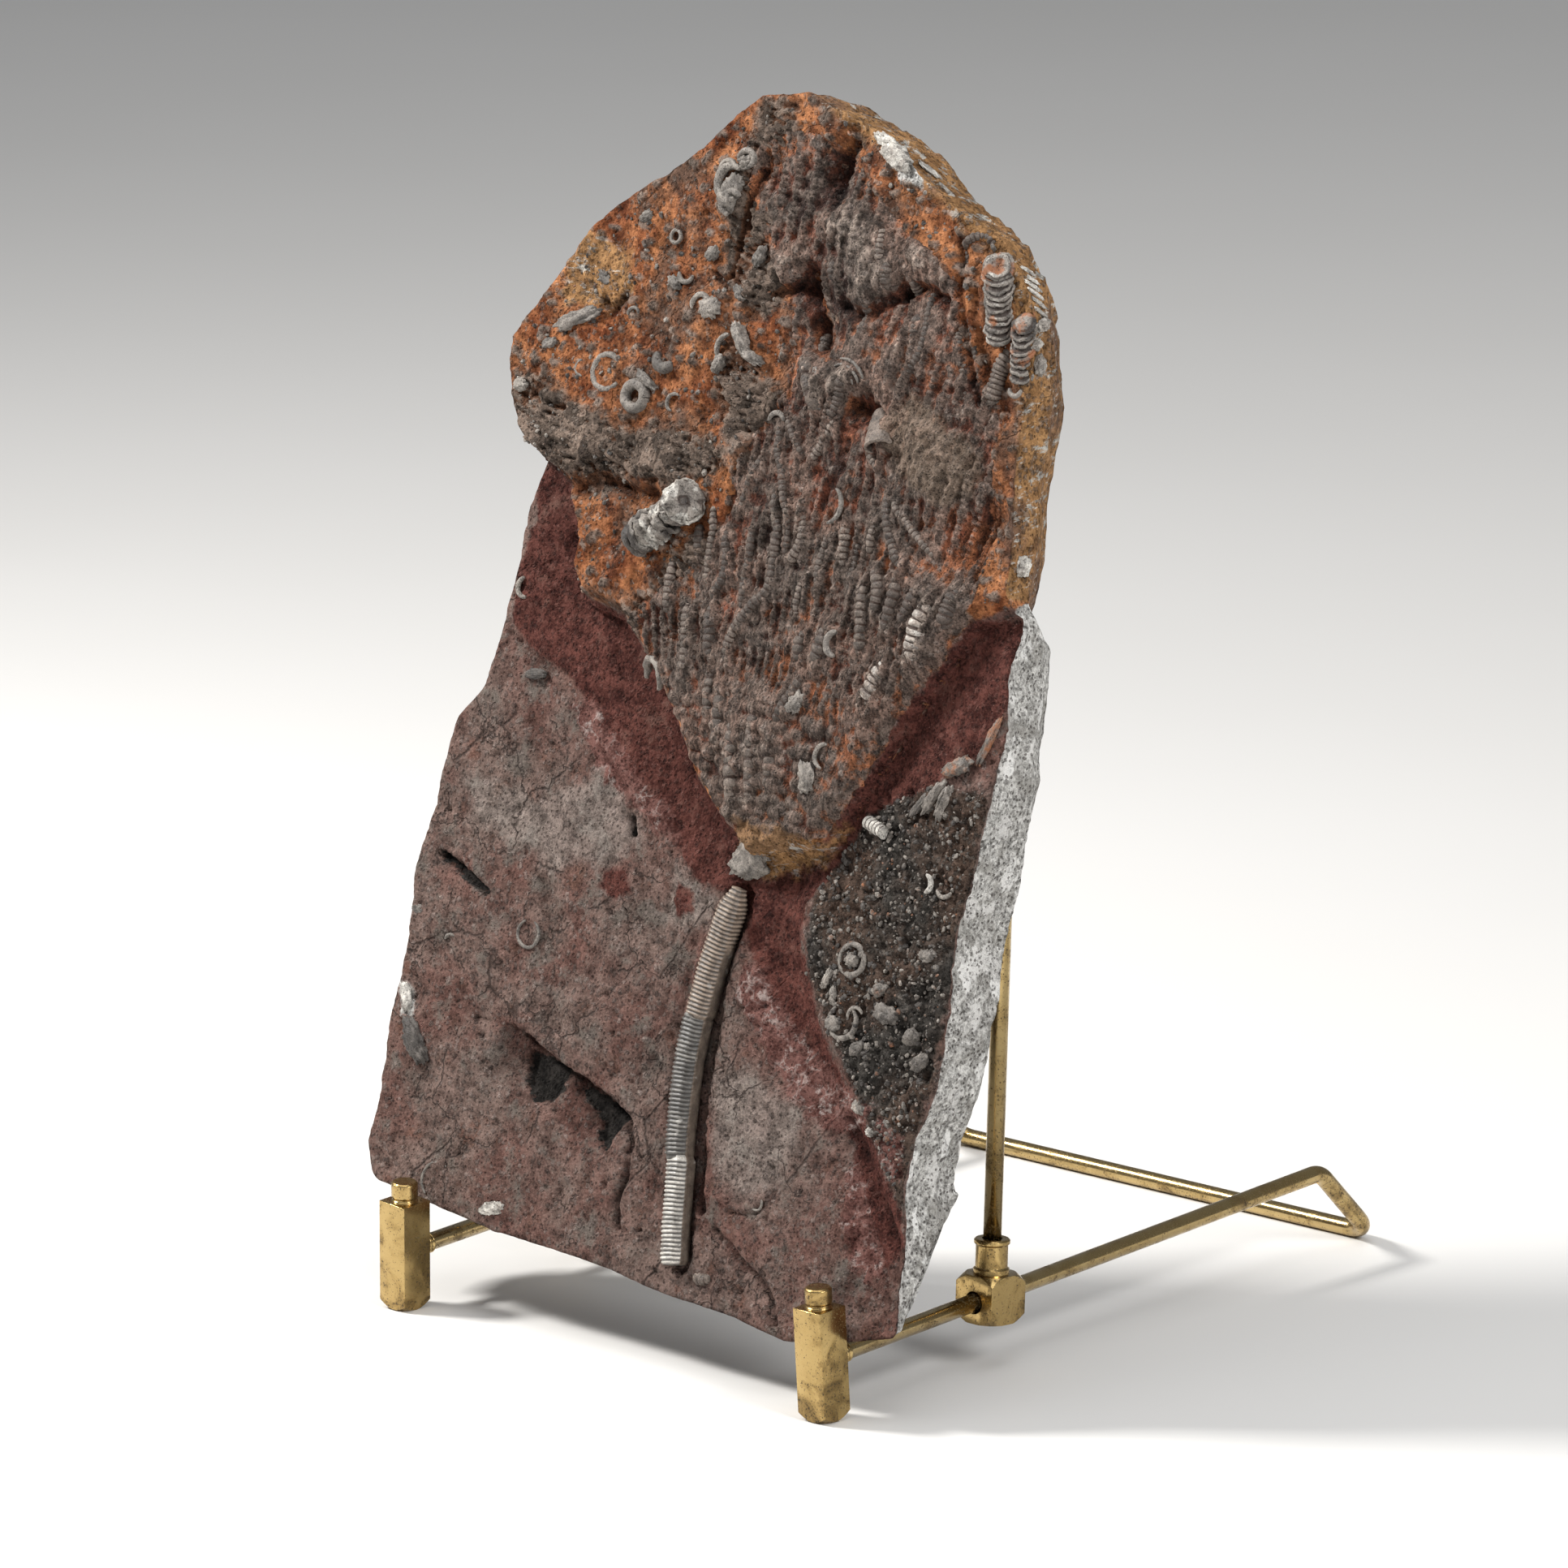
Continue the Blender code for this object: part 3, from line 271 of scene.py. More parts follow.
COLOUR_ZONES = {
    "maroon": MAROON_ZONES, "crust": CRUST_ZONES, "slate": SLATE_ZONES, "scar": SCAR_AND_SHADE_ZONES, "ochre": OCHRE_ZONES,
    "grey": GREY_ZONES, "white": WHITE_ZONES,
}
FAR_OUTSIDE = -20.0

# Arms and ribbed lengths of the crown: (path in (u, v), radius, ring pitch, how far the top stands up)
ARMS = [
    ([(11.3, 231.3), (12.9, 226.4), (12.2, 223.3), (14.2, 220.6), (16.9, 214.2), (17.9, 210.9), (20.2, 207.0),
      (21.3, 200.7), (21.0, 196.9)], 1.2, 1.5, 2.6),
    ([(13.4, 232.4), (15.6, 230.2), (17.7, 227.4), (20.9, 223.6)], 1.0, 1.4, 2.2),
    ([(23.5, 210.8), (24.5, 207.5), (25.8, 204.3), (25.7, 200.9), (24.6, 197.8), (22.5, 195.4)], 1.5, 1.6, 2.4),
    ([(14.0, 213.8), (14.6, 209.6), (16.1, 205.6), (17.8, 203.3), (17.4, 199.8), (17.4, 194.7), (17.8, 190.5),
      (17.2, 187.9), (15.4, 185.1), (13.0, 183.0), (9.3, 178.3), (6.8, 173.7), (5.7, 169.3), (7.3, 166.5)],
     1.5, 1.7, 2.8),
    ([(-1.0, 200.8), (-0.4, 196.6), (0.6, 193.3), (0.9, 188.2), (-0.7, 185.9), (-2.0, 184.0), (-1.0, 182.0)],
     1.3, 1.6, 2.4),
    ([(7.9, 201.5), (8.6, 198.6), (8.3, 192.2), (8.6, 186.7), (8.6, 181.6)], 1.3, 1.7, 2.4),
    ([(-2.0, 180.1), (-2.3, 177.5), (-1.1, 174.7), (-0.7, 171.8), (-0.5, 169.2), (1.0, 168.2)], 1.8, 1.9, 2.8),
    ([(-18.8, 189.8), (-18.6, 186.4), (-18.3, 183.5), (-18.2, 180.5), (-18.0, 177.1)], 1.5, 1.7, 2.2),
    ([(-11.6, 200.2), (-10.8, 197.8), (-9.6, 192.8)], 1.5, 1.6, 2.2),
    ([(-9.0, 160.0), (-8.4, 166.0), (-9.4, 172.0), (-11.0, 180.0)], 1.6, 1.8, 2.4),
    ([(40.1, 207.9), (40.8, 203.3), (41.2, 199.2), (41.0, 196.2)], 1.7, 1.6, 2.3),
    ([(38.8, 179.8), (39.0, 176.5), (37.9, 173.4), (37.6, 170.8)], 2.3, 2.2, 3.2),
    ([(34.0, 167.3), (32.6, 164.6), (30.7, 161.3), (29.3, 158.6), (28.4, 155.9), (27.7, 154.1)], 1.7, 1.8, 2.5),
    ([(31.1, 177.9), (31.3, 174.5), (31.3, 171.6)], 1.9, 1.9, 2.8),
    ([(49.7, 194.4), (50.7, 191.2), (51.1, 187.0), (51.7, 182.9), (52.3, 178.8), (52.4, 175.8)], 1.8, 2.0, 3.0),
    ([(53.2, 197.0), (55.1, 194.7), (56.0, 191.9), (55.8, 188.9), (55.4, 186.8)], 1.7, 1.8, 3.0),
    ([(60.6, 196.6), (61.0, 191.3), (60.6, 186.7), (60.0, 182.7)], 1.9, 2.0, 3.1),
    ([(67.4, 194.5), (66.8, 190.9), (65.7, 188.2), (64.6, 185.4)], 1.7, 1.9, 2.8),
    ([(53.2, 216.3), (53.9, 213.1), (55.2, 209.9), (56.5, 206.7), (58.3, 203.6), (60.3, 200.9), (62.1, 199.4)],
     1.4, 1.6, 2.6),
    ([(55.7, 216.7), (57.0, 213.5), (60.6, 211.4), (63.2, 209.7), (66.0, 207.5), (68.7, 205.8), (71.5, 203.2)],
     1.1, 1.4, 2.2),
    ([(50.3, 209.1), (50.0, 204.6), (49.7, 201.4)], 1.3, 1.5, 2.2),
    ([(44.2, 227.0), (46.1, 225.1), (48.2, 223.3)], 1.1, 1.4, 2.0),
    ([(5.9, 160.5), (6.8, 155.3), (7.2, 151.1), (7.9, 146.5)], 2.0, 3.0, 2.6),
    ([(11.8, 152.1), (13.6, 143.5), (15.2, 136.3), (16.5, 129.1)], 2.1, 3.0, 2.6),
    ([(19.5, 160.1), (20.0, 150.5), (21.2, 141.3), (22.5, 131.0)], 1.9, 2.8, 2.2),
    ([(26.5, 150.0), (27.5, 143.0), (28.0, 136.0)], 1.8, 2.6, 2.0),
    ([(1.0, 164.0), (1.8, 158.0), (3.0, 152.0)], 1.8, 2.4, 2.2),
    ([(70.0, 176.5), (70.5, 181.0), (71.0, 186.0), (72.2, 191.0)], 3.2, 1.9, 3.6),
    ([(80.3, 195.5), (79.5, 191.5), (78.6, 187.0)], 2.6, 1.3, 3.0),
    ([(56.5, 163.0), (58.6, 168.5), (61.5, 174.0)], 3.4, 1.9, 2.6),
    ([(17.2, 262.5), (18.4, 259.4), (19.8, 256.4)], 2.3, 1.1, -0.2),
    ([(17.9, 254.4), (18.6, 252.0), (19.3, 249.6)], 1.9, 1.2, 1.0),
    ([(24.6, 236.0), (21.6, 242.0), (18.6, 247.6)], 2.0, 5.0, 2.2),
    ([(80.3, 244.0), (81.0, 249.0), (82.0, 254.0), (83.6, 258.4)], 2.4, 1.25, 2.4),
    ([(62.4, 286.0), (66.2, 274.0), (69.6, 264.0), (74.4, 252.0), (78.0, 243.0)], 1.1, 1.2, 0.5),
    ([(59.0, 282.0), (62.4, 272.0), (66.0, 262.0), (70.6, 250.0), (73.0, 241.0)], 1.3, 1.2, 0.7),
    ([(63.0, 281.6), (66.0, 285.6), (70.4, 286.2), (73.4, 283.6)], 1.3, 1.3, 0.9),
    ([(50.5, 243.0), (53.6, 250.0), (57.0, 257.0), (55.6, 265.0), (54.0, 272.0)], 1.4, 1.3, 1.8),
    ([(52.6, 263.6), (53.0, 259.4), (53.4, 255.0)], 2.4, 1.2, 2.0),
    ([(40.2, 275.4), (40.4, 272.6), (40.6, 269.8)], 2.1, 1.1, 1.9),
    ([(48.2, 272.4), (48.4, 270.2), (48.6, 267.8)], 1.9, 1.1, 1.7),
    ([(21.4, 273.6), (21.6, 271.4), (22.0, 269.4)], 1.6, 1.1, 1.6),
    ([(36.0, 286.0), (37.4, 280.0), (38.0, 275.0)], 1.6, 1.3, 1.8),
    ([(28.2, 232.6), (30.0, 238.0), (32.4, 246.4)], 1.8, 1.4, 2.0),
    ([(33.0, 252.0), (34.6, 259.0), (34.0, 266.0)], 1.5, 1.5, 1.6),
    ([(24.0, 222.0), (28.0, 228.0), (30.4, 234.0)], 1.3, 1.5, 1.6),
    ([(33.6, 190.0), (33.0, 197.0), (34.4, 204.0)], 1.3, 1.6, 1.7),
    ([(27.6, 182.0), (27.4, 189.0), (28.6, 194.0)], 1.2, 1.6, 1.6),
    ([(44.6, 190.0), (45.2, 197.0), (45.0, 204.0)], 1.2, 1.5, 1.6),
    ([(2.0, 206.0), (4.0, 214.0), (7.6, 222.0)], 1.2, 1.5, 1.7),
    ([(-7.4, 206.0), (-5.6, 199.0), (-6.2, 190.0), (-5.0, 184.0)], 1.3, 1.6, 1.8),
    ([(24.0, 8.4), (26.6, 8.0), (28.8, 8.8)], 1.7, 0.9, 1.5),
]

# Rings, crescents and curled shells: (u, v, radius, first angle, last angle, half thickness, rise, tone)
ARCS = [
    (-41, 231, 3.4, 0, 360, 1.55, 1.9, 0.5), (-53, 236, 4.9, 40, 330, 1.0, 1.1, 0.5),
    (-33, 242, 2.7, 150, 350, 1.7, 1.9, 0.3), (-36, 274, 1.8, 0, 360, 0.55, 1.0, 0.5),
    (-30, 265, 2.6, 180, 350, 0.7, 1.3, 0.45), (-22, 160, 4.3, -60, 200, 1.2, 2.2, 0.55),
    (-17, 290, 4.6, 60, 300, 1.3, 3.0, 0.62), (-15.6, 284.6, 3.4, 40, 250, 1.1, 2.8, 0.5),
    (-18.6, 293, 2.8, 20, 210, 0.8, 2.8, 0.7), (-13.6, 296.6, 2.4, -60, 190, 0.9, 3.0, 0.55),
    (44, 177, 3.2, 90, 275, 1.0, 2.0, 0.5), (33, 212, 5.2, -75, 60, 0.7, 1.6, 0.5),
    (-55, 86, 3.9, 115, 425, 0.5, 0.55, 0.4), (-74, 16, 5.4, 60, 230, 0.5, 0.55, 0.5),
    (62, 98, 4.1, 0, 360, 0.8, 1.2, 0.5), (62, 82, 4.6, 130, 420, 0.8, 1.2, 0.6),
    (82, 121, 2.4, -75, 80, 0.75, 1.6, 0.95), (89, 121, 2.6, 200, 340, 0.6, 1.2, 0.6),
    (89, 249, 2.0, 180, 360, 0.7, 2.2, 0.6), (11.3, 230.4, 2.7, 20, 175, 0.7, 2.2, 0.5),
    (31, 242, 4.4, 20, 120, 0.5, 1.5, 0.45), (31, 242, 6.2, 20, 115, 0.5, 1.5, 0.45),
    (31, 242, 8.0, 25, 100, 0.5, 1.4, 0.45), (46, 148, 3.4, 90, 260, 0.6, 1.5, 0.6),
    (-76, 176, 2.8, 110, 290, 0.7, 0.9, 0.6), (42, 31, 1.9, 0, 360, 0.35, 0.5, 0.55),
    (-83, 79, 2.4, 60, 160, 0.45, 0.7, 0.6), (-10, 247, 4.2, 100, 215, 0.8, 1.7, 0.6),
    (-22, 257, 3.2, 30, 200, 0.8, 1.8, 0.7), (66, 84, 2.4, 20, 200, 0.5, 1.2, 0.7),
    (-47, 252, 2.0, 10, 190, 0.5, 1.1, 0.45), (-62, 236, 2.2, 100, 280, 0.5, 1.1, 0.45),
    (-27, 231, 2.4, 60, 260, 0.55, 1.1, 0.5), (-70, 108, 3.0, 200, 300, 0.35, 0.5, 0.3),
]

# Lumps, pebbles and plates: (u, v, half length, half width, heading, height, tone, redness)
PEBBLES = [
    (-67, 248.5, 7.6, 2.1, 22, 2.2, 0.5, 0.0), (-17.5, 287, 5.4, 3.0, 66, 2.6, 0.5, 0.0),
    (-14, 296, 2.6, 2.0, 20, 2.8, 0.6, 0.0), (-19, 257, 3.4, 2.8, 10, 2.0, 0.7, 0.05),
    (85.6, 279.4, 2.6, 0.5, -18, 0.7, 0.95, 0.0), (87.4, 277.6, 3.0, 0.5, -20, 0.7, 0.95, 0.0),
    (88.6, 275.6, 3.2, 0.5, -20, 0.7, 0.92, 0.0), (89.8, 273.6, 3.2, 0.5, -22, 0.7, 0.95, 0.0),
    (91.0, 271.4, 3.0, 0.5, -22, 0.7, 0.9, 0.0), (92.0, 269.2, 2.6, 0.5, -24, 0.7, 0.92, 0.0),
    (50, 301, 4.6, 0.6, -20, 0.8, 0.9, 0.0), (57, 297, 4.0, 0.5, -34, 0.8, 0.88, 0.0),
    (-38, 235.6, 4.0, 1.2, -28, 1.8, 0.5, 0.0), (-48, 278, 2.2, 1.4, 30, 1.4, 0.45, 0.0),
    (-34, 262, 2.4, 1.5, -20, 1.4, 0.5, 0.0), (-6, 250, 5.2, 1.7, -52, 2.6, 0.62, 0.0),
    (-1, 246, 3.6, 1.4, -20, 2.4, 0.55, 0.0), (-13, 243, 2.8, 1.6, 60, 2.2, 0.6, 0.0),
    (-61, 260, 3.0, 1.6, -30, 1.2, 0.3, 0.2), (-76, 241, 2.6, 1.4, 20, 1.2, 0.45, 0.0),
    (-22, 271, 2.4, 1.6, 40, 1.4, 0.5, 0.1), (-10, 262, 2.6, 1.4, -40, 1.6, 0.4, 0.1),
    (-5, 272, 3.0, 1.6, 70, 1.8, 0.4, 0.1), (-84, 229, 2.4, 1.8, 0, 1.3, 0.7, 0.0),
    (22, 241.5, 6.0, 3.0, -60, 2.0, 0.5, 0.0), (20.6, 118, 7.0, 4.6, 28, 2.2, 0.56, 0.0),
    (41, 142, 4.2, 2.4, 100, 1.8, 0.55, 0.0), (33, 160, 3.4, 2.4, 60, 1.8, 0.6, 0.0),
    (-89.6, 51.5, 6.4, 3.0, -52, 2.2, 0.22, 0.0), (-96, 62, 4.0, 1.6, -70, 1.2, 0.95, 0.0),
    (-52, 12.5, 4.4, 1.8, 12, 0.9, 0.85, 0.0), (-67, 154, 3.6, 1.4, 8, 1.1, 0.25, 0.0),
    (73, 92, 2.2, 1.7, 30, 2.2, 0.6, 0.3), (77, 86.4, 3.8, 2.2, -12, 2.2, 0.4, 0.1),
    (86, 82, 2.4, 1.9, 40, 2.0, 0.4, 0.15), (62, 98, 2.2, 1.8, 0, 1.2, 0.6, 0.0),
    (59, 81, 2.6, 2.0, 0, 1.5, 0.5, 0.0), (81, 143, 5.0, 1.5, 60, 2.0, 0.5, 0.15),
    (84.6, 142, 4.8, 1.4, 76, 2.2, 0.56, 0.1), (77, 141, 4.6, 1.2, 48, 1.6, 0.45, 0.2),
    (87, 152, 4.6, 2.2, 28, 2.2, 0.5, 0.42), (96, 160, 6.5, 1.2, 68, 1.4, 0.4, 0.4),
    (93, 266, 2.4, 1.6, 30, 2.2, 0.85, 0.0), (94.5, 256, 2.6, 1.4, 100, 2.2, 0.8, 0.0),
    (92.6, 261, 1.6, 1.2, 60, 1.8, 0.85, 0.0), (100, 205, 2.2, 2.6, 0, 1.8, 0.9, 0.1),
    (38.0, 302.6, 6.0, 2.6, -24, 1.8, 0.9, 0.0), (33, 306.6, 5.0, 1.6, -18, 1.4, 0.9, 0.0),
    (68, 76, 2.6, 1.6, 40, 1.4, 0.4, 0.0), (54, 92, 3.0, 1.2, 70, 1.2, 0.75, 0.0),
    (57, 88, 2.4, 1.2, 100, 1.2, 0.7, 0.0), (70, 61, 2.6, 1.6, -20, 1.4, 0.8, 0.3),
    (75.6, 55.5, 1.4, 1.1, 0, 1.2, 0.9, 0.1), (-97, 86, 2.0, 1.2, 0, 0.8, 0.4, 0.0),
    (90, 76, 3.0, 1.8, 40, 1.8, 0.4, 0.0), (87, 103, 2.6, 1.6, 0, 1.8, 0.45, 0.0),
]

# White barrel-shaped length of stem in the dark rubble: its ends, radius and ring pitch
WHITE_BARREL = ([(57.4, 133.4), (61.0, 132.6), (65.6, 131.6)], 1.8, 1.6)

# Hollow-ended horn that opens to the lower right
HORN_TOP, HORN_MOUTH = (44.6, 238.0), (49.0, 228.6)
HORN_RADIUS = 4.3

# Cracks and slits: (path, depth, half width)
CRACKS = [
    ([(-75, 62), (-66, 61), (-58, 63), (-50, 59)], 0.7, 0.5), ([(-65, 50), (-56, 51), (-48, 48)], 0.6, 0.5),
    ([(-50, 59), (-46, 56.5), (-40, 55), (-35, 53), (-28, 51.5), (-20, 48.5), (-12, 45.5), (-8, 43)], 2.6, 1.3),
    ([(-8, 43), (-6, 38), (-5, 30), (-7, 22), (-6, 16)], 2.0, 1.1), ([(-14, 40), (-13, 30), (-12, 22)], 0.7, 0.6),
    ([(-8, 40), (-2, 36), (0, 34)], 0.9, 0.5), ([(-5, 16), (-1, 15.4), (3, 17)], 0.8, 0.5),
    ([(24, 27), (29, 28.6), (35, 27), (42, 28), (45, 33)], 1.0, 0.5),
    ([(28, 22), (34, 19), (40, 15), (47, 12), (52, 8), (55, 2)], 2.2, 0.9),
    ([(25, 80), (30, 79), (34, 82)], 0.7, 0.4), ([(20, 64), (24, 61), (30, 61.5)], 0.6, 0.4),
    ([(-20, 266), (-16, 263), (-14, 270), (-12, 285), (-9, 293)], 2.0, 0.9),
    ([(-92, 102.4), (-84, 99.5), (-78, 97), (-72, 94.4)], 1.2, 0.8), ([(-24, 122), (-22.4, 117.6)], 1.0, 0.6),
    ([(-8, 60), (-3, 72), (0, 84), (-2, 94)], 0.5, 0.6), ([(-45, 208), (-36, 203), (-33, 196)], 1.6, 1.0),
    ([(18.5, 100), (17.6, 85), (16.6, 66), (17.4, 50), (19.4, 38), (20.6, 30), (22.6, 26)], 3.2, 1.3),
    ([(5.6, 96), (5.6, 80), (3.6, 70), (4.4, 56), (6.6, 40)], 0.9, 0.8),
    ([(67, 57), (73, 50), (80, 41), (86, 35), (90, 30)], 1.6, 1.6),
]

# Steps in the plain rock, higher on the left of each path's heading: (path, rise, reach)
STEPS = [
    ([(-6, 42), (-14, 47), (-22, 50.5), (-36, 54.5), (-50, 60), (-62, 63)], -2.4, 18.0),
    ([(50, 8), (40, 14.6), (28, 21.6), (24, 26)], -0.8, 8.0),
    ([(24, 27.4), (35, 27.6), (44, 30), (47, 34)], 0.8, 8.0),
    ([(-98, 70), (-86, 66), (-78, 63)], 0.8, 10.0),
    ([(-60, 110), (-54, 98), (-50, 84), (-46, 70), (-40, 58)], -0.7, 12.0),
    ([(70, 47), (76, 42), (81, 33), (88, 23)], 1.1, 6.0),
    ([(-56, 155), (-46, 148), (-38, 138), (-24, 128), (-8, 117)], 1.0, 7.0),
    ([(22, 82), (27, 74), (36, 66), (48, 60), (60, 54)], -0.8, 7.0),
]


# Ridges and furrows of the beds and the crown: (path, rise, half width)
RIDGES = [
    ([(19, 304), (15.5, 296), (18, 289)], -3.0, 2.6), ([(2, 263), (9, 266), (15, 264)], -2.4, 1.6),
    ([(13, 270), (17, 260), (21, 252)], -3.2, 2.4), ([(26, 263), (33, 261), (40, 265), (46, 268)], -2.8, 2.0),
    ([(46, 269), (53, 271), (61, 268)], -2.8, 1.8), ([(36, 238), (42, 237)], -2.8, 3.0),
    ([(63, 284), (66, 272), (70, 258), (77, 244)], -1.8, 1.4), ([(70, 272), (74, 260), (78, 250)], -1.6, 1.2),
    ([(-80, 212), (-66, 206), (-56, 204)], -2.0, 2.0), ([(-48, 207), (-38, 206), (-30, 206)], -2.6, 1.8),
    ([(-60, 254), (-56, 252), (-53, 256)], -2.2, 1.6), ([(-10, 294), (-12, 284), (-11, 276)], -2.2, 1.0),
    ([(-26, 281), (-18, 277)], -1.6, 1.2), ([(30, 212), (36, 224), (36, 232)], -1.2, 1.6),
    ([(22, 284), (30, 280), (36, 272)], 2.2, 6.0), ([(50, 279), (58, 276)], 1.8, 5.0),
    ([(60, 232), (70, 222)], 1.4, 6.0), ([(27, 243), (36, 246)], 1.6, 4.0), ([(19, 247), (25, 237)], 1.8, 2.6),
    ([(-74, 217), (-58, 214), (-44, 214), (-26, 216)], 1.3, 4.0), ([(3, 270), (8, 274)], 1.6, 4.0),
    ([(48, 255), (44, 240)], 1.3, 3.0), ([(0, 218), (-6, 224)], 1.2, 5.0), ([(86, 216), (82, 206)], -1.6, 3.0),
]


def slab_frame():
    """Matrix from slab axes (u, v, w) to stand axes, in millimetres."""
    lean = math.radians(SLAB_LEAN)
    along = Vector((1, 0, 0))
    up_face = Vector((0, math.sin(lean), math.cos(lean)))
    out = Vector((0, -math.cos(lean), math.sin(lean)))
    made = Matrix((along, up_face, out)).transposed().to_4x4()
    made.translation = (0, SLAB_FOOT_Y, SLAB_FOOT_Z)
    return made


def stand_shift():
    """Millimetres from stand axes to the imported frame, read from two solids of known place."""
    post_low, post_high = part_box("right_post")
    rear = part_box("base_rod")[1].y
    x = (post_low.x + post_high.x) / 2 / MM - POST_SPACING / 2
    return np.array((x, rear / MM - CROSS_BAR_Y - ROD_RADIUS, 0.0))


SLAB_FRAME = slab_frame()
SHIFT = stand_shift()
SLAB_TURN = np.array(SLAB_FRAME.to_3x3())
SLAB_ORIGIN = np.array(SLAB_FRAME.translation) + SHIFT


def on_slab(points):
    """Rows of (u, v, w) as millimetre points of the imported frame."""
    return np.asarray(points, float) @ SLAB_TURN.T + SLAB_ORIGIN


# Shape helpers


def ease(value):
    value = np.clip(value, 0.0, 1.0)
    return value * value * (3.0 - 2.0 * value)


def rising(value, span):
    return ease((value - span[0]) / (span[1] - span[0]))


def distance_to_path(points, path, closed=False):
    points = np.asarray(points, float)
    path = np.asarray(path, float)
    ends = np.roll(path, -1, axis=0) if closed else path[1:]
    starts = path if closed else path[:-1]
    nearest = np.full(len(points), np.inf)
    for start, end in zip(starts, ends):
        run = end - start
        share = np.clip((points - start) @ run / (run @ run), 0.0, 1.0)
        offset = points - start - share[:, None] * run
        nearest = np.minimum(nearest, np.hypot(offset[:, 0], offset[:, 1]))
    return nearest


def inside(points, outline):
    points = np.asarray(points, float)
    outline = np.asarray(outline, float)
    crossed = np.zeros(len(points), bool)
    for (u0, v0), (u1, v1) in zip(outline, np.roll(outline, -1, axis=0)):
        if v0 == v1:
            continue
        spans = (points[:, 1] < v0) != (points[:, 1] < v1)
        meet = u0 + (points[:, 1] - v0) * (u1 - u0) / (v1 - v0)
        crossed ^= spans & (points[:, 0] < meet)
    return crossed


def depth_inside(points, outline):
    """The distance to an outline, positive inside it and negative outside."""
    distance = distance_to_path(points, outline, closed=True)
    return np.where(inside(points, outline), distance, -distance)


def zone_depth(points, zones):
    """The greatest depth inside any of some outlines."""
    return np.max([depth_inside(points, zone) for zone in zones], axis=0)


def hashed(cells, seed):
    """Whole numbers that look random, one for each row of integer cells."""
    mixed = cells[:, 0] * 374761393 + cells[:, 1] * 668265263 + seed * 974711
    if cells.shape[1] > 2:
        mixed = mixed + cells[:, 2] * 1440662683
    mixed = (mixed ^ (mixed >> 13)) * 1274126177
    mixed = (mixed ^ (mixed >> 16)) * 2246822519
    return (mixed ^ (mixed >> 15)) & 0xFFFFFF


GRADIENTS = np.random.default_rng(11).normal(size=(64, 3))
GRADIENTS /= np.linalg.norm(GRADIENTS, axis=1)[:, None]


def smooth_noise(points, seed):
    """Gradient noise from about -1 to 1 at rows of (x, y, z)."""
    cell = np.floor(points).astype(np.int64)
    local = points - cell
    fade = local**3 * (local * (local * 6 - 15) + 10)
    total = np.zeros(len(points))
    for corner in np.ndindex(2, 2, 2):
        offset = np.array(corner)
        gradient = GRADIENTS[hashed(cell + offset, seed) & 63]
        weight = np.prod(np.where(offset == 1, fade, 1 - fade), axis=1)
        total += weight * np.einsum("ij,ij->i", gradient, local - offset)
    return 1.6 * total


def fractal(points, size, octaves, seed, gain=0.5):
    """Noise with detail down from a size in millimetres, about -1 to 1."""
    points = np.asarray(points, float)
    if points.shape[1] == 2:
        points = np.column_stack([points, np.full(len(points), 0.37 * seed)])
    total = np.zeros(len(points))
    reach = 0.0
    for octave in range(octaves):
        total += gain**octave * smooth_noise(points / size * 2**octave + 17.3 * octave, seed + octave)
        reach += gain**octave
    return total / reach**0.5


def chips(points, size, seed):
    """Broken pieces: distance to the nearest and next centres, in sizes, and a number for each piece."""
    scaled = np.asarray(points, float)[:, :2] / size
    home = np.floor(scaled).astype(np.int64)
    first = np.full(len(scaled), 9.0)
    second = first.copy()
    value = np.zeros(len(scaled))
    for du, dv in np.ndindex(3, 3):
        cell = home + (du - 1, dv - 1)
        spot = np.column_stack([hashed(cell, seed) % 1009, hashed(cell, seed + 1) % 1013]) / 1013.0
        away = np.hypot(*(cell + spot - scaled).T)
        closer = away < first
        second = np.where(closer, first, np.minimum(second, away))
        value = np.where(closer, hashed(cell, seed + 2) % 997 / 997.0, value)
        first = np.minimum(first, away)
    return first, second, value


def face_height(points):
    """How far the rock face stands out at each (u, v), as in the solids."""
    points = np.asarray(points, float)
    u, v = points[:, 0], points[:, 1]
    depth = depth_inside(points, RAISED_BED)
    rim = rising(u, RIM_FADE_U) * rising(v, RIM_FADE_V)
    bed = BED_RISE * (1 - rim) + BED_RIM_RISE * rim
    height = bed * ease(depth / LEDGE_WIDTH)
    hollow = ease(1 + depth / HOLLOW_REACH) * (depth < 0) * rising(v, HOLLOW_FADE)
    height -= HOLLOW_DEPTH * hollow
    height -= VALLEY_DEPTH * np.exp(-((distance_to_path(points, RED_VALLEY) / VALLEY_REACH) ** 2))
    for lump_u, lump_v, radius, rise in LUMPS:
        height += rise * np.exp(-((u - lump_u) ** 2 + (v - lump_v) ** 2) / radius**2)
    return height


def resampled(path, step):
    """Even points along a path, a step or a little less apart, with both ends kept."""
    path = np.asarray(path, float)
    runs = np.linalg.norm(np.diff(path, axis=0), axis=1)
    reach = np.concatenate([[0.0], np.cumsum(runs)])
    at = np.linspace(0.0, reach[-1], max(2, math.ceil(reach[-1] / step) + 1))
    return np.stack([np.interp(at, reach, path[:, axis]) for axis in range(path.shape[1])], axis=1)


def smoothed_path(path, step, rounds=2):
    """A path with its corners cut twice, resampled."""
    path = np.asarray(path, float)
    for _ in range(rounds):
        near = 0.75 * path[:-1] + 0.25 * path[1:]
        far = 0.25 * path[:-1] + 0.75 * path[1:]
        path = np.concatenate([path[:1], np.stack([near, far], axis=1).reshape(-1, path.shape[1]), path[-1:]])
    return resampled(path, step)


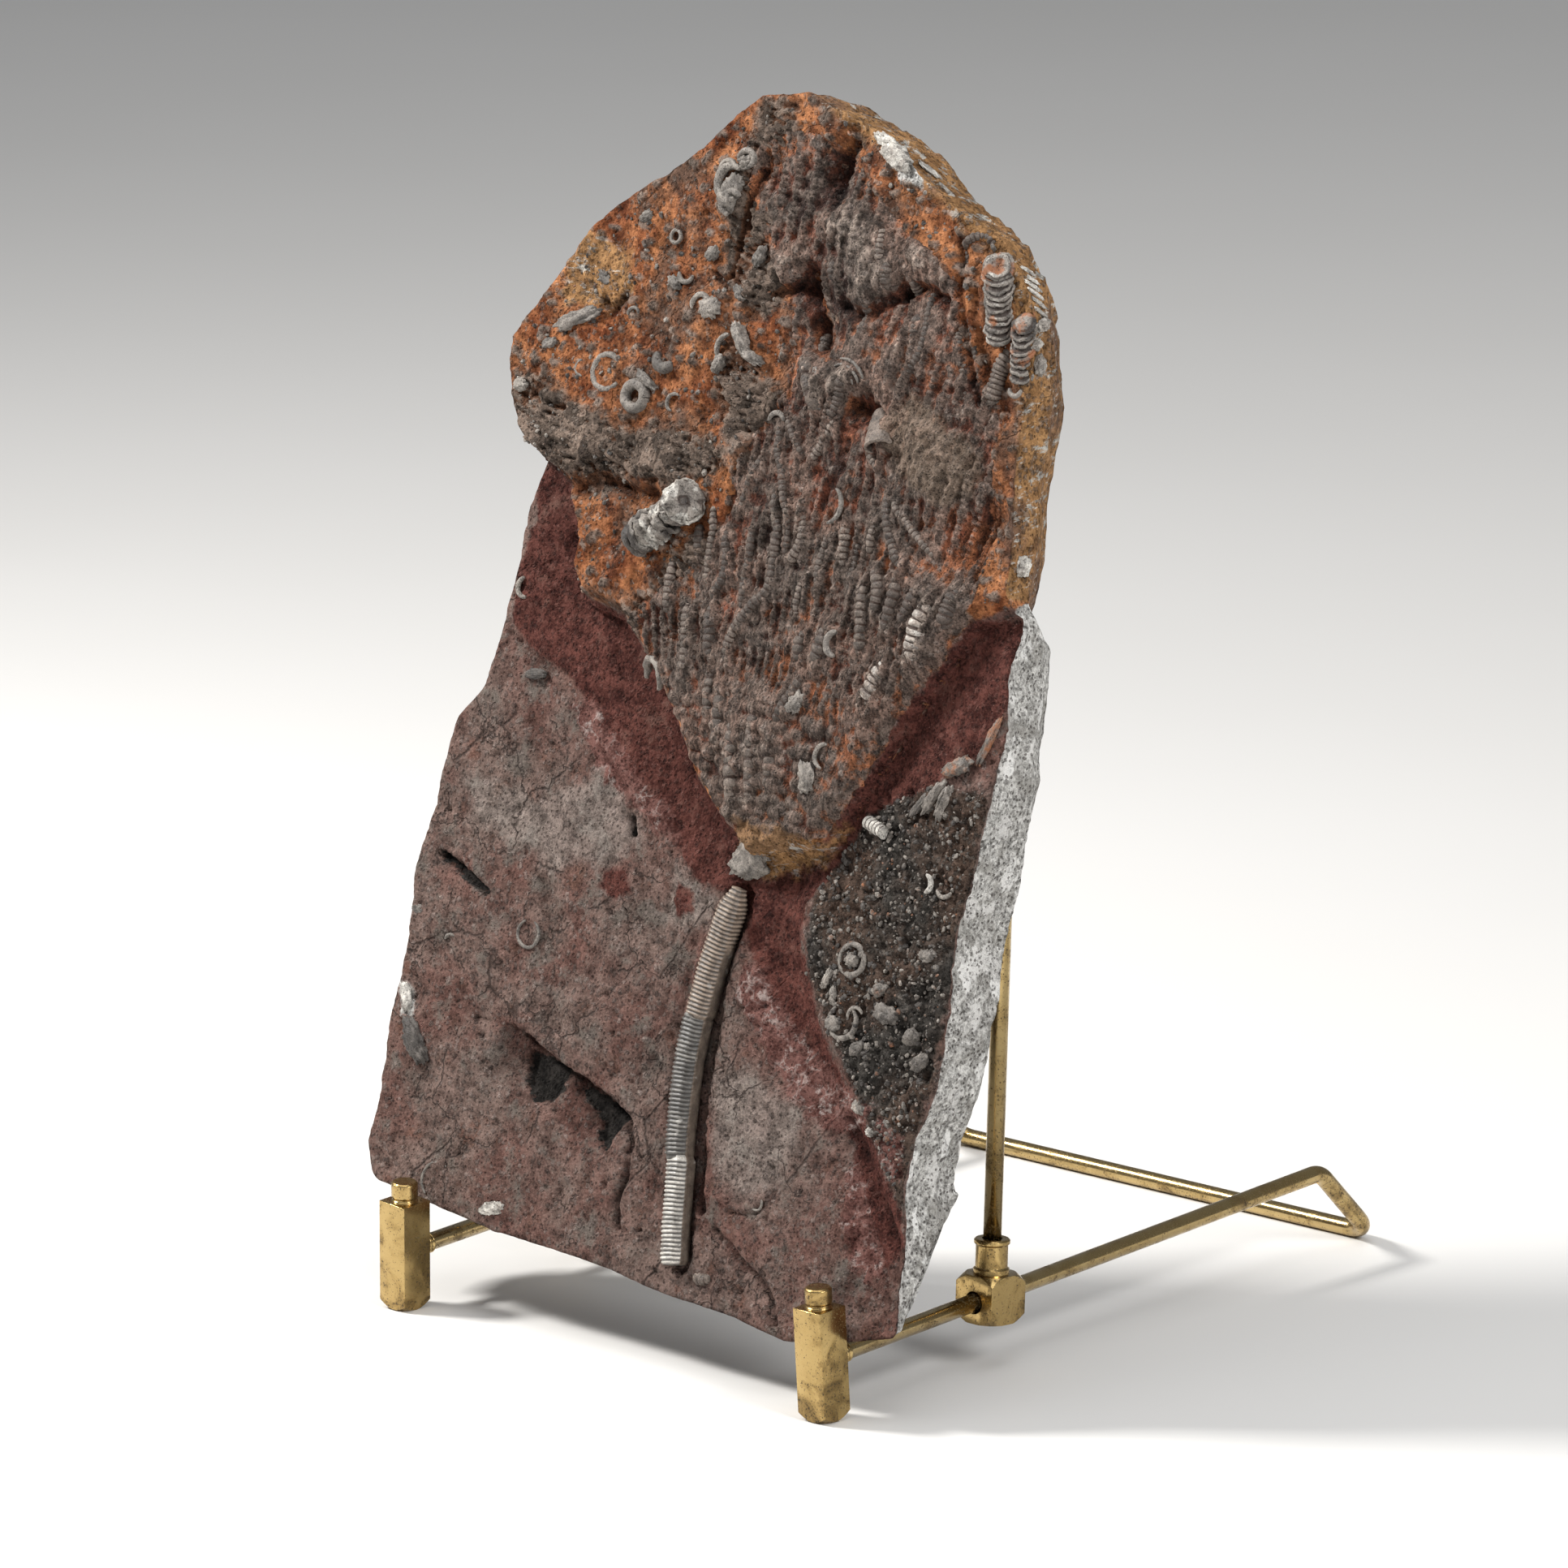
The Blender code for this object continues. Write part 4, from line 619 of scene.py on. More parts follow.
def softened(corners, step):
    """A closed outline resampled, its corners rounded by averaging five neighbours."""
    line = resampled(np.array(corners + corners[:1], float), step)[:-1]
    return sum(np.roll(line, shift, axis=0) for shift in (-2, -1, 0, 1, 2)) / 5


def unit(rows):
    """Rows of vectors brought to length 1."""
    return rows / np.linalg.norm(rows, axis=-1, keepdims=True)


def angles_round(sides):
    return 2 * np.pi * np.arange(sides) / sides


def outward(outline):
    points = np.asarray(outline, float)
    heading = np.roll(points, -1, axis=0) - np.roll(points, 1, axis=0)
    heading /= np.hypot(heading[:, 0], heading[:, 1])[:, None]
    return np.stack([heading[:, 1], -heading[:, 0]], axis=1)


def side_depths(outline):
    """How deep the slab's side runs at each outline point before it turns to the back."""
    right = np.clip(1.6 * outward(outline)[:, 0], 0.0, 1.0)
    return (1 - right) * SIDE_DEPTH + right * np.interp(outline[:, 1], *np.transpose(RIGHT_SIDE_DEPTHS))


def sunk(outline, depths, insets):
    """An outline carried into the rock: drawn towards the middle, and up along the broken foot."""
    pull = SLAB_MIDDLE - outline
    moved = outline + insets[:, None] * pull / np.hypot(pull[:, 0], pull[:, 1])[:, None]
    foot = np.interp(moved[:, 0], *np.transpose(FACE_OUTLINE[:FOOT_CORNERS]))
    lift = np.interp(moved[:, 0], *np.transpose(HEEL_SLOPES)) * depths
    above = moved[:, 1] - foot
    spread = HEEL_SPREAD * np.abs(lift) + 0.3
    raised = np.where(lift > 0, spread * np.log1p(np.exp((lift - above) / spread)), 0.0)
    dropped = np.where(lift < 0, lift * ease(1 - above / 15), 0.0)
    moved[:, 1] += raised + dropped
    return moved


def staggered(outline, step, margin, generator):
    """Slightly shaken points in staggered rows inside an outline, a margin clear of it."""
    low, high = np.min(outline, axis=0), np.max(outline, axis=0)
    rows = np.arange(low[1], high[1], step * 0.87)
    points = []
    for index, v in enumerate(rows):
        us = np.arange(low[0] + (index % 2) * step / 2, high[0], step)
        points.append(np.stack([us, np.full(len(us), v)], axis=1))
    points = np.concatenate(points)
    points += generator.uniform(-0.2, 0.2, points.shape) * step
    return points[depth_inside(points, outline) > margin]


def triangulated(outline, free):
    """Triangles inside an outline: the points, the triangles and the outline points' places."""
    points = [Vector(point) for point in np.concatenate([outline, free])]
    border = list(range(len(outline)))
    found, _, triangles, sources, _, _ = delaunay_2d_cdt(points, [], [border], 1, 1e-5)
    place = {}
    for index, source in enumerate(sources):
        for original in source:
            place[original] = index
    return np.array([tuple(p) for p in found]), np.array(triangles), np.array([place[i] for i in border])


def mesh_of(name, points, faces, attributes=None, smooth=True):
    """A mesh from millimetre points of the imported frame, with a number at each point by name."""
    mesh = bpy.data.meshes.new(name)
    mesh.from_pydata((np.asarray(points) * MM).tolist(), [], [list(map(int, face)) for face in faces])
    for key, values in (attributes or {}).items():
        layer = mesh.attributes.new(key, "FLOAT", "POINT")
        layer.data.foreach_set("value", np.ascontiguousarray(values, np.float32))
    mesh.polygons.foreach_set("use_smooth", [smooth] * len(mesh.polygons))
    mesh.update()
    return mesh


def in_scene(name, data):
    made = bpy.data.objects.new(name, data)
    bpy.context.scene.collection.objects.link(made)
    return made


def evaluated_mesh(name, holder):
    """The object's mesh after its modifiers, as plain data."""
    bpy.context.view_layer.update()
    graph = bpy.context.evaluated_depsgraph_get()
    result = bpy.data.meshes.new_from_object(holder.evaluated_get(graph), depsgraph=graph)
    result.name = name
    return result


def piece_of(name, mesh, surface, body, nodes=()):
    """Finishes a piece: its material, its body and the solids that it replaces."""
    piece = in_scene(name, mesh)
    if surface.name not in [held.name for held in mesh.materials if held]:
        mesh.materials.append(surface)
    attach(piece, body)
    if nodes:
        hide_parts(*nodes)
    return piece


class Sheets:
    """Gathers points, faces and point values of several shapes into one mesh."""

    def __init__(self):
        self.points, self.faces, self.values, self.count = [], [], {}, 0

    def add(self, points, faces, **values):
        points = np.asarray(points, float)
        self.faces += [tuple(int(index) + self.count for index in face) for face in faces]
        self.points.append(points)
        for key, value in values.items():
            self.values.setdefault(key, []).append(np.broadcast_to(value, len(points)))
        self.count += len(points)

    def mesh(self, name):
        values = {key: np.concatenate(parts) for key, parts in self.values.items()}
        return mesh_of(name, np.concatenate(self.points), self.faces, values)


def tube_faces(rings, sides, start=0):
    """Faces of a tube of rings, with both ends closed."""
    faces = []
    for ring in range(rings - 1):
        for side in range(sides):
            after = (side + 1) % sides
            low, high = start + ring * sides, start + (ring + 1) * sides
            faces.append((low + side, low + after, high + after, high + side))
    faces.append(tuple(start + side for side in reversed(range(sides))))
    faces.append(tuple(start + (rings - 1) * sides + side for side in range(sides)))
    return faces


def tube_points(path, radii, sides, up, shape=None):
    """Rings of points about a 3-D path, anticlockwise as seen from its far end."""
    path = np.asarray(path, float)
    along = np.gradient(path, axis=0)
    along = unit(along)
    first = np.cross(along, up)
    first = unit(first)
    second = np.cross(along, first)
    angles = angles_round(sides)
    radii = np.asarray(radii, float)
    reach = radii[:, None] * (np.ones(sides) if shape is None else shape)
    ring = first[:, None] * np.cos(angles)[None, :, None] + second[:, None] * np.sin(angles)[None, :, None]
    return (path[:, None] + reach[:, :, None] * ring).reshape(-1, 3)


# Materials


class Nodes:
    """Adds nodes to a tree; each input is another node's socket or a plain value."""

    def __init__(self, tree):
        self.tree = tree

    def make(self, kind, inputs, **settings):
        node = self.tree.nodes.new(kind)
        for name, value in settings.items():
            setattr(node, name, value)
        for key, value in inputs.items():
            if isinstance(value, bpy.types.NodeSocket):
                self.tree.links.new(value, node.inputs[key])
            else:
                node.inputs[key].default_value = value
        return node

    def add(self, kind, inputs, output=0, **settings):
        return self.make(kind, inputs, **settings).outputs[output]

    def math(self, operation, first, second=0.0, third=0.0, clamp=False):
        inputs = {0: first, 1: second, 2: third}
        return self.add("ShaderNodeMath", inputs, operation=operation, use_clamp=clamp)

    def between(self, value, low, high, to_low=0.0, to_high=1.0):
        """A smooth step from to_low to to_high as the value goes from low to high."""
        inputs = {0: value, 1: low, 2: high, 3: to_low, 4: to_high}
        return self.add("ShaderNodeMapRange", inputs, interpolation_type="SMOOTHSTEP")

    def mix(self, share, first, second, blend="MIX"):
        colors = [value if isinstance(value, bpy.types.NodeSocket) else (*value, 1.0) for value in (first, second)]
        inputs = {0: share, 6: colors[0], 7: colors[1]}
        return self.add("ShaderNodeMix", inputs, 2, data_type="RGBA", blend_type=blend)

    def noise(self, vector, size, detail=4.0, rough=0.55, distort=0.0):
        """Noise from 0 to 1 with its largest features about a size in millimetres."""
        scale = size if isinstance(size, bpy.types.NodeSocket) else 1.0 / (size * MM)
        inputs = {"Vector": vector, "Scale": scale, "Detail": detail, "Roughness": rough, "Distortion": distort}
        return self.add("ShaderNodeTexNoise", inputs)

    def chips(self, vector, size, feature="F1", output="Distance"):
        scale = size if isinstance(size, bpy.types.NodeSocket) else 1.0 / (size * MM)
        return self.add("ShaderNodeTexVoronoi", {"Vector": vector, "Scale": scale}, output, feature=feature)

    def attribute(self, name):
        return self.add("ShaderNodeAttribute", {}, "Fac", attribute_name=name)

    def place(self):
        return self.add("ShaderNodeTexCoord", {}, "Object")

    def group(self, tree, inputs, output=0):
        outputs = self.make("ShaderNodeGroup", inputs, node_tree=tree).outputs
        return outputs if output is None else outputs[output]

    def times(self, first, second):
        return self.math("MULTIPLY", first, second)

    def plus(self, first, second):
        return self.math("ADD", first, second)

    def minus(self, first, second):
        return self.math("SUBTRACT", first, second)

    def shaken(self, value, noise, amount):
        """A value moved up and down by noise that runs from 0 to 1."""
        return self.plus(value, self.times(self.minus(noise, 0.5), amount))

    def part(self, mask, strength, first, second):
        """The second colour over the first, as far as a mask and a strength allow."""
        return self.mix(self.times(mask, strength), first, second)

    def grained(self, place, size, pit_depth):
        return self.group(GRAIN, {"Place": place, "Size": size, "Pit depth": pit_depth}, None)

    def chipped(self, place, size, share):
        return self.group(FLAKES, {"Place": place, "Size": size, "Share": share}, None)


def shader_group(name, numbers, outputs, build):
    """A shared effect of a place and some numbers: build returns its output sockets, all numbers."""
    tree = bpy.data.node_groups.new(name, "ShaderNodeTree")
    tree.interface.new_socket("Place", in_out="INPUT", socket_type="NodeSocketVector")
    for label, value in numbers.items():
        tree.interface.new_socket(label, in_out="INPUT", socket_type="NodeSocketFloat").default_value = value
    for label in outputs:
        tree.interface.new_socket(label, in_out="OUTPUT", socket_type="NodeSocketFloat")
    start = tree.nodes.new("NodeGroupInput")
    end = tree.nodes.new("NodeGroupOutput")
    made = build(Nodes(tree), {socket.name: socket for socket in start.outputs})
    for label, socket in made.items():
        tree.links.new(socket, end.inputs[label])
    return tree


def per_metre(nodes, size):
    """A texture scale from a size in millimetres."""
    return nodes.math("DIVIDE", 1.0 / MM, size)


def build_ragged(nodes, given):
    noise = nodes.noise(given["Place"], per_metre(nodes, given["Size"]), 6.0, 0.62)
    shift = nodes.times(nodes.minus(noise, 0.5), given["Reach"])
    depth = nodes.plus(given["Depth"], shift)
    low = nodes.times(given["Softness"], -1.0)
    return {"Mask": nodes.between(depth, low, given["Softness"])}


def build_grain(nodes, given):
    """Mineral grain: coarse and fine tint, pits that the materials darken as painted shade, pale flecks and their
    height.
    """
    size = given["Size"]
    coarse = nodes.noise(given["Place"], per_metre(nodes, size), 5.0, 0.6)
    fine = nodes.noise(given["Place"], per_metre(nodes, nodes.times(size, 0.16)), 5.0, 0.65)
    cells = nodes.chips(given["Place"], per_metre(nodes, nodes.times(size, 0.3)))
    pits = nodes.between(nodes.plus(cells, nodes.times(fine, -0.45)), 0.1, -0.06)
    flecks = nodes.between(fine, 0.64, 0.74)
    tint = nodes.plus(nodes.times(coarse, 0.55), nodes.times(fine, 0.45))
    height = nodes.minus(tint, nodes.times(pits, given["Pit depth"]))
    return {"Tint": nodes.between(tint, 0.34, 0.66), "Pits": pits, "Flecks": flecks, "Height": height}


def build_flakes(nodes, given):
    """Broken chips in a matrix: 1 inside a chip, a tone for each chip and how far it stands up."""
    scale = per_metre(nodes, given["Size"])
    twice = nodes.times(scale, 2.6)
    bend = nodes.add("ShaderNodeTexNoise", {"Vector": given["Place"], "Scale": twice, "Detail": 3.0}, "Color")
    bend = nodes.add("ShaderNodeVectorMath", {0: bend, 1: (0.5, 0.5, 0.5)}, operation="SUBTRACT")
    reach = nodes.times(given["Size"], 0.9 * MM)
    bend = nodes.add("ShaderNodeVectorMath", {0: bend, 3: reach}, operation="SCALE")
    moved = nodes.add("ShaderNodeVectorMath", {0: given["Place"], 1: bend}, operation="ADD")
    away = nodes.chips(moved, scale)
    parts = nodes.add("ShaderNodeSeparateColor", {0: away.node.outputs["Color"]})
    chosen = nodes.math("LESS_THAN", parts, given["Share"])
    mask = nodes.times(chosen, nodes.between(away, 0.5, 0.4))
    height = nodes.times(mask, nodes.minus(0.8, away))
    return {"Mask": mask, "Tone": parts.node.outputs[1], "Height": height}


def build_veins(nodes, given):
    """Thin branching lines, 1 on a line."""
    bend = nodes.noise(given["Place"], per_metre(nodes, nodes.times(given["Size"], 0.5)), 4.0, 0.6)
    lift = nodes.add("ShaderNodeVectorMath", {0: given["Place"], 3: 1.0}, operation="SCALE")
    shift = nodes.times(nodes.times(bend, given["Size"]), MM * 0.8)
    moved = nodes.add("ShaderNodeVectorMath", {0: lift, 1: shift}, operation="ADD")
    edge = nodes.chips(moved, per_metre(nodes, given["Size"]), "DISTANCE_TO_EDGE")
    return {"Veins": nodes.between(edge, given["Width"], 0.0)}


def build_tarnish(nodes, given):
    """Tarnish on brass: cloudy patches, dark speckle and fine scratches."""
    cloud = nodes.noise(given["Place"], per_metre(nodes, given["Size"]), 6.0, 0.62, 0.8)
    dots = nodes.noise(given["Place"], per_metre(nodes, nodes.times(given["Size"], 0.07)), 3.0, 0.7)
    patches = nodes.between(cloud, nodes.minus(0.66, given["Amount"]), 0.72)
    speckle = nodes.between(nodes.plus(dots, nodes.times(cloud, 0.35)), 0.74, 0.84)
    stretch = nodes.add("ShaderNodeMapping", {"Vector": given["Place"], "Scale": (1.0, 1.0, 0.06)})
    scratch = nodes.noise(stretch, per_metre(nodes, nodes.times(given["Size"], 0.03)), 2.0, 0.5)
    height = nodes.minus(nodes.times(scratch, 0.35), nodes.times(speckle, 0.5))
    return {"Patches": patches, "Speckle": speckle, "Height": height, "Cloud": cloud}


RAGGED = shader_group(
    "ragged_edge", {"Depth": 0.0, "Size": 6.0, "Reach": 6.0, "Softness": 0.6}, ["Mask"], build_ragged
)
GRAIN = shader_group(
    "mineral_grain", {"Size": 4.0, "Pit depth": 0.4}, ["Tint", "Pits", "Flecks", "Height"], build_grain
)
FLAKES = shader_group("broken_chips", {"Size": 3.0, "Share": 0.4}, ["Mask", "Tone", "Height"], build_flakes)
VEINS = shader_group("branching_veins", {"Size": 8.0, "Width": 0.03}, ["Veins"], build_veins)
TARNISH = shader_group(
    "brass_tarnish", {"Size": 9.0, "Amount": 0.12}, ["Patches", "Speckle", "Height", "Cloud"], build_tarnish
)


def new_material(name):
    made = bpy.data.materials.new(name)
    made.use_nodes = True
    made.node_tree.nodes.clear()
    return made, Nodes(made.node_tree)


def close_material(nodes, color, roughness, height, strength, distance, metallic=0.0, specular=0.4):
    """Ends a material in a Principled shader with a bump."""
    bump = nodes.add("ShaderNodeBump", {"Height": height, "Strength": strength, "Distance": distance * MM}, "Normal")
    inputs = {"Base Color": color, "Normal": bump, "Specular IOR Level": specular, "Roughness": roughness,
              "Metallic": metallic}
    shader = nodes.add("ShaderNodeBsdfPrincipled", inputs)
    nodes.make("ShaderNodeOutputMaterial", {"Surface": shader})


def zone(nodes, place, name, size, reach, softness):
    inputs = {"Place": place, "Depth": nodes.attribute(name), "Size": size, "Reach": reach, "Softness": softness}
    return nodes.group(RAGGED, inputs)


def shaded(nodes, color, tint, low, high):
    """A colour darkened and lightened by a value from 0 to 1."""
    return nodes.mix(1.0, color, nodes.mix(tint, (low,) * 3, (high,) * 3), "MULTIPLY")


def rock_material():
    """The slab's rock, coloured by zone: mauve, maroon, rust, ochre, dark rubble and white, with painted shade in its
    sunken relief, pits, cracks and near-black patches.
    """
    made, nodes = new_material("limestone_rock")
    place = nodes.place()
    grain = nodes.grained(place, 4.5, 0.5)
    coarse = nodes.chipped(place, 4.2, 0.5)
    small = nodes.chipped(place, 1.7, 0.45)
    clouds = nodes.noise(place, 26.0, 6.0, 0.6, 0.4)
    blotches = nodes.noise(place, 9.0, 6.0, 0.65)
    relief = nodes.attribute("relief")
    mauve = nodes.mix(nodes.between(clouds, 0.36, 0.62), (0.155, 0.078, 0.063), (0.185, 0.125, 0.105))
    mauve = nodes.mix(nodes.between(blotches, 0.5, 0.66), mauve, (0.118, 0.096, 0.082))
    mauve = nodes.mix(nodes.between(blotches, 0.42, 0.3), mauve, (0.25, 0.132, 0.1))
    grey = zone(nodes, place, "grey", 12.0, 14.0, 3.0)
    mauve = nodes.part(grey, 0.6, mauve, (0.27, 0.232, 0.205))
    chip = nodes.mix(small["Tone"], (0.06, 0.046, 0.042), (0.34, 0.27, 0.24))
    mauve = nodes.part(small["Mask"], 0.5, mauve, chip)
    mauve = shaded(nodes, mauve, grain["Tint"], 0.4, 1.5)
    # Crack lines cut into the bump and darkened as painted shade
    shaded_cracks = nodes.group(VEINS, {"Place": place, "Size": 26.0, "Width": 0.022})
    shaded_cracks = nodes.times(shaded_cracks, nodes.between(clouds, 0.46, 0.54))
    mauve = nodes.part(shaded_cracks, 0.8, mauve, (0.05, 0.035, 0.03))
    mauve = nodes.part(grain["Flecks"], 0.5, mauve, (0.42, 0.35, 0.31))

    maroon = nodes.mix(grain["Tint"], (0.024, 0.006, 0.005), (0.17, 0.057, 0.043))
    maroon = nodes.mix(nodes.between(blotches, 0.56, 0.72), maroon, (0.16, 0.08, 0.062))
    specks = nodes.mix(small["Tone"], (0.02, 0.008, 0.007), (0.24, 0.105, 0.085))
    maroon = nodes.part(small["Mask"], 0.5, maroon, specks)
    maroon = nodes.part(grain["Flecks"], 0.65, maroon, (0.38, 0.24, 0.21))
    pink = nodes.mix(grain["Tint"], (0.06, 0.02, 0.016), (0.26, 0.125, 0.105))
    pale = nodes.between(nodes.noise(place, 5.0, 5.0, 0.68), 0.56, 0.66)
    pink = nodes.part(pale, 0.75, pink, (0.46, 0.38, 0.35))
    veins = nodes.group(VEINS, {"Place": place, "Size": 6.0, "Width": 0.07})
    veins = nodes.times(veins, nodes.between(blotches, 0.45, 0.62))
    pink = nodes.part(veins, 0.7, pink, (0.44, 0.36, 0.33))

    orange = nodes.mix(nodes.between(blotches, 0.3, 0.7), (0.19, 0.05, 0.017), (0.43, 0.18, 0.076))
    orange = nodes.mix(nodes.between(clouds, 0.5, 0.66), orange, (0.14, 0.08, 0.055))
    debris = nodes.mix(coarse["Tone"], (0.09, 0.066, 0.052), (0.28, 0.22, 0.182))
    finer = nodes.mix(small["Tone"], (0.05, 0.036, 0.03), (0.38, 0.31, 0.26))
    patch = nodes.noise(place, 3.4, 6.0, 0.62)
    high = nodes.shaken(relief, patch, 3.4)
    rust = nodes.part(nodes.between(high, 0.9, 1.9), 0.6, orange, debris)
    rust = nodes.part(small["Mask"], 0.45, rust, finer)
    rust = nodes.part(nodes.attribute("flake"), 0.9, rust, debris)
    rust = shaded(nodes, rust, grain["Tint"], 0.34, 1.5)
    slate = nodes.mix(coarse["Tone"], (0.06, 0.044, 0.034), (0.27, 0.2, 0.158))
    slate = nodes.part(small["Mask"], 0.5, slate, finer)
    slate = nodes.mix(nodes.between(high, 0.0, -0.9), slate, nodes.mix(patch, (0.1, 0.05, 0.03), (0.24, 0.11, 0.06)))
    slate = shaded(nodes, slate, grain["Tint"], 0.42, 1.45)
    rust = nodes.mix(zone(nodes, place, "slate", 6.0, 12.0, 2.0), rust, slate)
    ochre = nodes.mix(blotches, (0.24, 0.105, 0.038), (0.46, 0.27, 0.12))
    ochre = nodes.mix(nodes.between(clouds, 0.52, 0.66), ochre, (0.2, 0.11, 0.065))
    ochre = nodes.part(small["Mask"], 0.5, ochre, finer)
    streak = nodes.add("ShaderNodeMapping", {"Vector": place, "Scale": (0.5, 0.5, 1.6)})
    ochre = nodes.mix(nodes.between(nodes.noise(streak, 4.0, 5.0, 0.7), 0.55, 0.63), ochre, (0.5, 0.47, 0.42))
    ochre = shaded(nodes, ochre, grain["Tint"], 0.42, 1.4)
    rubble = nodes.mix(nodes.between(clouds, 0.4, 0.62), (0.045, 0.04, 0.035), (0.09, 0.058, 0.043))
    finer = nodes.mix(small["Tone"], (0.014, 0.012, 0.01), (0.17, 0.145, 0.125))
    rubble = nodes.part(small["Mask"], 0.7, rubble, finer)
    rubble = shaded(nodes, rubble, grain["Tint"], 0.3, 1.6)
    rubble = nodes.part(grain["Flecks"], 0.6, rubble, (0.34, 0.3, 0.27))
    # Near-black colour of the sunken patches: dark rock with painted shade
    scar = nodes.mix(grain["Tint"], (0.01, 0.0095, 0.009), (0.07, 0.064, 0.058))

    tall = nodes.add("ShaderNodeMapping", {"Vector": place, "Scale": (1.0, 1.0, 0.6)})
    clasts = nodes.chipped(tall, 5.6, 0.6)
    speckle = nodes.between(nodes.noise(place, 1.5, 5.0, 0.75), 0.3, 0.7)
    crystal = nodes.mix(speckle, (0.15, 0.142, 0.13), (0.84, 0.82, 0.78))
    crystal = nodes.part(nodes.between(blotches, 0.48, 0.62), 0.6, crystal, (0.26, 0.245, 0.22))
    whole = nodes.mix(clasts["Tone"], (0.68, 0.66, 0.63), (0.94, 0.925, 0.89))
    crystal = nodes.part(clasts["Mask"], 0.85, crystal, whole)
    # Painted shade in the grain's pits
    crystal = nodes.part(grain["Pits"], 0.35, crystal, (0.1, 0.09, 0.08))
    rear = nodes.mix(nodes.between(clouds, 0.4, 0.62), (0.14, 0.105, 0.088), (0.28, 0.235, 0.2))
    rear = nodes.part(small["Mask"], 0.5, rear, chip)
    rear = shaded(nodes, rear, grain["Tint"], 0.45, 1.45)

    color = mauve
    for name, size, reach, softness, layer in (
        ("grain_bed", 4.0, 9.0, 1.6, rubble), ("maroon", 3.2, 5.0, 0.9, maroon), ("crust", 3.0, 9.0, 1.2, pink),
        ("bed", 3.0, 3.0, 0.6, rust), ("ochre", 5.0, 10.0, 2.2, ochre), ("white", 2.6, 5.0, 0.8, crystal),
        ("scar", 2.6, 4.5, 0.3, scar), ("rear", 5.0, 4.0, 1.0, rear),
    ):
        color = nodes.mix(zone(nodes, place, name, size, reach, softness), color, layer)
    # Painted shade: every colour darkens where the relief sinks
    dark = nodes.times(nodes.between(relief, -0.2, -1.9), 0.72)
    color = nodes.mix(dark, color, nodes.mix(1.0, color, (0.26, 0.21, 0.19), "MULTIPLY"))
    # Painted shade in the grain's pits
    painted_pit_shade = nodes.mix(1.0, color, (0.3, 0.26, 0.25), "MULTIPLY")
    color = nodes.part(grain["Pits"], 0.6, color, painted_pit_shade)
    height = nodes.plus(grain["Height"], nodes.times(small["Height"], 0.7))
    height = nodes.plus(height, nodes.times(clasts["Height"], 0.3))
    roughness = nodes.between(grain["Tint"], 0.0, 1.0, 0.95, 0.66)
    height = nodes.minus(height, nodes.times(shaded_cracks, 0.4))
    close_material(nodes, color, roughness, height, 1.0, 2.0, specular=0.14)
    return made


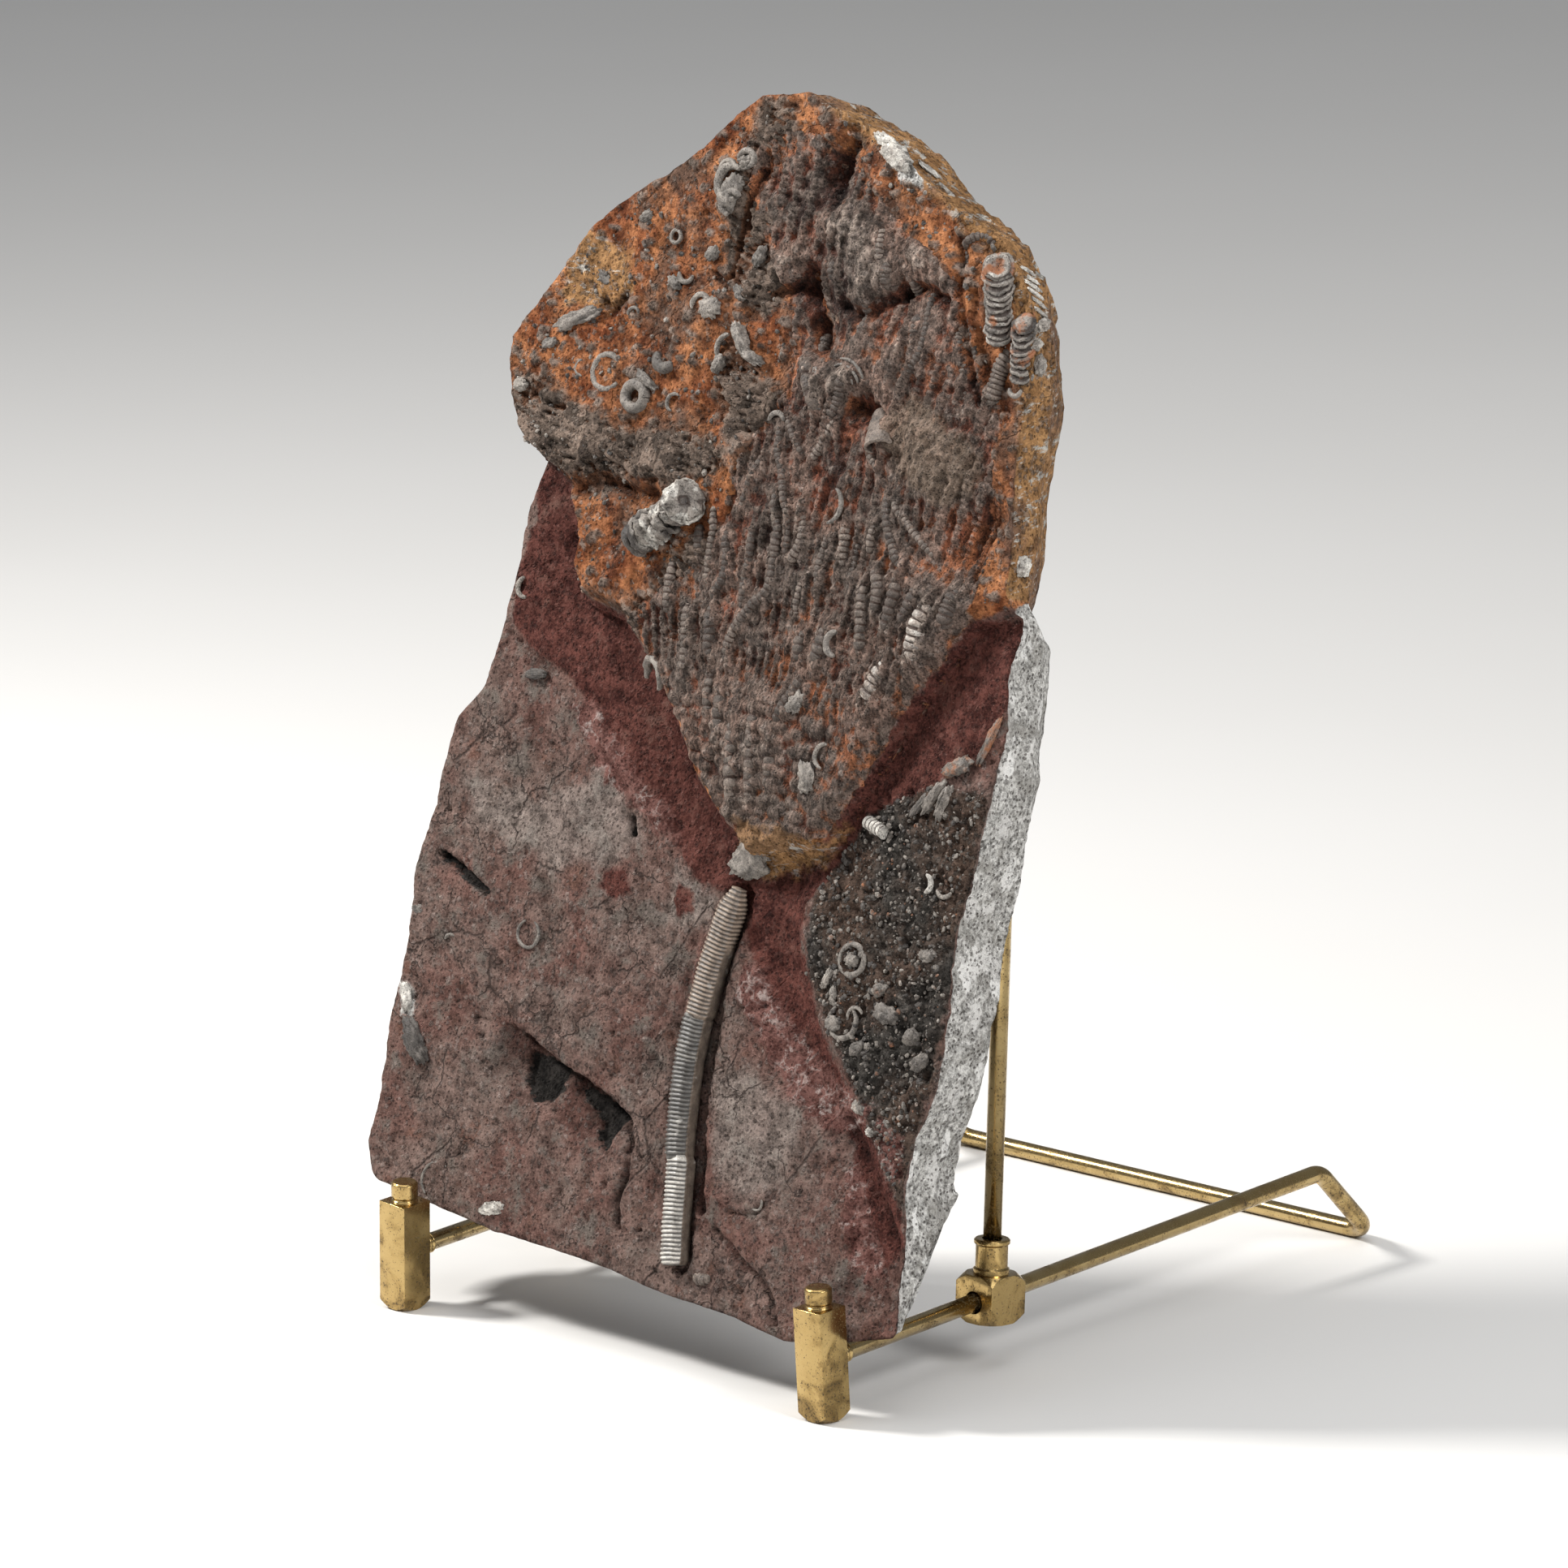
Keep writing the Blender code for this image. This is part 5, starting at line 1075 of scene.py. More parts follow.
def crown_material():
    """The crown: grey-brown calcite on what stands up, rust and dark red in the gaps, fibrous along its arms, with
    painted shade in its deep hollows and pits.
    """
    made, nodes = new_material("crown_rock")
    place = nodes.place()
    grain = nodes.grained(place, 3.2, 0.5)
    small = nodes.chipped(place, 1.8, 0.4)
    clouds = nodes.noise(place, 20.0, 5.0, 0.6, 0.4)
    patch = nodes.noise(place, 2.6, 6.0, 0.65)
    fan = nodes.add("ShaderNodeCombineXYZ", {0: nodes.attribute("across"), 1: nodes.attribute("reach")})
    fibres = nodes.noise(fan, 0.9, 4.0, 0.6)
    high = nodes.shaken(nodes.attribute("relief"), patch, 2.4)
    gap = nodes.mix(nodes.between(clouds, 0.38, 0.62), (0.042, 0.021, 0.016), (0.15, 0.048, 0.026))
    rust = nodes.mix(patch, (0.2, 0.06, 0.025), (0.35, 0.15, 0.072))
    gap = nodes.mix(zone(nodes, place, "rust", 6.0, 12.0, 3.0), gap, rust)
    body = nodes.mix(nodes.between(clouds, 0.4, 0.64), (0.118, 0.088, 0.072), (0.18, 0.116, 0.09))
    body = nodes.part(nodes.between(high, 0.9, 1.9), 0.7, body, (0.26, 0.21, 0.175))
    color = nodes.mix(nodes.between(high, -0.9, -0.1), gap, body)
    chip = nodes.mix(small["Tone"], (0.05, 0.036, 0.03), (0.28, 0.23, 0.2))
    color = nodes.part(small["Mask"], 0.45, color, chip)
    color = shaded(nodes, color, grain["Tint"], 0.3, 1.85)
    color = shaded(nodes, color, nodes.between(fibres, 0.36, 0.64), 0.55, 1.4)
    tan = nodes.mix(grain["Tint"], (0.1, 0.068, 0.046), (0.3, 0.22, 0.16))
    tan = shaded(nodes, tan, nodes.between(fibres, 0.36, 0.64), 0.66, 1.3)
    color = nodes.part(zone(nodes, place, "tan", 5.0, 8.0, 2.0), 0.6, color, tan)
    ochre = nodes.mix(patch, (0.17, 0.08, 0.035), (0.42, 0.25, 0.125))
    ochre = shaded(nodes, ochre, grain["Tint"], 0.5, 1.4)
    color = nodes.mix(zone(nodes, place, "ochre", 4.0, 9.0, 1.6), color, ochre)
    banded = nodes.add("ShaderNodeMapping", {"Vector": place, "Scale": (0.3, 0.3, 1.0)})
    bands = nodes.between(nodes.noise(banded, 1.6, 4.0, 0.6), 0.4, 0.62)
    white = nodes.mix(bands, (0.16, 0.14, 0.125), (0.48, 0.45, 0.41))
    color = nodes.mix(zone(nodes, place, "white", 3.0, 7.0, 1.0), color, white)
    color = nodes.part(grain["Flecks"], 0.45, color, (0.4, 0.36, 0.33))
    # Painted shade in the grain's pits
    color = nodes.part(grain["Pits"], 0.65, color, (0.026, 0.018, 0.014))
    # Painted shade: colours darken in the crown's deep hollows
    painted_hollow_shade = nodes.times(nodes.between(nodes.attribute("relief"), -0.8, -3.2), 0.8)
    color = nodes.mix(painted_hollow_shade, color, nodes.mix(1.0, color, (0.24, 0.17, 0.14), "MULTIPLY"))
    roughness = nodes.between(grain["Tint"], 0.0, 1.0, 0.92, 0.56)
    height = nodes.plus(grain["Height"], nodes.times(fibres, 0.8))
    height = nodes.plus(height, nodes.times(small["Height"], 0.5))
    close_material(nodes, color, roughness, height, 1.0, 1.7, specular=0.22)
    return made


def fossil_material(name, dark, pale, groove, white, rust, polish):
    """Fossil calcite: dark to pale by tone, stained in its grooves and painted with shade inside hollows, with white
    and rust patches.
    """
    made, nodes = new_material(name)
    place = nodes.place()
    grain = nodes.grained(place, 2.4, 0.35)
    patch = nodes.noise(place, 3.0, 6.0, 0.62)
    tone = nodes.shaken(nodes.attribute("tone"), patch, 0.7)
    color = nodes.mix(nodes.between(tone, 0.1, 0.75), dark, pale)
    color = nodes.mix(nodes.between(tone, 0.78, 0.98), color, white)
    color = shaded(nodes, color, grain["Tint"], 0.42, 1.6)
    # The groove value stains the joints and paints shade inside hollow tops and the horn
    stain = nodes.shaken(nodes.attribute("groove"), patch, 0.8)
    color = nodes.mix(nodes.between(stain, 0.35, 0.85), color, groove)
    red = nodes.shaken(nodes.attribute("redness"), patch, 0.9)
    color = nodes.mix(nodes.between(red, 0.34, 0.56), color, rust)
    # Painted shade in the grain's pits
    color = nodes.part(grain["Pits"], 0.5, color, (0.04, 0.03, 0.025))
    roughness = nodes.between(patch, 0.3, 0.7, polish, polish + 0.28)
    close_material(nodes, color, roughness, grain["Height"], 1.0, 0.6, specular=0.4)
    return made


def column_material():
    """The stem: grey to dark calcite by length, tan and brown where warm, near black in its ring joints and, as painted
    shade, on its right facet.
    """
    made, nodes = new_material("column_calcite")
    place = nodes.place()
    grain = nodes.grained(place, 2.6, 0.3)
    patch = nodes.noise(place, 3.2, 6.0, 0.62)
    tone = nodes.shaken(nodes.attribute("tone"), patch, 0.5)
    cold = nodes.mix(nodes.between(tone, 0.1, 0.8), (0.085, 0.08, 0.073), (0.66, 0.62, 0.56))
    warm = nodes.mix(patch, (0.17, 0.125, 0.092), (0.45, 0.355, 0.28))
    color = nodes.mix(nodes.between(nodes.attribute("warm"), 0.3, 0.8), cold, warm)
    color = shaded(nodes, color, grain["Tint"], 0.5, 1.45)
    # The groove value darkens the ring joints and paints shade on the right facet
    color = nodes.part(nodes.attribute("groove"), 1.05, color, (0.025, 0.02, 0.017))
    color = nodes.part(nodes.between(patch, 0.62, 0.72), 0.6, color, (0.5, 0.48, 0.44))
    roughness = nodes.between(patch, 0.3, 0.7, 0.3, 0.55)
    close_material(nodes, color, roughness, grain["Height"], 0.5, 0.2, specular=0.5)
    return made


def brass_material(name, amount, clean, stained):
    """Aged brass: polished metal under patches of brown tarnish and dark speckle."""
    made, nodes = new_material(name)
    place = nodes.place()
    worn = nodes.group(TARNISH, {"Place": place, "Size": 9.0, "Amount": amount}, None)
    dull = (clean[0] * 0.82, clean[1] * 0.78, clean[2] * 0.7)
    color = nodes.mix(nodes.between(worn["Cloud"], 0.35, 0.65), clean, dull)
    color = nodes.part(worn["Patches"], 0.75, color, stained)
    color = nodes.part(worn["Speckle"], 0.85, color, (0.05, 0.035, 0.02))
    rough = nodes.plus(nodes.times(worn["Patches"], 0.16), nodes.times(worn["Speckle"], 0.35))
    roughness = nodes.plus(rough, nodes.between(worn["Cloud"], 0.3, 0.7, 0.16, 0.27))
    metallic = nodes.between(worn["Speckle"], 0.0, 1.0, 1.0, 0.55)
    close_material(nodes, color, roughness, worn["Height"], 0.35, 0.06, metallic, 0.5)
    return made


# Geometry Nodes


class Recipe(Nodes):
    """A Geometry Nodes tree with named inputs, run once on a mesh to give a plain mesh."""

    def __init__(self, name, inputs):
        super().__init__(bpy.data.node_groups.new(name, "GeometryNodeTree"))
        self.tree.interface.new_socket("Geometry", in_out="OUTPUT", socket_type="NodeSocketGeometry")
        self.ids = {}
        for label, kind in [("Geometry", "NodeSocketGeometry")] + inputs:
            self.ids[label] = self.tree.interface.new_socket(label, in_out="INPUT", socket_type=kind).identifier
        start = self.tree.nodes.new("NodeGroupInput")
        self.given = {socket.name: socket for socket in start.outputs}

    def close(self, geometry):
        whole = self.add("GeometryNodeRealizeInstances", {0: geometry})
        dressed = self.add("GeometryNodeSetMaterial", {"Geometry": whole, "Material": self.given["Material"]})
        end = self.tree.nodes.new("NodeGroupOutput")
        self.tree.links.new(dressed, end.inputs[0])

    def named(self, name, kind="FLOAT"):
        return self.add("GeometryNodeInputNamedAttribute", {"Name": name}, data_type=kind)

    def keep(self, geometry, name, value, domain="POINT"):
        inputs = {"Geometry": geometry, "Name": name, "Value": value}
        return self.add("GeometryNodeStoreNamedAttribute", inputs, data_type="FLOAT", domain=domain)

    def chance(self, low, high, seed, which=1, number=None):
        inputs = {2: low, 3: high, 8: seed}
        if number is not None:
            inputs[7] = number
        return self.add("FunctionNodeRandomValue", inputs, which, data_type="FLOAT")

    def made_from(self, name, mesh, values):
        """The tree's result on a mesh, as a plain mesh."""
        holder = in_scene(name, mesh)
        step = holder.modifiers.new("recipe", "NODES")
        step.node_group = self.tree
        for label, value in values.items():
            step[self.ids[label]] = value
        holder.update_tag()
        result = evaluated_mesh(name, holder)
        bpy.data.objects.remove(holder)
        return result


FLOAT, WHOLE, SURFACE = "NodeSocketFloat", "NodeSocketInt", "NodeSocketMaterial"


def ringed_recipe():
    """Ringed lengths along poly-lines whose points carry a radius, a ring pitch and a tone."""
    recipe = Recipe("ringed_lengths", [
        ("Step", FLOAT), ("Ring depth", FLOAT), ("Sharpness", FLOAT), ("Sides", WHOLE), ("Unevenness", FLOAT),
        ("Lumpiness", FLOAT), ("Seed", WHOLE), ("Material", SURFACE),
    ])
    given = recipe.given
    line = recipe.add("GeometryNodeMeshToCurve", {"Mesh": given["Geometry"]})
    line = recipe.add("GeometryNodeResampleCurve", {"Curve": line, "Length": given["Step"]}, mode="LENGTH")
    length = recipe.add("GeometryNodeSplineParameter", {}, "Length")
    pitch = recipe.named("pitch")
    turn = recipe.times(recipe.math("DIVIDE", length, pitch), math.pi)
    near = recipe.math("ABSOLUTE", recipe.math("COSINE", turn))
    groove = recipe.math("POWER", near, given["Sharpness"])
    number = recipe.math("FLOOR", recipe.math("DIVIDE", length, pitch))
    uneven = recipe.chance(-1.0, 1.0, given["Seed"], 1, number)
    line = recipe.keep(line, "groove", recipe.times(groove, recipe.named("depth")))
    share = recipe.minus(1.0, recipe.times(recipe.named("groove"), given["Ring depth"]))
    share = recipe.plus(share, recipe.times(uneven, given["Unevenness"]))
    scale = recipe.times(recipe.named("radius"), share)
    ring = recipe.add("GeometryNodeCurvePrimitiveCircle", {"Resolution": given["Sides"], "Radius": 1.0})
    inputs = {"Curve": line, "Profile Curve": ring, "Scale": scale, "Fill Caps": True}
    tube = recipe.add("GeometryNodeCurveToMesh", inputs)
    spot = recipe.add("GeometryNodeInputPosition", {})
    rough = recipe.add("ShaderNodeTexNoise", {"Vector": spot, "Scale": 420.0, "Detail": 3.0}, "Color")
    centred = recipe.add("ShaderNodeVectorMath", {0: rough, 1: (0.5, 0.5, 0.5)}, operation="SUBTRACT")
    offset = recipe.add("ShaderNodeVectorMath", {0: centred, 3: given["Lumpiness"]}, operation="SCALE")
    recipe.close(recipe.add("GeometryNodeSetPosition", {"Geometry": tube, "Offset": offset}))
    return recipe


def grains_recipe():
    """Angular grains scattered over a mesh where its points' grain value is high."""
    recipe = Recipe("scattered_grains", [("Density", FLOAT), ("Smallest", FLOAT), ("Largest", FLOAT), ("Seed", WHOLE),
                                         ("Material", SURFACE)])
    given = recipe.given
    density = recipe.times(given["Density"], recipe.named("grains"))
    inputs = {"Mesh": given["Geometry"], "Density": density, "Seed": given["Seed"]}
    spread = recipe.add("GeometryNodeDistributePointsOnFaces", inputs, "Points")
    chip = recipe.add("GeometryNodeMeshIcoSphere", {"Radius": 1.0, "Subdivisions": 1})
    turn, shape = (
        recipe.add("FunctionNodeRandomValue", {0: low, 1: high, 8: seed}, 0, data_type="FLOAT_VECTOR")
        for low, high, seed in (((0.0, 0.0, 0.0), (6.28, 6.28, 6.28), 3), ((0.45, 0.6, 0.35), (1.2, 1.0, 0.8), 5))
    )
    roll = recipe.math("POWER", recipe.chance(0.0, 1.0, 7), 2.5)
    reach = recipe.minus(given["Largest"], given["Smallest"])
    size = recipe.math("MULTIPLY_ADD", roll, reach, given["Smallest"])
    scale = recipe.add("ShaderNodeVectorMath", {0: shape, 3: size}, operation="SCALE")
    inputs = {"Points": spread, "Instance": chip, "Rotation": turn, "Scale": scale}
    grains = recipe.add("GeometryNodeInstanceOnPoints", inputs)
    grains = recipe.keep(grains, "tone", recipe.chance(0.0, 0.7, 9), "INSTANCE")
    grains = recipe.keep(grains, "redness", recipe.chance(0.0, 0.4, 13), "INSTANCE")
    recipe.close(grains)
    return recipe


# The rock


def pad_depth(points, place, heading, length, radius):
    """The depth inside the round-ended bed of a loose piece."""
    turn = math.radians(heading)
    half = np.array((math.cos(turn), math.sin(turn))) * length / 2
    return radius - distance_to_path(points, [np.array(place) - half, np.array(place) + half])


def path_side(points, path):
    """Signed distance to a path, positive on its left, and a share that fades out at its ends."""
    points = np.asarray(points, float)
    path = np.asarray(path, float)
    runs = np.hypot(*np.diff(path, axis=0).T)
    reach = np.concatenate([[0.0], np.cumsum(runs)])
    nearest = np.full(len(points), np.inf)
    side, at = np.ones(len(points)), np.zeros(len(points))
    for index, (start, end) in enumerate(zip(path[:-1], path[1:])):
        run = end - start
        share = np.clip((points - start) @ run / (run @ run), 0.0, 1.0)
        offset = points - start - share[:, None] * run
        away = np.hypot(offset[:, 0], offset[:, 1])
        turn = np.sign(run[0] * offset[:, 1] - run[1] * offset[:, 0])
        closer = away < nearest
        side, at = np.where(closer, turn, side), np.where(closer, reach[index] + share * runs[index], at)
        nearest = np.minimum(nearest, away)
    fade = 0.12 * reach[-1]
    return nearest * side, ease(at / fade) * ease((reach[-1] - at) / fade)


def rock_zones(points):
    """The depth inside each colour zone of the face, in millimetres."""
    zones = {name: zone_depth(points, outlines) for name, outlines in COLOUR_ZONES.items()}
    zones["bed"] = depth_inside(points, RAISED_BED) - 2.2
    zones["grain_bed"] = depth_inside(points, DARK_BED)
    zones["rear"] = np.full(len(points), FAR_OUTSIDE)
    return zones


def ridged(points):
    """The rise of the ridges and furrows of the beds and the crown."""
    rise = np.zeros(len(points))
    for path, top, half_width in RIDGES:
        waver = 0.35 * half_width * fractal(points, 4.0, 3, 17)
        rise += top * np.exp(-(((distance_to_path(points, path) + waver) / half_width) ** 2))
    return rise


def bed_flakes(points):
    """1 on a flat flake of the raised bed, 0 between them."""
    bent = points + 1.6 * np.column_stack([fractal(points, 6, 2, 5), fractal(points, 6, 2, 6)])
    near, _, kind = chips(bent * (0.8, 1.25), 4.4, 61)
    return ease((0.36 - near) / 0.07) * (kind > 0.55)


def rock_relief(points, zones):
    """The rock's fine relief, by zone: smooth dented rock, chunky bed, rubble and velvety red."""
    bed = ease(0.3 + zones["bed"] / 3)
    rubble = ease(0.5 + zones["grain_bed"] / 3) * (1 - bed)
    red = ease(0.5 + zones["maroon"] / 2) * (1 - bed) * (1 - 0.5 * rubble)
    first, _, value = chips(points, 6.0, 51)
    dents = -0.9 * ease(1 - first / 0.26) * (value > 0.6)
    spot, _, kind = chips(points, 2.8, 53)
    bits = ease(1 - spot / 0.36) * (0.5 * (kind > 0.7) - 0.6 * (kind < 0.3))
    plain = 1.3 * fractal(points, 26, 4, 3) + 0.5 * fractal(points, 7, 5, 4, 0.66) + dents + bits
    near, _, tall = chips(points + 1.2 * np.column_stack([fractal(points, 7, 2, 5), fractal(points, 7, 2, 6)]), 4.2, 62)
    small, _, low = chips(points, 2.1, 71)
    chunky = 1.9 * fractal(points, 17, 6, 7, 0.66) + (0.4 - small) * 0.5 + 0.75 * bed_flakes(points)
    slate = ease(0.4 + zones["slate"] / 5)
    ledges = np.abs((points @ (0.25, 0.97) / 2.2 + 1.2 * fractal(points, 12, 3, 15)) % 1.0 - 0.5)
    chunky = chunky + slate * ((ledges - 0.25) * 2.6 + (0.45 - near) * 1.5 + (tall - 0.5) * 1.2)
    pebbly = 1.0 * fractal(points, 13, 4, 8, 0.62) + (0.45 - near) * 1.3 + (0.42 - small) * 1.4 + (low - 0.5) * 0.9
    velvet = 0.8 * fractal(points, 10, 5, 9, 0.62) + 0.5 * fractal(points, 2.6, 3, 10, 0.65) + (0.4 - small) * 0.5
    relief = plain
    for share, layer in ((red, velvet), (rubble, pebbly), (bed, chunky)):
        relief = relief * (1 - share) + layer * share
    crust = ease(0.4 + zones["crust"] / 1.6) * (1 - bed)
    relief = relief + crust * (0.4 + 1.2 * fractal(points, 4.4, 4, 12, 0.66))
    scar = ease(0.5 + zones["scar"] / 0.7)
    relief = relief * (1 - 0.5 * scar) - 1.9 * scar
    relief += ridged(points)
    for path, deep, half_width in CRACKS:
        waver = 0.5 * half_width * fractal(points, 3.0, 3, 13)
        relief -= deep * np.exp(-(((distance_to_path(points, path) + waver) / half_width) ** 2))
    for path, rise, reach in STEPS:
        side, fade = path_side(points, smoothed_path(path, 1.5))
        side = side + 0.7 * fractal(points, 5.0, 3, 14)
        relief += rise * ease(0.5 + side / 1.1) * ease(1 - np.abs(side) / reach) * fade
    return relief


def rock_height(points, zones, relief, edge):
    """The height of the rock face, with the stem's channel and the beds of the loose pieces."""
    height = face_height(points) + relief
    under = depth_inside(points, CROWN_OUTLINE)
    height -= 1.8 * ease((under - 1.0) / 2.5)
    side, _ = path_side(points, STEM_AXIS)
    side = side + 0.3 * fractal(points, 6.0, 3, 15)
    reach = np.where(side > 0, STEM_RADIUS + CHANNEL_LEFT_GAP, STEM_RADIUS + CHANNEL_RIGHT_GAP)
    channel = ease((reach - np.abs(side)) / 1.3)
    height = height * (1 - channel) + CHANNEL_FLOOR * channel
    for place, heading, length, radius in (
        (BARREL_PLACE, BARREL_HEADING, 22.0, BARREL_RADIUS), (STACK_PLACE, STACK_HEADING, 18.0, STACK_RADIUS)
    ):
        level = float(face_height([place])[0])
        bed = ease(0.3 + pad_depth(points, place, heading, length - 2 * radius, radius) / 1.5)
        height = height * (1 - bed) + np.minimum(height, level) * bed
    low_edge = ease(edge / 1.5)
    return np.minimum(height * low_edge + (height - 0.5 * relief) * (1 - low_edge), BED_RISE + 2.2)


def rough_outline(step):
    """The face's outline with rounded corners and a broken edge."""
    smooth = softened(FACE_OUTLINE, step)
    rough = 0.65 * fractal(smooth, 7.0, 4, 21, 0.6)
    foot = ease((smooth[:, 1] - 8) / 12)
    return smooth + outward(smooth) * (rough * (0.35 + 0.65 * foot))[:, None]


def make_rock(surface, grains_surface, recipe):
    generator = np.random.default_rng(5)
    outline = rough_outline(1.0)
    fine = staggered(outline, FINE_SPACING, 0.6, generator)
    bed = depth_inside(fine, RAISED_BED)
    rubble = depth_inside(fine, DARK_BED)
    under = depth_inside(fine, CROWN_OUTLINE)
    fine = fine[((bed > -3) | (rubble > -2)) & (under < 4)]
    plain = staggered(outline, PLAIN_SPACING, 0.7, generator)
    bed = depth_inside(plain, RAISED_BED)
    rubble = depth_inside(plain, DARK_BED)
    plain = plain[(bed <= -3.4) & (rubble <= -2.4)]
    hidden = staggered(outline, HIDDEN_SPACING, 3.0, generator)
    hidden = hidden[depth_inside(hidden, CROWN_OUTLINE) > 5]
    points, triangles, border = triangulated(outline, np.concatenate([fine, plain, hidden]))
    zones = rock_zones(points)
    relief = rock_relief(points, zones)
    edge = depth_inside(points, outline)
    height = rock_height(points, zones, relief, edge)
    whole = Sheets()
    flake = bed_flakes(points) * (zones["bed"] > -1)
    whole.add(on_slab(np.column_stack([points, height])), triangles, relief=relief, flake=flake, **zones)

    depths = side_depths(outline)
    turn = sunk(outline, depths, np.full(len(outline), 0.4))
    insets = BACK_INSET + 1.2 * np.maximum(SIDE_DEPTH - depths, 0.0)
    behind = sunk(outline, np.full(len(outline), SLAB_THICKNESS), insets)
    start = np.column_stack([outline, height[border]])
    knee = np.column_stack([turn, -depths])
    end = np.column_stack([behind, np.full(len(outline), -SLAB_THICKNESS)])
    facing = outward(outline)
    right = ease(2.0 * facing[:, 0])
    shares = [(start, knee, share) for share in np.linspace(0, 1, 17)[1:]]
    shares += [(knee, end, share) for share in np.linspace(0, 1, 9)[1:]]
    loops = [border]
    notch = rising(outline[:, 1], (193.0, 199.0))
    for index, (near, far, share) in enumerate(shares):
        ring = near * (1 - share) + far * share
        spot = on_slab(ring)
        first, _, _ = chips(np.column_stack([ring[:, 1], ring[:, 2] * 1.2 + ring[:, 0] * 0.4]), 5.5, 81)
        bumps = 0.75 * fractal(spot, 9.0, 6, 23, 0.64) + right * (0.42 - first) * 0.7
        last = index == len(shares) - 1
        ring[:, :2] += facing * (bumps * (0.0 if last else 1.0) - 0.35 * right)[:, None]
        deep = -ring[:, 2]
        ring_zones = dict.fromkeys(zones, FAR_OUTSIDE)
        ring_zones["white"] = np.where(right > 0.3, (deep - 0.6) * (1 - notch) - 6 * notch, -8.0)
        ring_zones["ochre"] = np.where(right > 0.1, 6.0 * notch - 8 * (1 - notch), -4.0)
        ring_zones["rear"] = np.where(right > 0.3, -6.0, deep - 1.0)
        ring_zones["bed"] = depth_inside(outline, RAISED_BED) - 2.0
        ring_zones["maroon"] = zone_depth(outline, MAROON_ZONES)
        start_at = whole.count
        after = np.roll(np.arange(len(ring)), -1)
        loop = start_at + np.arange(len(ring))
        faces = np.column_stack([loops[-1], loop, loop[after], loops[-1][after]]) - start_at
        whole.add(on_slab(ring), faces, relief=bumps, flake=0.0, **ring_zones)
        loops.append(loop)
    free = staggered(behind, BACK_SPACING, 1.8, generator)
    back, back_triangles, back_border = triangulated(behind, free)
    inner = np.ones(len(back), bool)
    inner[back_border] = False
    place = np.full(len(back), -1)
    place[back_border] = loops[-1]
    place[inner] = whole.count + np.arange(inner.sum())
    flat = back[inner]
    spot = on_slab(np.column_stack([flat, np.full(len(flat), -SLAB_THICKNESS)]))
    sunk_in = ease(depth_inside(flat, behind) / 6)
    rise = 0.3 + 0.5 * fractal(spot, 40.0, 6, 25, 0.6)
    rear_zones = {**dict.fromkeys(zones, FAR_OUTSIDE), "rear": -FAR_OUTSIDE}
    level = np.column_stack([flat, -SLAB_THICKNESS + np.clip(rise, 0.0, 2.0) * sunk_in])
    whole.add(on_slab(level), place[back_triangles[:, ::-1]] - whole.count, relief=rise - 0.5, flake=0.0,
              **rear_zones)
    piece_of("rock_slab", whole.mesh("rock_slab"), surface, "base", ["matrix_slab"])

    loose = ease(0.5 + zones["grain_bed"] / 3) * (zones["bed"] < -2) * (zones["maroon"] < 0.5)
    clear = depth_inside(points, CROWN_OUTLINE) < -1.0
    loose = loose + 0.22 * (zones["bed"] > 0) * clear * ease(0.6 + fractal(points, 18, 3, 31))
    loose = loose * (edge > 2.0) * (distance_to_path(points, STEM_AXIS) > 7)
    front = mesh_of("grain_field", on_slab(np.column_stack([points, height])), triangles, {"grains": loose})
    values = {"Density": 4.0e5, "Smallest": 0.3 * MM, "Largest": 1.2 * MM, "Seed": 3, "Material": grains_surface}
    grains = recipe.made_from("loose_grains", front, values)
    bpy.data.meshes.remove(front)
    return grains


# The crown


def arm_support(points):
    """The swell of rock beneath each arm."""
    swell = np.zeros(len(points))
    for path, radius, _, top in ARMS:
        away = distance_to_path(points, path)
        swell = np.maximum(swell, 0.5 * top * np.exp(-((away / (1.5 * radius)) ** 2)))
    return swell


def fan_place(points):
    """Distances across and along the fan of arms, in millimetres."""
    across, along = points[:, 0] - 20.0, points[:, 1] + 40.0
    return np.arctan2(across, along) * 220.0 + 2.2 * fractal(points, 24, 3, 41), np.hypot(across, along)


def crown_relief(points):
    """Lanes of weathered arms that fan up from the base, with blocky plates at its foot."""
    u, v = points[:, 0], points[:, 1]
    lane = fan_place(points)[0] / 3.5
    ridge = (0.5 + 0.5 * np.cos(2 * np.pi * lane)) ** 1.6
    start = hashed(np.column_stack([np.round(lane).astype(np.int64), np.zeros(len(u), np.int64)]), 3) % 97 / 97.0
    ring = np.abs(np.cos(np.pi * (fan_place(points)[1] / 1.7 + start))) ** 4
    shown = ease(0.55 + 1.1 * fractal(points, 15, 3, 43)) * rising(v, (140.0, 165.0))
    near, _, tall = chips(points, 3.0, 91)
    rough = 1.0 * fractal(points, 9, 5, 45, 0.68) + (0.42 - near) * 1.1 + 0.35 * fractal(points, 1.6, 2, 46)
    relief = shown * (1.5 * ridge - 0.75 * ring * ridge - 0.5) + rough * (1 - 0.45 * shown * ridge)
    relief += ridged(points)
    calyx = rising(v, (172.0, 152.0)) * rising(u, (52.0, 36.0))
    blocks, _, block_tone = chips(np.column_stack([u * 0.8 + 0.2 * v, v]), 3.3, 95)
    plates = (0.55 - blocks) * 2.4 + (block_tone - 0.5) * 0.7 + 0.3 * fractal(points, 3, 3, 47)
    return relief * (1 - calyx) + plates * calyx


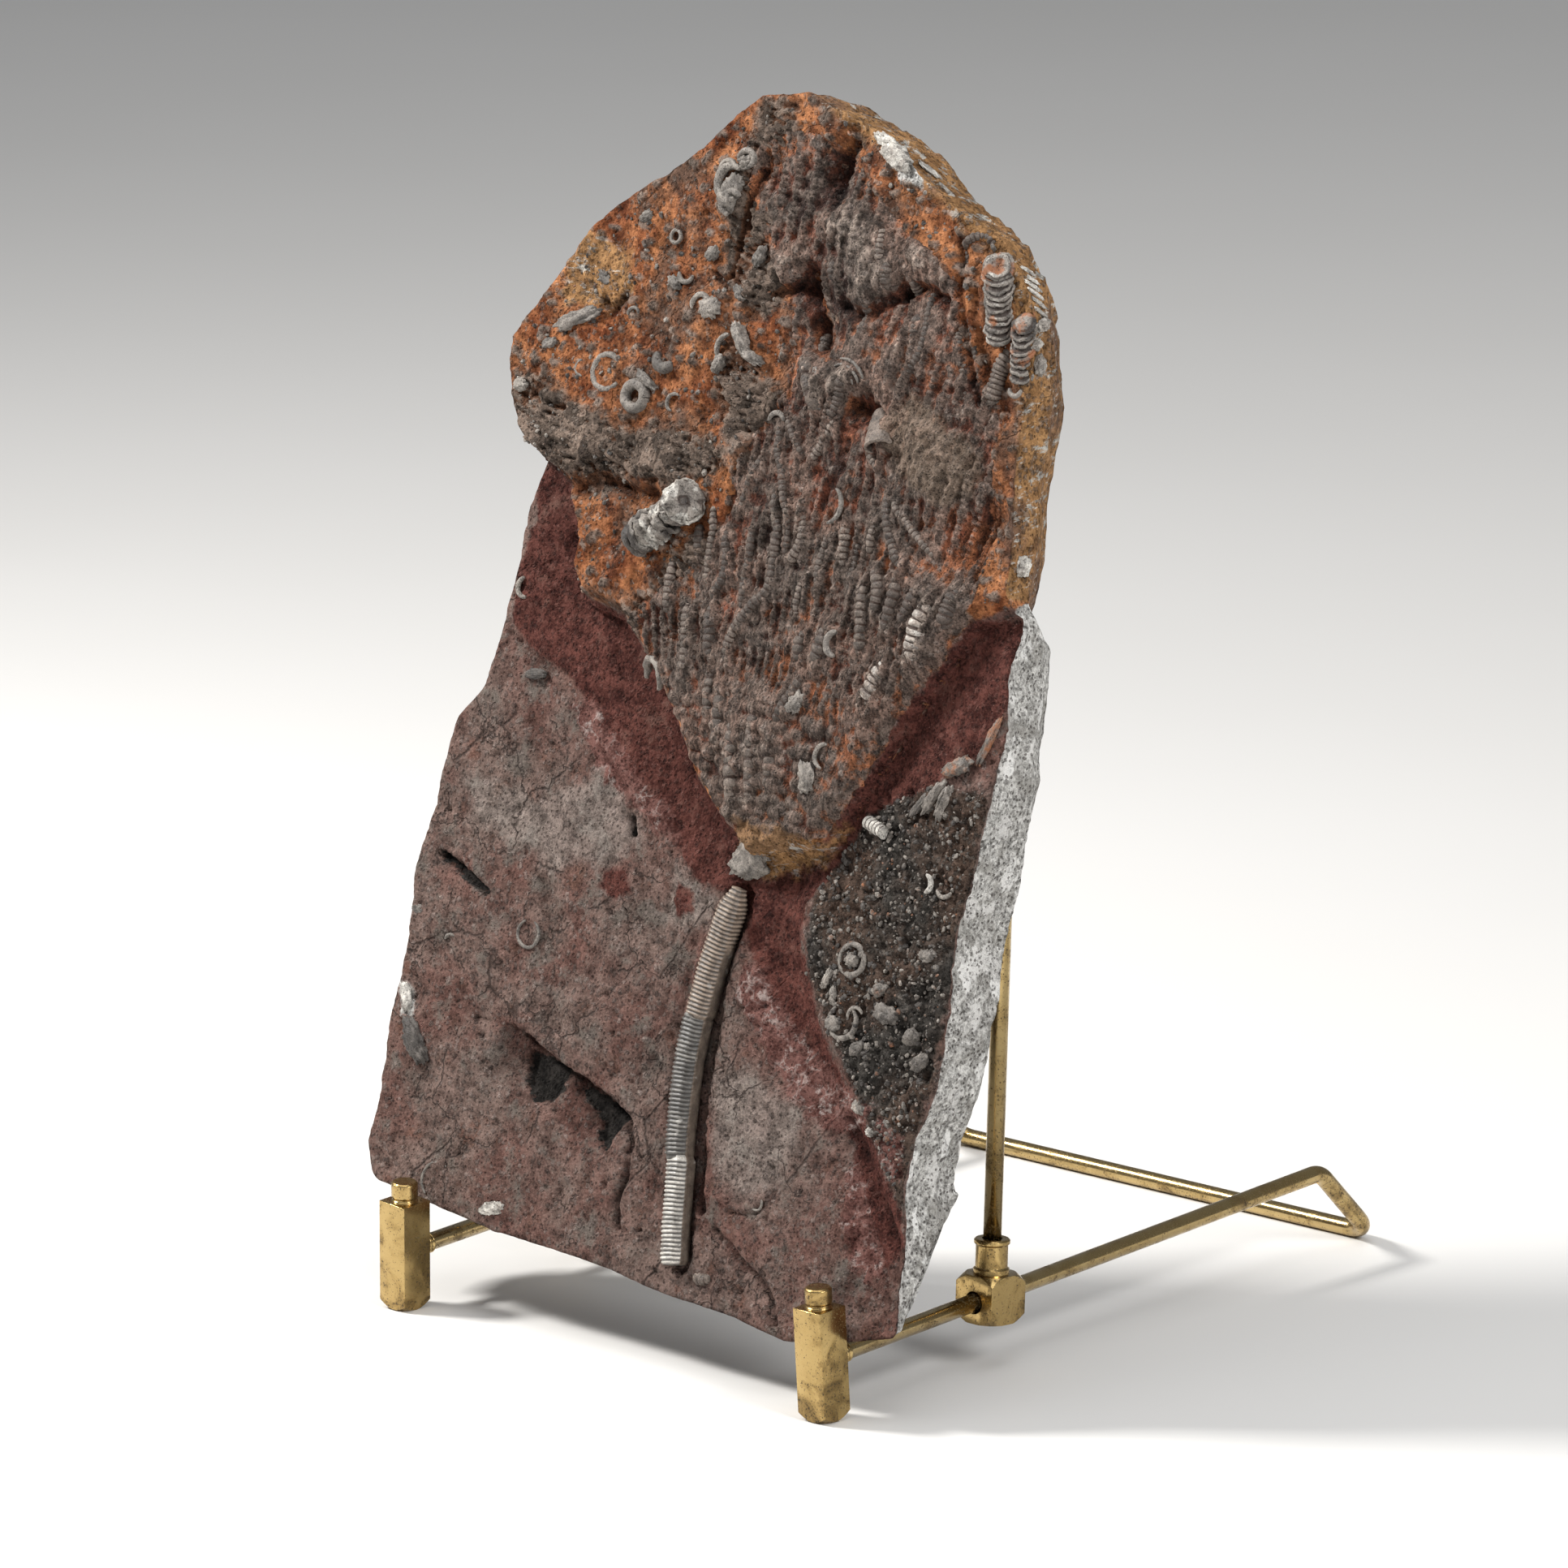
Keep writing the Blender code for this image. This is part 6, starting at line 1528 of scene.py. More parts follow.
def make_crown(surface):
    generator = np.random.default_rng(6)
    outline = softened(CROWN_OUTLINE, 0.9)
    outline = outline + outward(outline) * (0.6 + 0.9 * fractal(outline, 6, 4, 49, 0.6))[:, None]
    points, triangles, border = triangulated(outline, staggered(outline, CROWN_SPACING, 0.4, generator))
    depth = depth_inside(points, outline)
    relief = crown_relief(points) + arm_support(points)
    relief = relief * ease(0.25 + depth / 3.0) - 1.6 * (1 - ease(depth / 2.6))
    height = face_height(points) + relief
    zones = {
        "rust": -2.0 + 10.0 * fractal(points, 26, 3, 53) + 5 * (depth < 4),
        "tan": -distance_to_path(points, [(58, 234), (66, 228), (72, 226)]) + 9.0,
        "ochre": zone_depth(points, OCHRE_ZONES),
        "white": zone_depth(points, WHITE_ZONES),
        "across": fan_place(points)[0] * MM,
        "reach": fan_place(points)[1] * 0.2 * MM,
    }
    whole = Sheets()
    whole.add(on_slab(np.column_stack([points, height])), triangles, relief=relief - 0.4, **zones)
    floor, floor_triangles, floor_border = triangulated(outline, np.zeros((0, 2)))
    low = on_slab(np.column_stack([floor, np.full(len(floor), CROWN_FLOOR)]))
    start = whole.count
    under = {"relief": -1.0, "rust": 0.0, "tan": -9.0, "ochre": -9.0, "white": -9.0, "across": 0.0, "reach": 0.0}
    whole.add(low, floor_triangles[:, ::-1], **under)
    after = np.roll(np.arange(len(outline)), -1)
    top, bottom = border, start + floor_border
    walls = np.column_stack([top, bottom, bottom[after], top[after]]) - whole.count
    whole.add(np.zeros((0, 3)), walls, **under)
    piece_of("crown_bed", whole.mesh("crown_bed"), surface, "base", ["crinoid_crown"])


def lines_mesh(name, lines):
    """Poly-lines as a mesh of edges; each line is (points, radius, pitch, depth, tone, redness)."""
    points, edges, values = [], [], {key: [] for key in ("radius", "pitch", "depth", "tone", "redness")}
    for path, radius, pitch, depth, tone, redness in lines:
        start = len(points)
        points += [tuple(point) for point in np.asarray(path) * MM]
        edges += [(start + index, start + index + 1) for index in range(len(path) - 1)]
        for key, value, unit in (("radius", radius, MM), ("pitch", pitch, MM), ("depth", depth, 1.0),
                                 ("tone", tone, 1.0), ("redness", redness, 1.0)):
            values[key] += list(np.broadcast_to(np.asarray(value, float) * unit, len(path)))
    mesh = bpy.data.meshes.new(name)
    mesh.from_pydata(points, edges, [])
    for key, row in values.items():
        layer = mesh.attributes.new(key, "FLOAT", "POINT")
        layer.data.foreach_set("value", np.array(row, np.float32))
    return mesh


def make_arms(surface, recipe):
    """Every arm and ribbed length of the crown, ringed along its path."""
    generator = np.random.default_rng(8)
    lines = []
    for path, radius, pitch, top in ARMS:
        line = smoothed_path(path, 0.8)
        share = np.linspace(0, 1, len(line))
        line = line + 0.25 * np.column_stack([fractal(line, 5, 2, 55), fractal(line, 5, 2, 56)])
        rise = face_height(line) + ridged(line) + top - radius - 0.55 + 0.7 * fractal(line, 9, 3, 57)
        rise -= 0.8 * radius * (np.abs(2 * share - 1) ** 6)
        radii = radius * (1 - 0.25 * np.abs(2 * share - 1) ** 5)
        tone, redness = generator.uniform(0.1, 0.5), generator.uniform(0.05, 0.3)
        tone = 0.85 if radius > 3.0 else tone + 0.15 * fractal(line, 6, 2, 58)
        lines.append((on_slab(np.column_stack([line, rise])), radii, pitch, 1.0, tone, redness))
    values = {"Step": 0.24 * MM, "Ring depth": 0.17, "Sharpness": 6.0, "Sides": 14, "Unevenness": 0.06,
              "Lumpiness": 0.45 * MM, "Seed": 4, "Material": surface}
    arms = recipe.made_from("crown_arms", lines_mesh("arm_lines", lines), values)
    piece_of("crown_arms", arms, surface, "base")


def make_rings(surface, recipe):
    """Rings, crescents and curled shells that lie in the beds."""
    lines = []
    for u, v, radius, first, last, half, rise, tone in ARCS:
        angles = np.radians(np.linspace(first, last, max(8, int(abs(last - first) / 9))))
        line = np.column_stack([u + radius * np.cos(angles), v + 0.95 * radius * np.sin(angles)])
        open_ends = last - first < 360
        share = np.linspace(-1, 1, len(line))
        base = face_height(line)
        height = base.mean() * 0.5 + base * 0.5 + rise - half
        radii = half * (1 - 0.55 * share**4 * open_ends)
        lines.append((on_slab(np.column_stack([line, height])), radii, 2.2, 0.35, tone, 0.0))
    values = {"Step": 0.4 * MM, "Ring depth": 0.12, "Sharpness": 4.0, "Sides": 12, "Unevenness": 0.04,
              "Lumpiness": 0.5 * MM, "Seed": 6, "Material": surface}
    path, radius, pitch = WHITE_BARREL
    line = smoothed_path(path, 0.4)
    lines.append((on_slab(np.column_stack([line, face_height(line) + 0.6 * radius])), radius, pitch, 1.0, 0.95, 0.0))
    return recipe.made_from("bed_rings", lines_mesh("ring_lines", lines), values)


def ball(level=3):
    """Points and faces of a unit ball."""
    shape = bmesh.new()
    bmesh.ops.create_icosphere(shape, subdivisions=level, radius=1.0)
    points = np.array([tuple(vertex.co) for vertex in shape.verts])
    faces = [tuple(vertex.index for vertex in face.verts) for face in shape.faces]
    shape.free()
    return points, faces


def round_the_edge(spread, lift):
    """Slab points for (u, v) and a lift, bent down the side where u lies past the upper right edge."""
    edge_u, edge_v = np.array(RIGHT_EDGE, float).T
    edge = np.interp(spread[:, 1], edge_v, edge_u)
    past = spread[:, 0] - edge
    turn = 0.5 * math.pi * ease(0.5 + past / 3.0)
    kept = np.minimum(spread[:, 0], edge)
    level = face_height(np.column_stack([kept - 1.0, spread[:, 1]])) - np.maximum(past, 0.0) / SIDE_SLANT
    return np.column_stack([kept + lift * np.sin(turn), spread[:, 1], level + lift * np.cos(turn)])


def surface_tree(name):
    mesh = bpy.data.objects[name].data
    points = np.empty(3 * len(mesh.vertices), np.float32)
    mesh.vertices.foreach_get("co", points)
    return BVHTree.FromPolygons((points.reshape(-1, 3) / MM).tolist(), [tuple(face.vertices) for face in mesh.polygons])


def make_pebbles():
    """Lumps, pebbles and plates as worn, chipped pieces half sunk in the rock."""
    whole = Sheets()
    rock = surface_tree("rock_slab")
    points, faces = ball(4)
    for index, (u, v, length, width, heading, height, tone, redness) in enumerate(PEBBLES):
        worn = points * (1 + 0.34 * smooth_noise(points * 1.9 + index * 3.1, 63)[:, None])
        worn = worn * (1 + 0.24 * smooth_noise(points * 4.6 + index * 5.7, 64)[:, None])
        worn = worn * (1 + 0.12 * smooth_noise(points * 11.0 + index * 7.3, 62)[:, None])
        worn = np.sign(worn) * np.abs(worn) ** 0.86
        turn = math.radians(heading)
        along = worn[:, 0] * length
        across = worn[:, 1] * width
        spread = np.column_stack([
            u + along * math.cos(turn) - across * math.sin(turn),
            v + along * math.sin(turn) + across * math.cos(turn),
        ])
        base = 0.6 * face_height([(u, v)])[0] + 0.4 * face_height(spread)
        level = base + worn[:, 2] * height * 0.75 + height * 0.2
        placed = on_slab(np.column_stack([spread, level]))
        if v > 197 and depth_inside([(u, v)], FACE_OUTLINE)[0] < 2.0:
            placed = on_slab(round_the_edge(spread, worn[:, 2] * height * 0.75 + height * 0.2))
            middle = on_slab(round_the_edge(np.array([(u, v)], float), np.zeros(1)))[0]
            placed += np.array(rock.find_nearest(middle.tolist())[0]) - middle
        whole.add(placed, faces, tone=tone, redness=redness, groove=0.0, warm=0.0)
    return whole.mesh("bed_pebbles")


# Stem and loose lengths of stem


def make_stem(surface):
    """The stem in its channel: fine rings on its front, a facet on its right painted dark as shade, three broken
    lengths.
    """
    path = np.concatenate([[(17.0, 10.2)], STEM_AXIS, [(18.4, 109.6)]])
    line = smoothed_path(path, 0.19, 3)
    sides = FOSSIL_SIDES
    v = line[:, 1]
    breaks = STEM_BREAKS
    shift = np.where(v < breaks[0], 0.35, np.where(v < breaks[1], -0.35, 0.15))
    line[:, 0] += shift + 0.25 * fractal(line, 14, 3, 65)
    run = np.concatenate([[0.0], np.cumsum(np.hypot(*np.diff(line, axis=0).T))])
    pitch = STEM_RING_PITCH
    number = np.floor(run / pitch)
    uneven = hashed(np.column_stack([number, number]).astype(np.int64), 9) % 101 / 100.0 - 0.5
    groove = np.abs(np.cos(np.pi * run / pitch)) ** 2.4
    gap = np.exp(-(((v - breaks[0]) / 0.45) ** 2)) + np.exp(-(((v - breaks[1]) / 0.5) ** 2))
    radius = STEM_RADIUS * (1 - 0.06 * rising(v, (60, 30)) + 0.03 * uneven * 0.5) - 0.5 * gap
    radius *= (1 - 0.5 * rising(v, (103.0, 110.0)) ** 1.5) * (0.82 + 0.18 * rising(v, (10.0, 11.6)))
    angles = angles_round(sides)

    def facet(centre, reach):
        cosine = np.cos(angles - math.radians(centre))
        return np.where(cosine > 0.05, reach / np.maximum(cosine, 0.05), 9.0)

    shape = np.minimum(1.0, np.minimum(facet(276, 0.93), facet(8, 0.86)))
    ridged = ease((np.cos(angles - math.radians(260)) - 0.12) / 0.12)
    ridged = np.maximum(ridged[None, :], 0.9 * rising(v, (92.0, 97.0))[:, None])
    depth = 0.11 * ridged * groove[:, None]
    level = STEM_RISE + 0.25 * fractal(line, 16, 2, 66)
    centre = on_slab(np.column_stack([line, level]))
    points = tube_points(centre, radius, sides, SLAB_TURN[:, 2], shape[None, :] - depth)
    rough = 0.12 * fractal(points, 2.6, 3, 67)
    points += (rough[:, None] * SLAB_TURN[:, 2])
    tone = np.where(v < breaks[0], 0.62, np.where(v < breaks[1], 0.26, 0.5)) + 0.14 * fractal(line, 7, 3, 68)
    warm = np.where(v < breaks[1], 0.1, 0.85)
    # The right facet is made warm, lower in tone and dark by its groove value: painted shade on that side
    worn = ease((np.cos(angles - math.radians(18)) - 0.74) / 0.08)[None, :] * rising(v, (97.0, 92.0))[:, None]
    warm = np.maximum(warm[:, None], worn)
    values = {
        "tone": (tone[:, None] - 0.12 * worn).ravel(), "warm": warm.ravel(),
        "groove": np.maximum(0.9 * groove[:, None] * ridged, 0.62 * worn).ravel(), "redness": np.zeros(len(points)),
    }
    mesh = mesh_of("stem", points, tube_faces(len(line), sides), values)
    piece_of("crinoid_column", mesh, surface, "base", ["crinoid_stem"])


def disc_pile(spots, facings, radii, thick, hollow, seed):
    """Points, faces and values of a pile of columnals, each with its own middle and facing, hollow at the top.

    The spots and facings are in slab axes, and the spots are measured from the slab's face plane.
    """
    rng = np.random.default_rng(seed)
    sides = FOSSIL_SIDES
    angles = angles_round(sides)
    facings = np.asarray(facings, float)
    facings = unit(facings)
    side = np.array((1.0, 0.0, 0.0))
    rings, tones, grooves, reds = [], [], [], []

    def ring(spot, facing, along, size, tone, groove, red, bend=0.0):
        first = side - (side @ facing) * facing
        first /= np.linalg.norm(first)
        second = np.cross(facing, first)
        wave = 1 + 0.03 * np.cos(3 * angles + bend) + 0.02 * np.cos(17 * angles + 3 * bend)
        spokes = np.cos(angles)[:, None] * first + np.sin(angles)[:, None] * second
        rings.append(spot + facing * along + size * wave[:, None] * spokes)
        tones.append(tone)
        grooves.append(groove)
        reds.append(red)

    for index, (spot, facing, radius) in enumerate(zip(spots, facings, radii)):
        spot = np.asarray(spot, float) + np.append(rng.uniform(-0.22, 0.22, 2), 0.0)
        grown = radius * rng.uniform(0.9, 1.05)
        tone = 0.5 + rng.uniform(-0.24, 0.24)
        facing = facing + rng.uniform(-0.09, 0.09, 3)
        facing = facing / np.linalg.norm(facing)
        for share, size in ((-0.5, 0.8), (-0.3, 0.95), (0.0, 1.0), (0.26, 0.96), (0.44, 0.8)):
            ring(spot, facing, share * thick, grown * size, tone, 0.85 if size < 0.9 else 0.0, 0.0, 2.1 * index)
    # Deeper into the hollow the groove value rises and the tone falls: painted shade inside it
    for share, along, groove, red in hollow:
        ring(spot, facing, (0.5 + along) * thick, grown * share, 0.6 - 0.3 * groove, groove, red, 2.1 * index)
    points = on_slab(np.array(rings).reshape(-1, 3))
    values = {"tone": np.repeat(tones, sides), "groove": np.repeat(grooves, sides), "redness": np.repeat(reds, sides)}
    return points, tube_faces(len(rings), sides), values


def spread_between(start, end, count, power=1.0):
    share = np.linspace(0, 1, count)[:, None] ** power
    return np.array(start) * (1 - share) + np.array(end) * share


def crumbled(points, size, amount, seed):
    """Points pushed every way by noise, in millimetres."""
    return points + amount * np.column_stack([fractal(points, size, 4, seed + axis, 0.62) for axis in range(3)])


def make_barrel(surface):
    """A thick columnal that faces the front, on a broken pale block with a dark ribbed end."""
    level = float(face_height([BARREL_PLACE])[0])
    spots = spread_between((-31.0, 194.0, level + 1.8), (-18.6, 204.0, level + 2.0), 7)
    facings = spread_between((0.86, 0.48, 0.1), (0.84, 0.34, 0.42), 7)
    body, faces, values = disc_pile(spots, facings, np.linspace(5.1, 5.1, 7), 2.7, [(0.5, 0.0, 0.6, 0.0)], 12)
    local = (body - SLAB_ORIGIN) @ SLAB_TURN
    along = (local[:, 0] + 31.0) * 0.8 + (local[:, 1] - 194.0) * 0.6
    broken = ease((along - 1.0) / 3.0) * ease((17.0 - along) / 2.0)
    facets = np.round(np.column_stack([fractal(body, 6.5, 3, 70 + axis) for axis in range(3)]) * 1.7) / 1.7
    body = crumbled(body, 3.0, 0.45, 76) + 1.9 * broken[:, None] * facets
    chipped = fractal(body, 5.0, 3, 79)
    values["tone"] = np.where(along > 2.6, 0.7 + 0.8 * chipped, 0.2 + 0.3 * chipped)
    values["groove"] = values["groove"] * (1 - 0.85 * broken)
    values["redness"] = 0.06 + 0.2 * fractal(body, 7.0, 2, 80)
    pile = Sheets()
    pile.add(body, faces, warm=0.0, **values)
    spots = [(-15.4, 206.0, level + 2.6), (-14.4, 206.2, level + 3.9)]
    # The hollow top's groove values rise towards its bottom: painted shade
    hollow = [(0.9, -0.02, 0.0, 0.0), (0.72, 0.1, 0.0, 0.0), (0.52, 0.14, 0.0, 0.0), (0.34, 0.06, 0.2, 0.05),
              (0.2, -0.16, 0.8, 0.2), (0.08, -0.3, 1.0, 0.2)]
    disc, faces, values = disc_pile(spots, [(0.76, 0.12, 0.64)] * 2, [5.6, 5.7], 2.2, hollow, 15)
    disc = crumbled(crumbled(disc, 7.0, 0.9, 82), 2.6, 0.45, 83)
    values["groove"] = np.where(values["groove"] < 0.84, values["groove"], 0.3)
    clefts = np.exp(-((fractal(disc, 8.0, 3, 84) / 0.12) ** 2))
    values["groove"] = np.maximum(values["groove"], 0.75 * clefts)
    values["tone"] = values["tone"] + 0.16 + 0.6 * fractal(disc, 5.0, 4, 86)
    pile.add(disc, faces, warm=0.0, **values)
    piece_of("stem_barrel", pile.mesh("barrel"), surface, "base", ["loose_stem_barrel"])


def make_stack(surface):
    """Two leaning piles of columnals at the right edge, the larger with a hollow ochre top."""
    pile = Sheets()
    # Groove values rise into the hollow tops as painted shade; the red is ochre stain
    top = [(0.78, 0.16, 0.0, 0.0), (0.6, 0.1, 0.1, 0.2), (0.46, -0.25, 0.3, 0.5), (0.26, -0.5, 0.4, 0.55),
           (0.1, -0.5, 0.6, 0.5)]
    small_top = [(0.6, 0.4, 0.0, 0.2), (0.2, 0.5, 0.2, 0.4)]
    for foot, spots, facings, radii, thick, hollow, seed, lump, noise_seed, lift, tone_share, red in (
        (STACK_PLACE, ((80.2, 261.2, 0.2), (77.8, 278.8, 1.8)), ((0.2, 0.72, 0.66), (0.42, 0.4, 0.82)),
         (3.7, 4.4, 11), 1.35, top, 13, 0.55, 89, 0.2, (0.5, 93), (1.0, 0.2, 0.5, 94)),
        ((89.0, 258.0), ((88.6, 252.6, -0.2), (87.6, 265.6, 0.6)), ((0.3, 0.68, 0.66), (0.2, 0.5, 0.84)),
         (3.0, 3.5, 8), 1.4, small_top, 14, 0.6, 95, 0.0, (0.4, 99), (0.6, 0.28, 0.4, 98)),
    ):
        level = float(face_height([foot])[0])
        ends = [(u, v, level + rise) for u, v, rise in spots]
        count = radii[2]
        points, faces, values = disc_pile(
            spread_between(*ends, count), spread_between(*facings, count), np.linspace(*radii), thick, hollow, seed
        )
        points = crumbled(crumbled(points, 6.0, lump, noise_seed), 2.4, 0.35, noise_seed + 1)
        values["tone"] = values["tone"] + lift + tone_share[0] * fractal(points, 4.0, 3, tone_share[1])
        stain = red[1] + red[2] * fractal(points, 5.0, 3, red[3])
        values["redness"] = np.maximum(red[0] * values["redness"], stain)
        pile.add(points, faces, warm=0.0, **values)
    piece_of("stem_stack", pile.mesh("stack"), surface, "base", ["loose_stem_stack"])


def make_horn():
    """A hollow horn that opens to the lower right, standing out of the crown."""
    sides = FOSSIL_SIDES
    shares = np.linspace(0, 1, 26)
    top, mouth = np.array(HORN_TOP), np.array(HORN_MOUTH)
    line = top + (mouth - top) * shares[:, None]
    rise = face_height([HORN_TOP])[0] + 0.2 + 3.4 * shares**0.8
    radii = HORN_RADIUS * (0.35 + 0.65 * shares**0.7) * (1 + 0.03 * np.cos(shares * 40))
    outer = np.column_stack([line, rise])
    inner_shares = shares[::-1][:18]
    inner = outer[::-1][:18]
    path = np.concatenate([outer, outer[-1:], inner])
    sizes = np.concatenate([radii, radii[-1:] * 0.86, radii[::-1][:18] * (0.76 - 0.3 * (1 - inner_shares))])
    along = SLAB_TURN @ np.append(mouth - top, 3.4)
    along /= np.linalg.norm(along)
    first = np.cross(along, SLAB_TURN[:, 2])
    first /= np.linalg.norm(first)
    second = np.cross(along, first)
    angles = angles_round(sides)
    squash = 0.78
    spokes = np.cos(angles)[:, None] * first + squash * np.sin(angles)[:, None] * second
    points = (on_slab(path)[:, None] + sizes[:, None, None] * spokes[None]).reshape(-1, 3)
    points = points + 0.22 * fractal(points, 4.0, 3, 73)[:, None] * SLAB_TURN[:, 2]
    # Inside the horn the tone falls and the groove value rises with depth: painted shade in its hollow
    tone = np.repeat(np.concatenate([0.35 + 0.2 * shares, [0.7], 0.3 - 0.2 * (1 - inner_shares)]), sides)
    groove = np.repeat(np.concatenate([np.zeros(len(outer) + 1), 0.4 + 0.5 * (1 - inner_shares)]), sides)
    return points, tube_faces(len(path), sides), {"tone": tone, "groove": groove}


# Brass stand


def rounded_path(corners, radius, steps):
    """A route through corners with each inner corner turned on an arc."""
    corners = [Vector(corner) for corner in corners]
    points = [corners[0]]
    for before, corner, after in zip(corners, corners[1:], corners[2:]):
        to_before = (before - corner).normalized()
        to_after = (after - corner).normalized()
        half = to_before.angle(to_after) / 2
        reach = radius / math.tan(half)
        centre = corner + (to_before + to_after).normalized() * radius / math.sin(half)
        start = corner + to_before * reach - centre
        end = corner + to_after * reach - centre
        whole = start.angle(end)
        for step in range(steps + 1):
            share = step / steps
            blend = start * math.sin((1 - share) * whole) + end * math.sin(share * whole)
            points.append(centre + blend / math.sin(whole))
    return points + [corners[-1]]


def rod_height(y):
    return ROD_START_HEIGHT + y * math.tan(math.radians(ROD_PITCH))


def turned_ring_points(path, radii, sides):
    """Rings about a bent path, carried along it without a twist."""
    path = np.asarray(path, float)
    runs = np.diff(path, axis=0)
    runs = unit(runs)
    along = np.vstack([runs[:1], (runs[:-1] + runs[1:]) / 2, runs[-1:]])
    along = unit(along)
    first = np.cross(along[0], (0.3, 0.2, 1.0))
    angles = angles_round(sides)
    points = []
    for place, ahead, radius in zip(path, along, radii):
        first = first - ahead * (first @ ahead)
        first = first / np.linalg.norm(first)
        second = np.cross(ahead, first)
        points.append(place + radius * (np.cos(angles)[:, None] * first + np.sin(angles)[:, None] * second))
    return np.concatenate(points)


def rod_mesh(name, path, radii):
    """A round rod along a route, its ends closed flat."""
    points = turned_ring_points(path, radii, ROD_SIDES) + SHIFT
    return mesh_of(name, points, tube_faces(len(path), ROD_SIDES))


def make_base_rod(surface):
    half = POST_SPACING / 2
    tip_y = POST_SIDE / 2 - POST_HOLE_DEPTH + ROD_GAP
    corners = [(half, tip_y, rod_height(tip_y)), (half, SIDE_BEND_Y, rod_height(SIDE_BEND_Y))]
    corners.append((half, CROSS_BAR_Y, ROD_RADIUS))
    route = rounded_path(corners + [(-x, y, z) for x, y, z in reversed(corners)], BEND_RADIUS, BEND_STEPS)
    face_y = POST_SIDE / 2 + 0.6
    steps = THREAD_STEPS * THREAD_TURNS
    ys = [face_y + THREAD_PITCH * index / THREAD_STEPS for index in range(steps + 1)]
    waves = [0.5 - 0.5 * math.cos(2 * math.pi * index / THREAD_STEPS) for index in range(steps + 1)]
    swell = [1.0 + (THREAD_SWELL - 1.0) * wave**0.7 for wave in waves]
    thread = [Vector((half, y, rod_height(y))) for y in ys]
    path = [route[0]] + thread + route[1:-1] + [Vector((-x, y, z)) for x, y, z in reversed(thread)] + [route[-1]]
    radii = [1.0] + swell + [1.0] * (len(route) - 2) + swell[::-1] + [1.0]
    mesh = rod_mesh("base_rod_smooth", path, np.array(radii) * ROD_RADIUS)
    piece_of("stand_frame_rod", mesh, surface, "base", ["base_rod"])


def make_back_bar(surface):
    half = POST_SPACING / 2
    lean = math.radians(BACK_REST_LEAN)
    foot = rod_height(SLIDER_Y)
    start = foot + (COLLAR_TOP - SOCKET_DEPTH + 0.3) * math.cos(lean)

    def upright(x, height):
        return (x, SLIDER_Y + (height - foot) * math.tan(lean), height)

    corners = [upright(half, start), upright(half, REST_BAR_HEIGHT)]
    route = rounded_path(corners + [(-x, y, z) for x, y, z in reversed(corners)], BEND_RADIUS, BEND_STEPS)
    mesh = rod_mesh("back_bar_smooth", route, np.full(len(route), ROD_RADIUS))
    piece_of("back_rest_rod", mesh, surface, "back_rest", ["back_rest_bar"])


def turned_mesh(name, profile, sides):
    """A turned body on Z from (radius, height) pairs, lowest first."""
    angles = angles_round(sides)
    points = [(radius * math.cos(a), radius * math.sin(a), height) for radius, height in profile for a in angles]
    return mesh_of(name, points, tube_faces(len(profile), sides))


def block_mesh(name, side, low, high):
    half = side / 2
    corners = [(-half, -half), (half, -half), (half, half), (-half, half)]
    points = [(x, y, z) for z in (low, high) for x, y in corners]
    return mesh_of(name, points, tube_faces(2, 4))


def cut_shape(name, mesh, place, steps):
    """A mesh after Boolean steps with other meshes, each (operation, mesh, place), edges bevelled."""
    made = in_scene(name, mesh)
    made.matrix_world = place
    others = []
    for operation, other_mesh, other_place in steps:
        other = in_scene(other_mesh.name, other_mesh)
        other.matrix_world = other_place
        others.append(other)
        step = made.modifiers.new(operation.lower(), "BOOLEAN")
        step.operation, step.object, step.solver = operation, other, "EXACT"
    bevel = made.modifiers.new("edges", "BEVEL")
    bevel.width, bevel.segments = BEVEL * MM, 3
    bevel.limit_method, bevel.angle_limit = "ANGLE", math.radians(BEVEL_ANGLE)
    bevel.harden_normals = False
    result = evaluated_mesh(name, made)
    result.transform(made.matrix_world)
    for old in [made] + others:
        bpy.data.objects.remove(old)
    result.materials.clear()
    shape = bmesh.new()
    shape.from_mesh(result)
    bmesh.ops.remove_doubles(shape, verts=shape.verts, dist=0.004 * MM)
    bmesh.ops.dissolve_degenerate(shape, edges=shape.edges, dist=0.002 * MM)
    bmesh.ops.recalc_face_normals(shape, faces=shape.faces)
    for edge in shape.edges:
        edge.smooth = len(edge.link_faces) == 2 and edge.calc_face_angle(0.0) < math.radians(SMOOTH_ANGLE)
    shape.to_mesh(result)
    shape.free()
    result.polygons.foreach_set("use_smooth", [True] * len(result.polygons))
    return result


def placed(x, y, z, turn):
    return Matrix.Translation(Vector(np.array((x, y, z)) + SHIFT) * MM) @ turn.to_4x4()


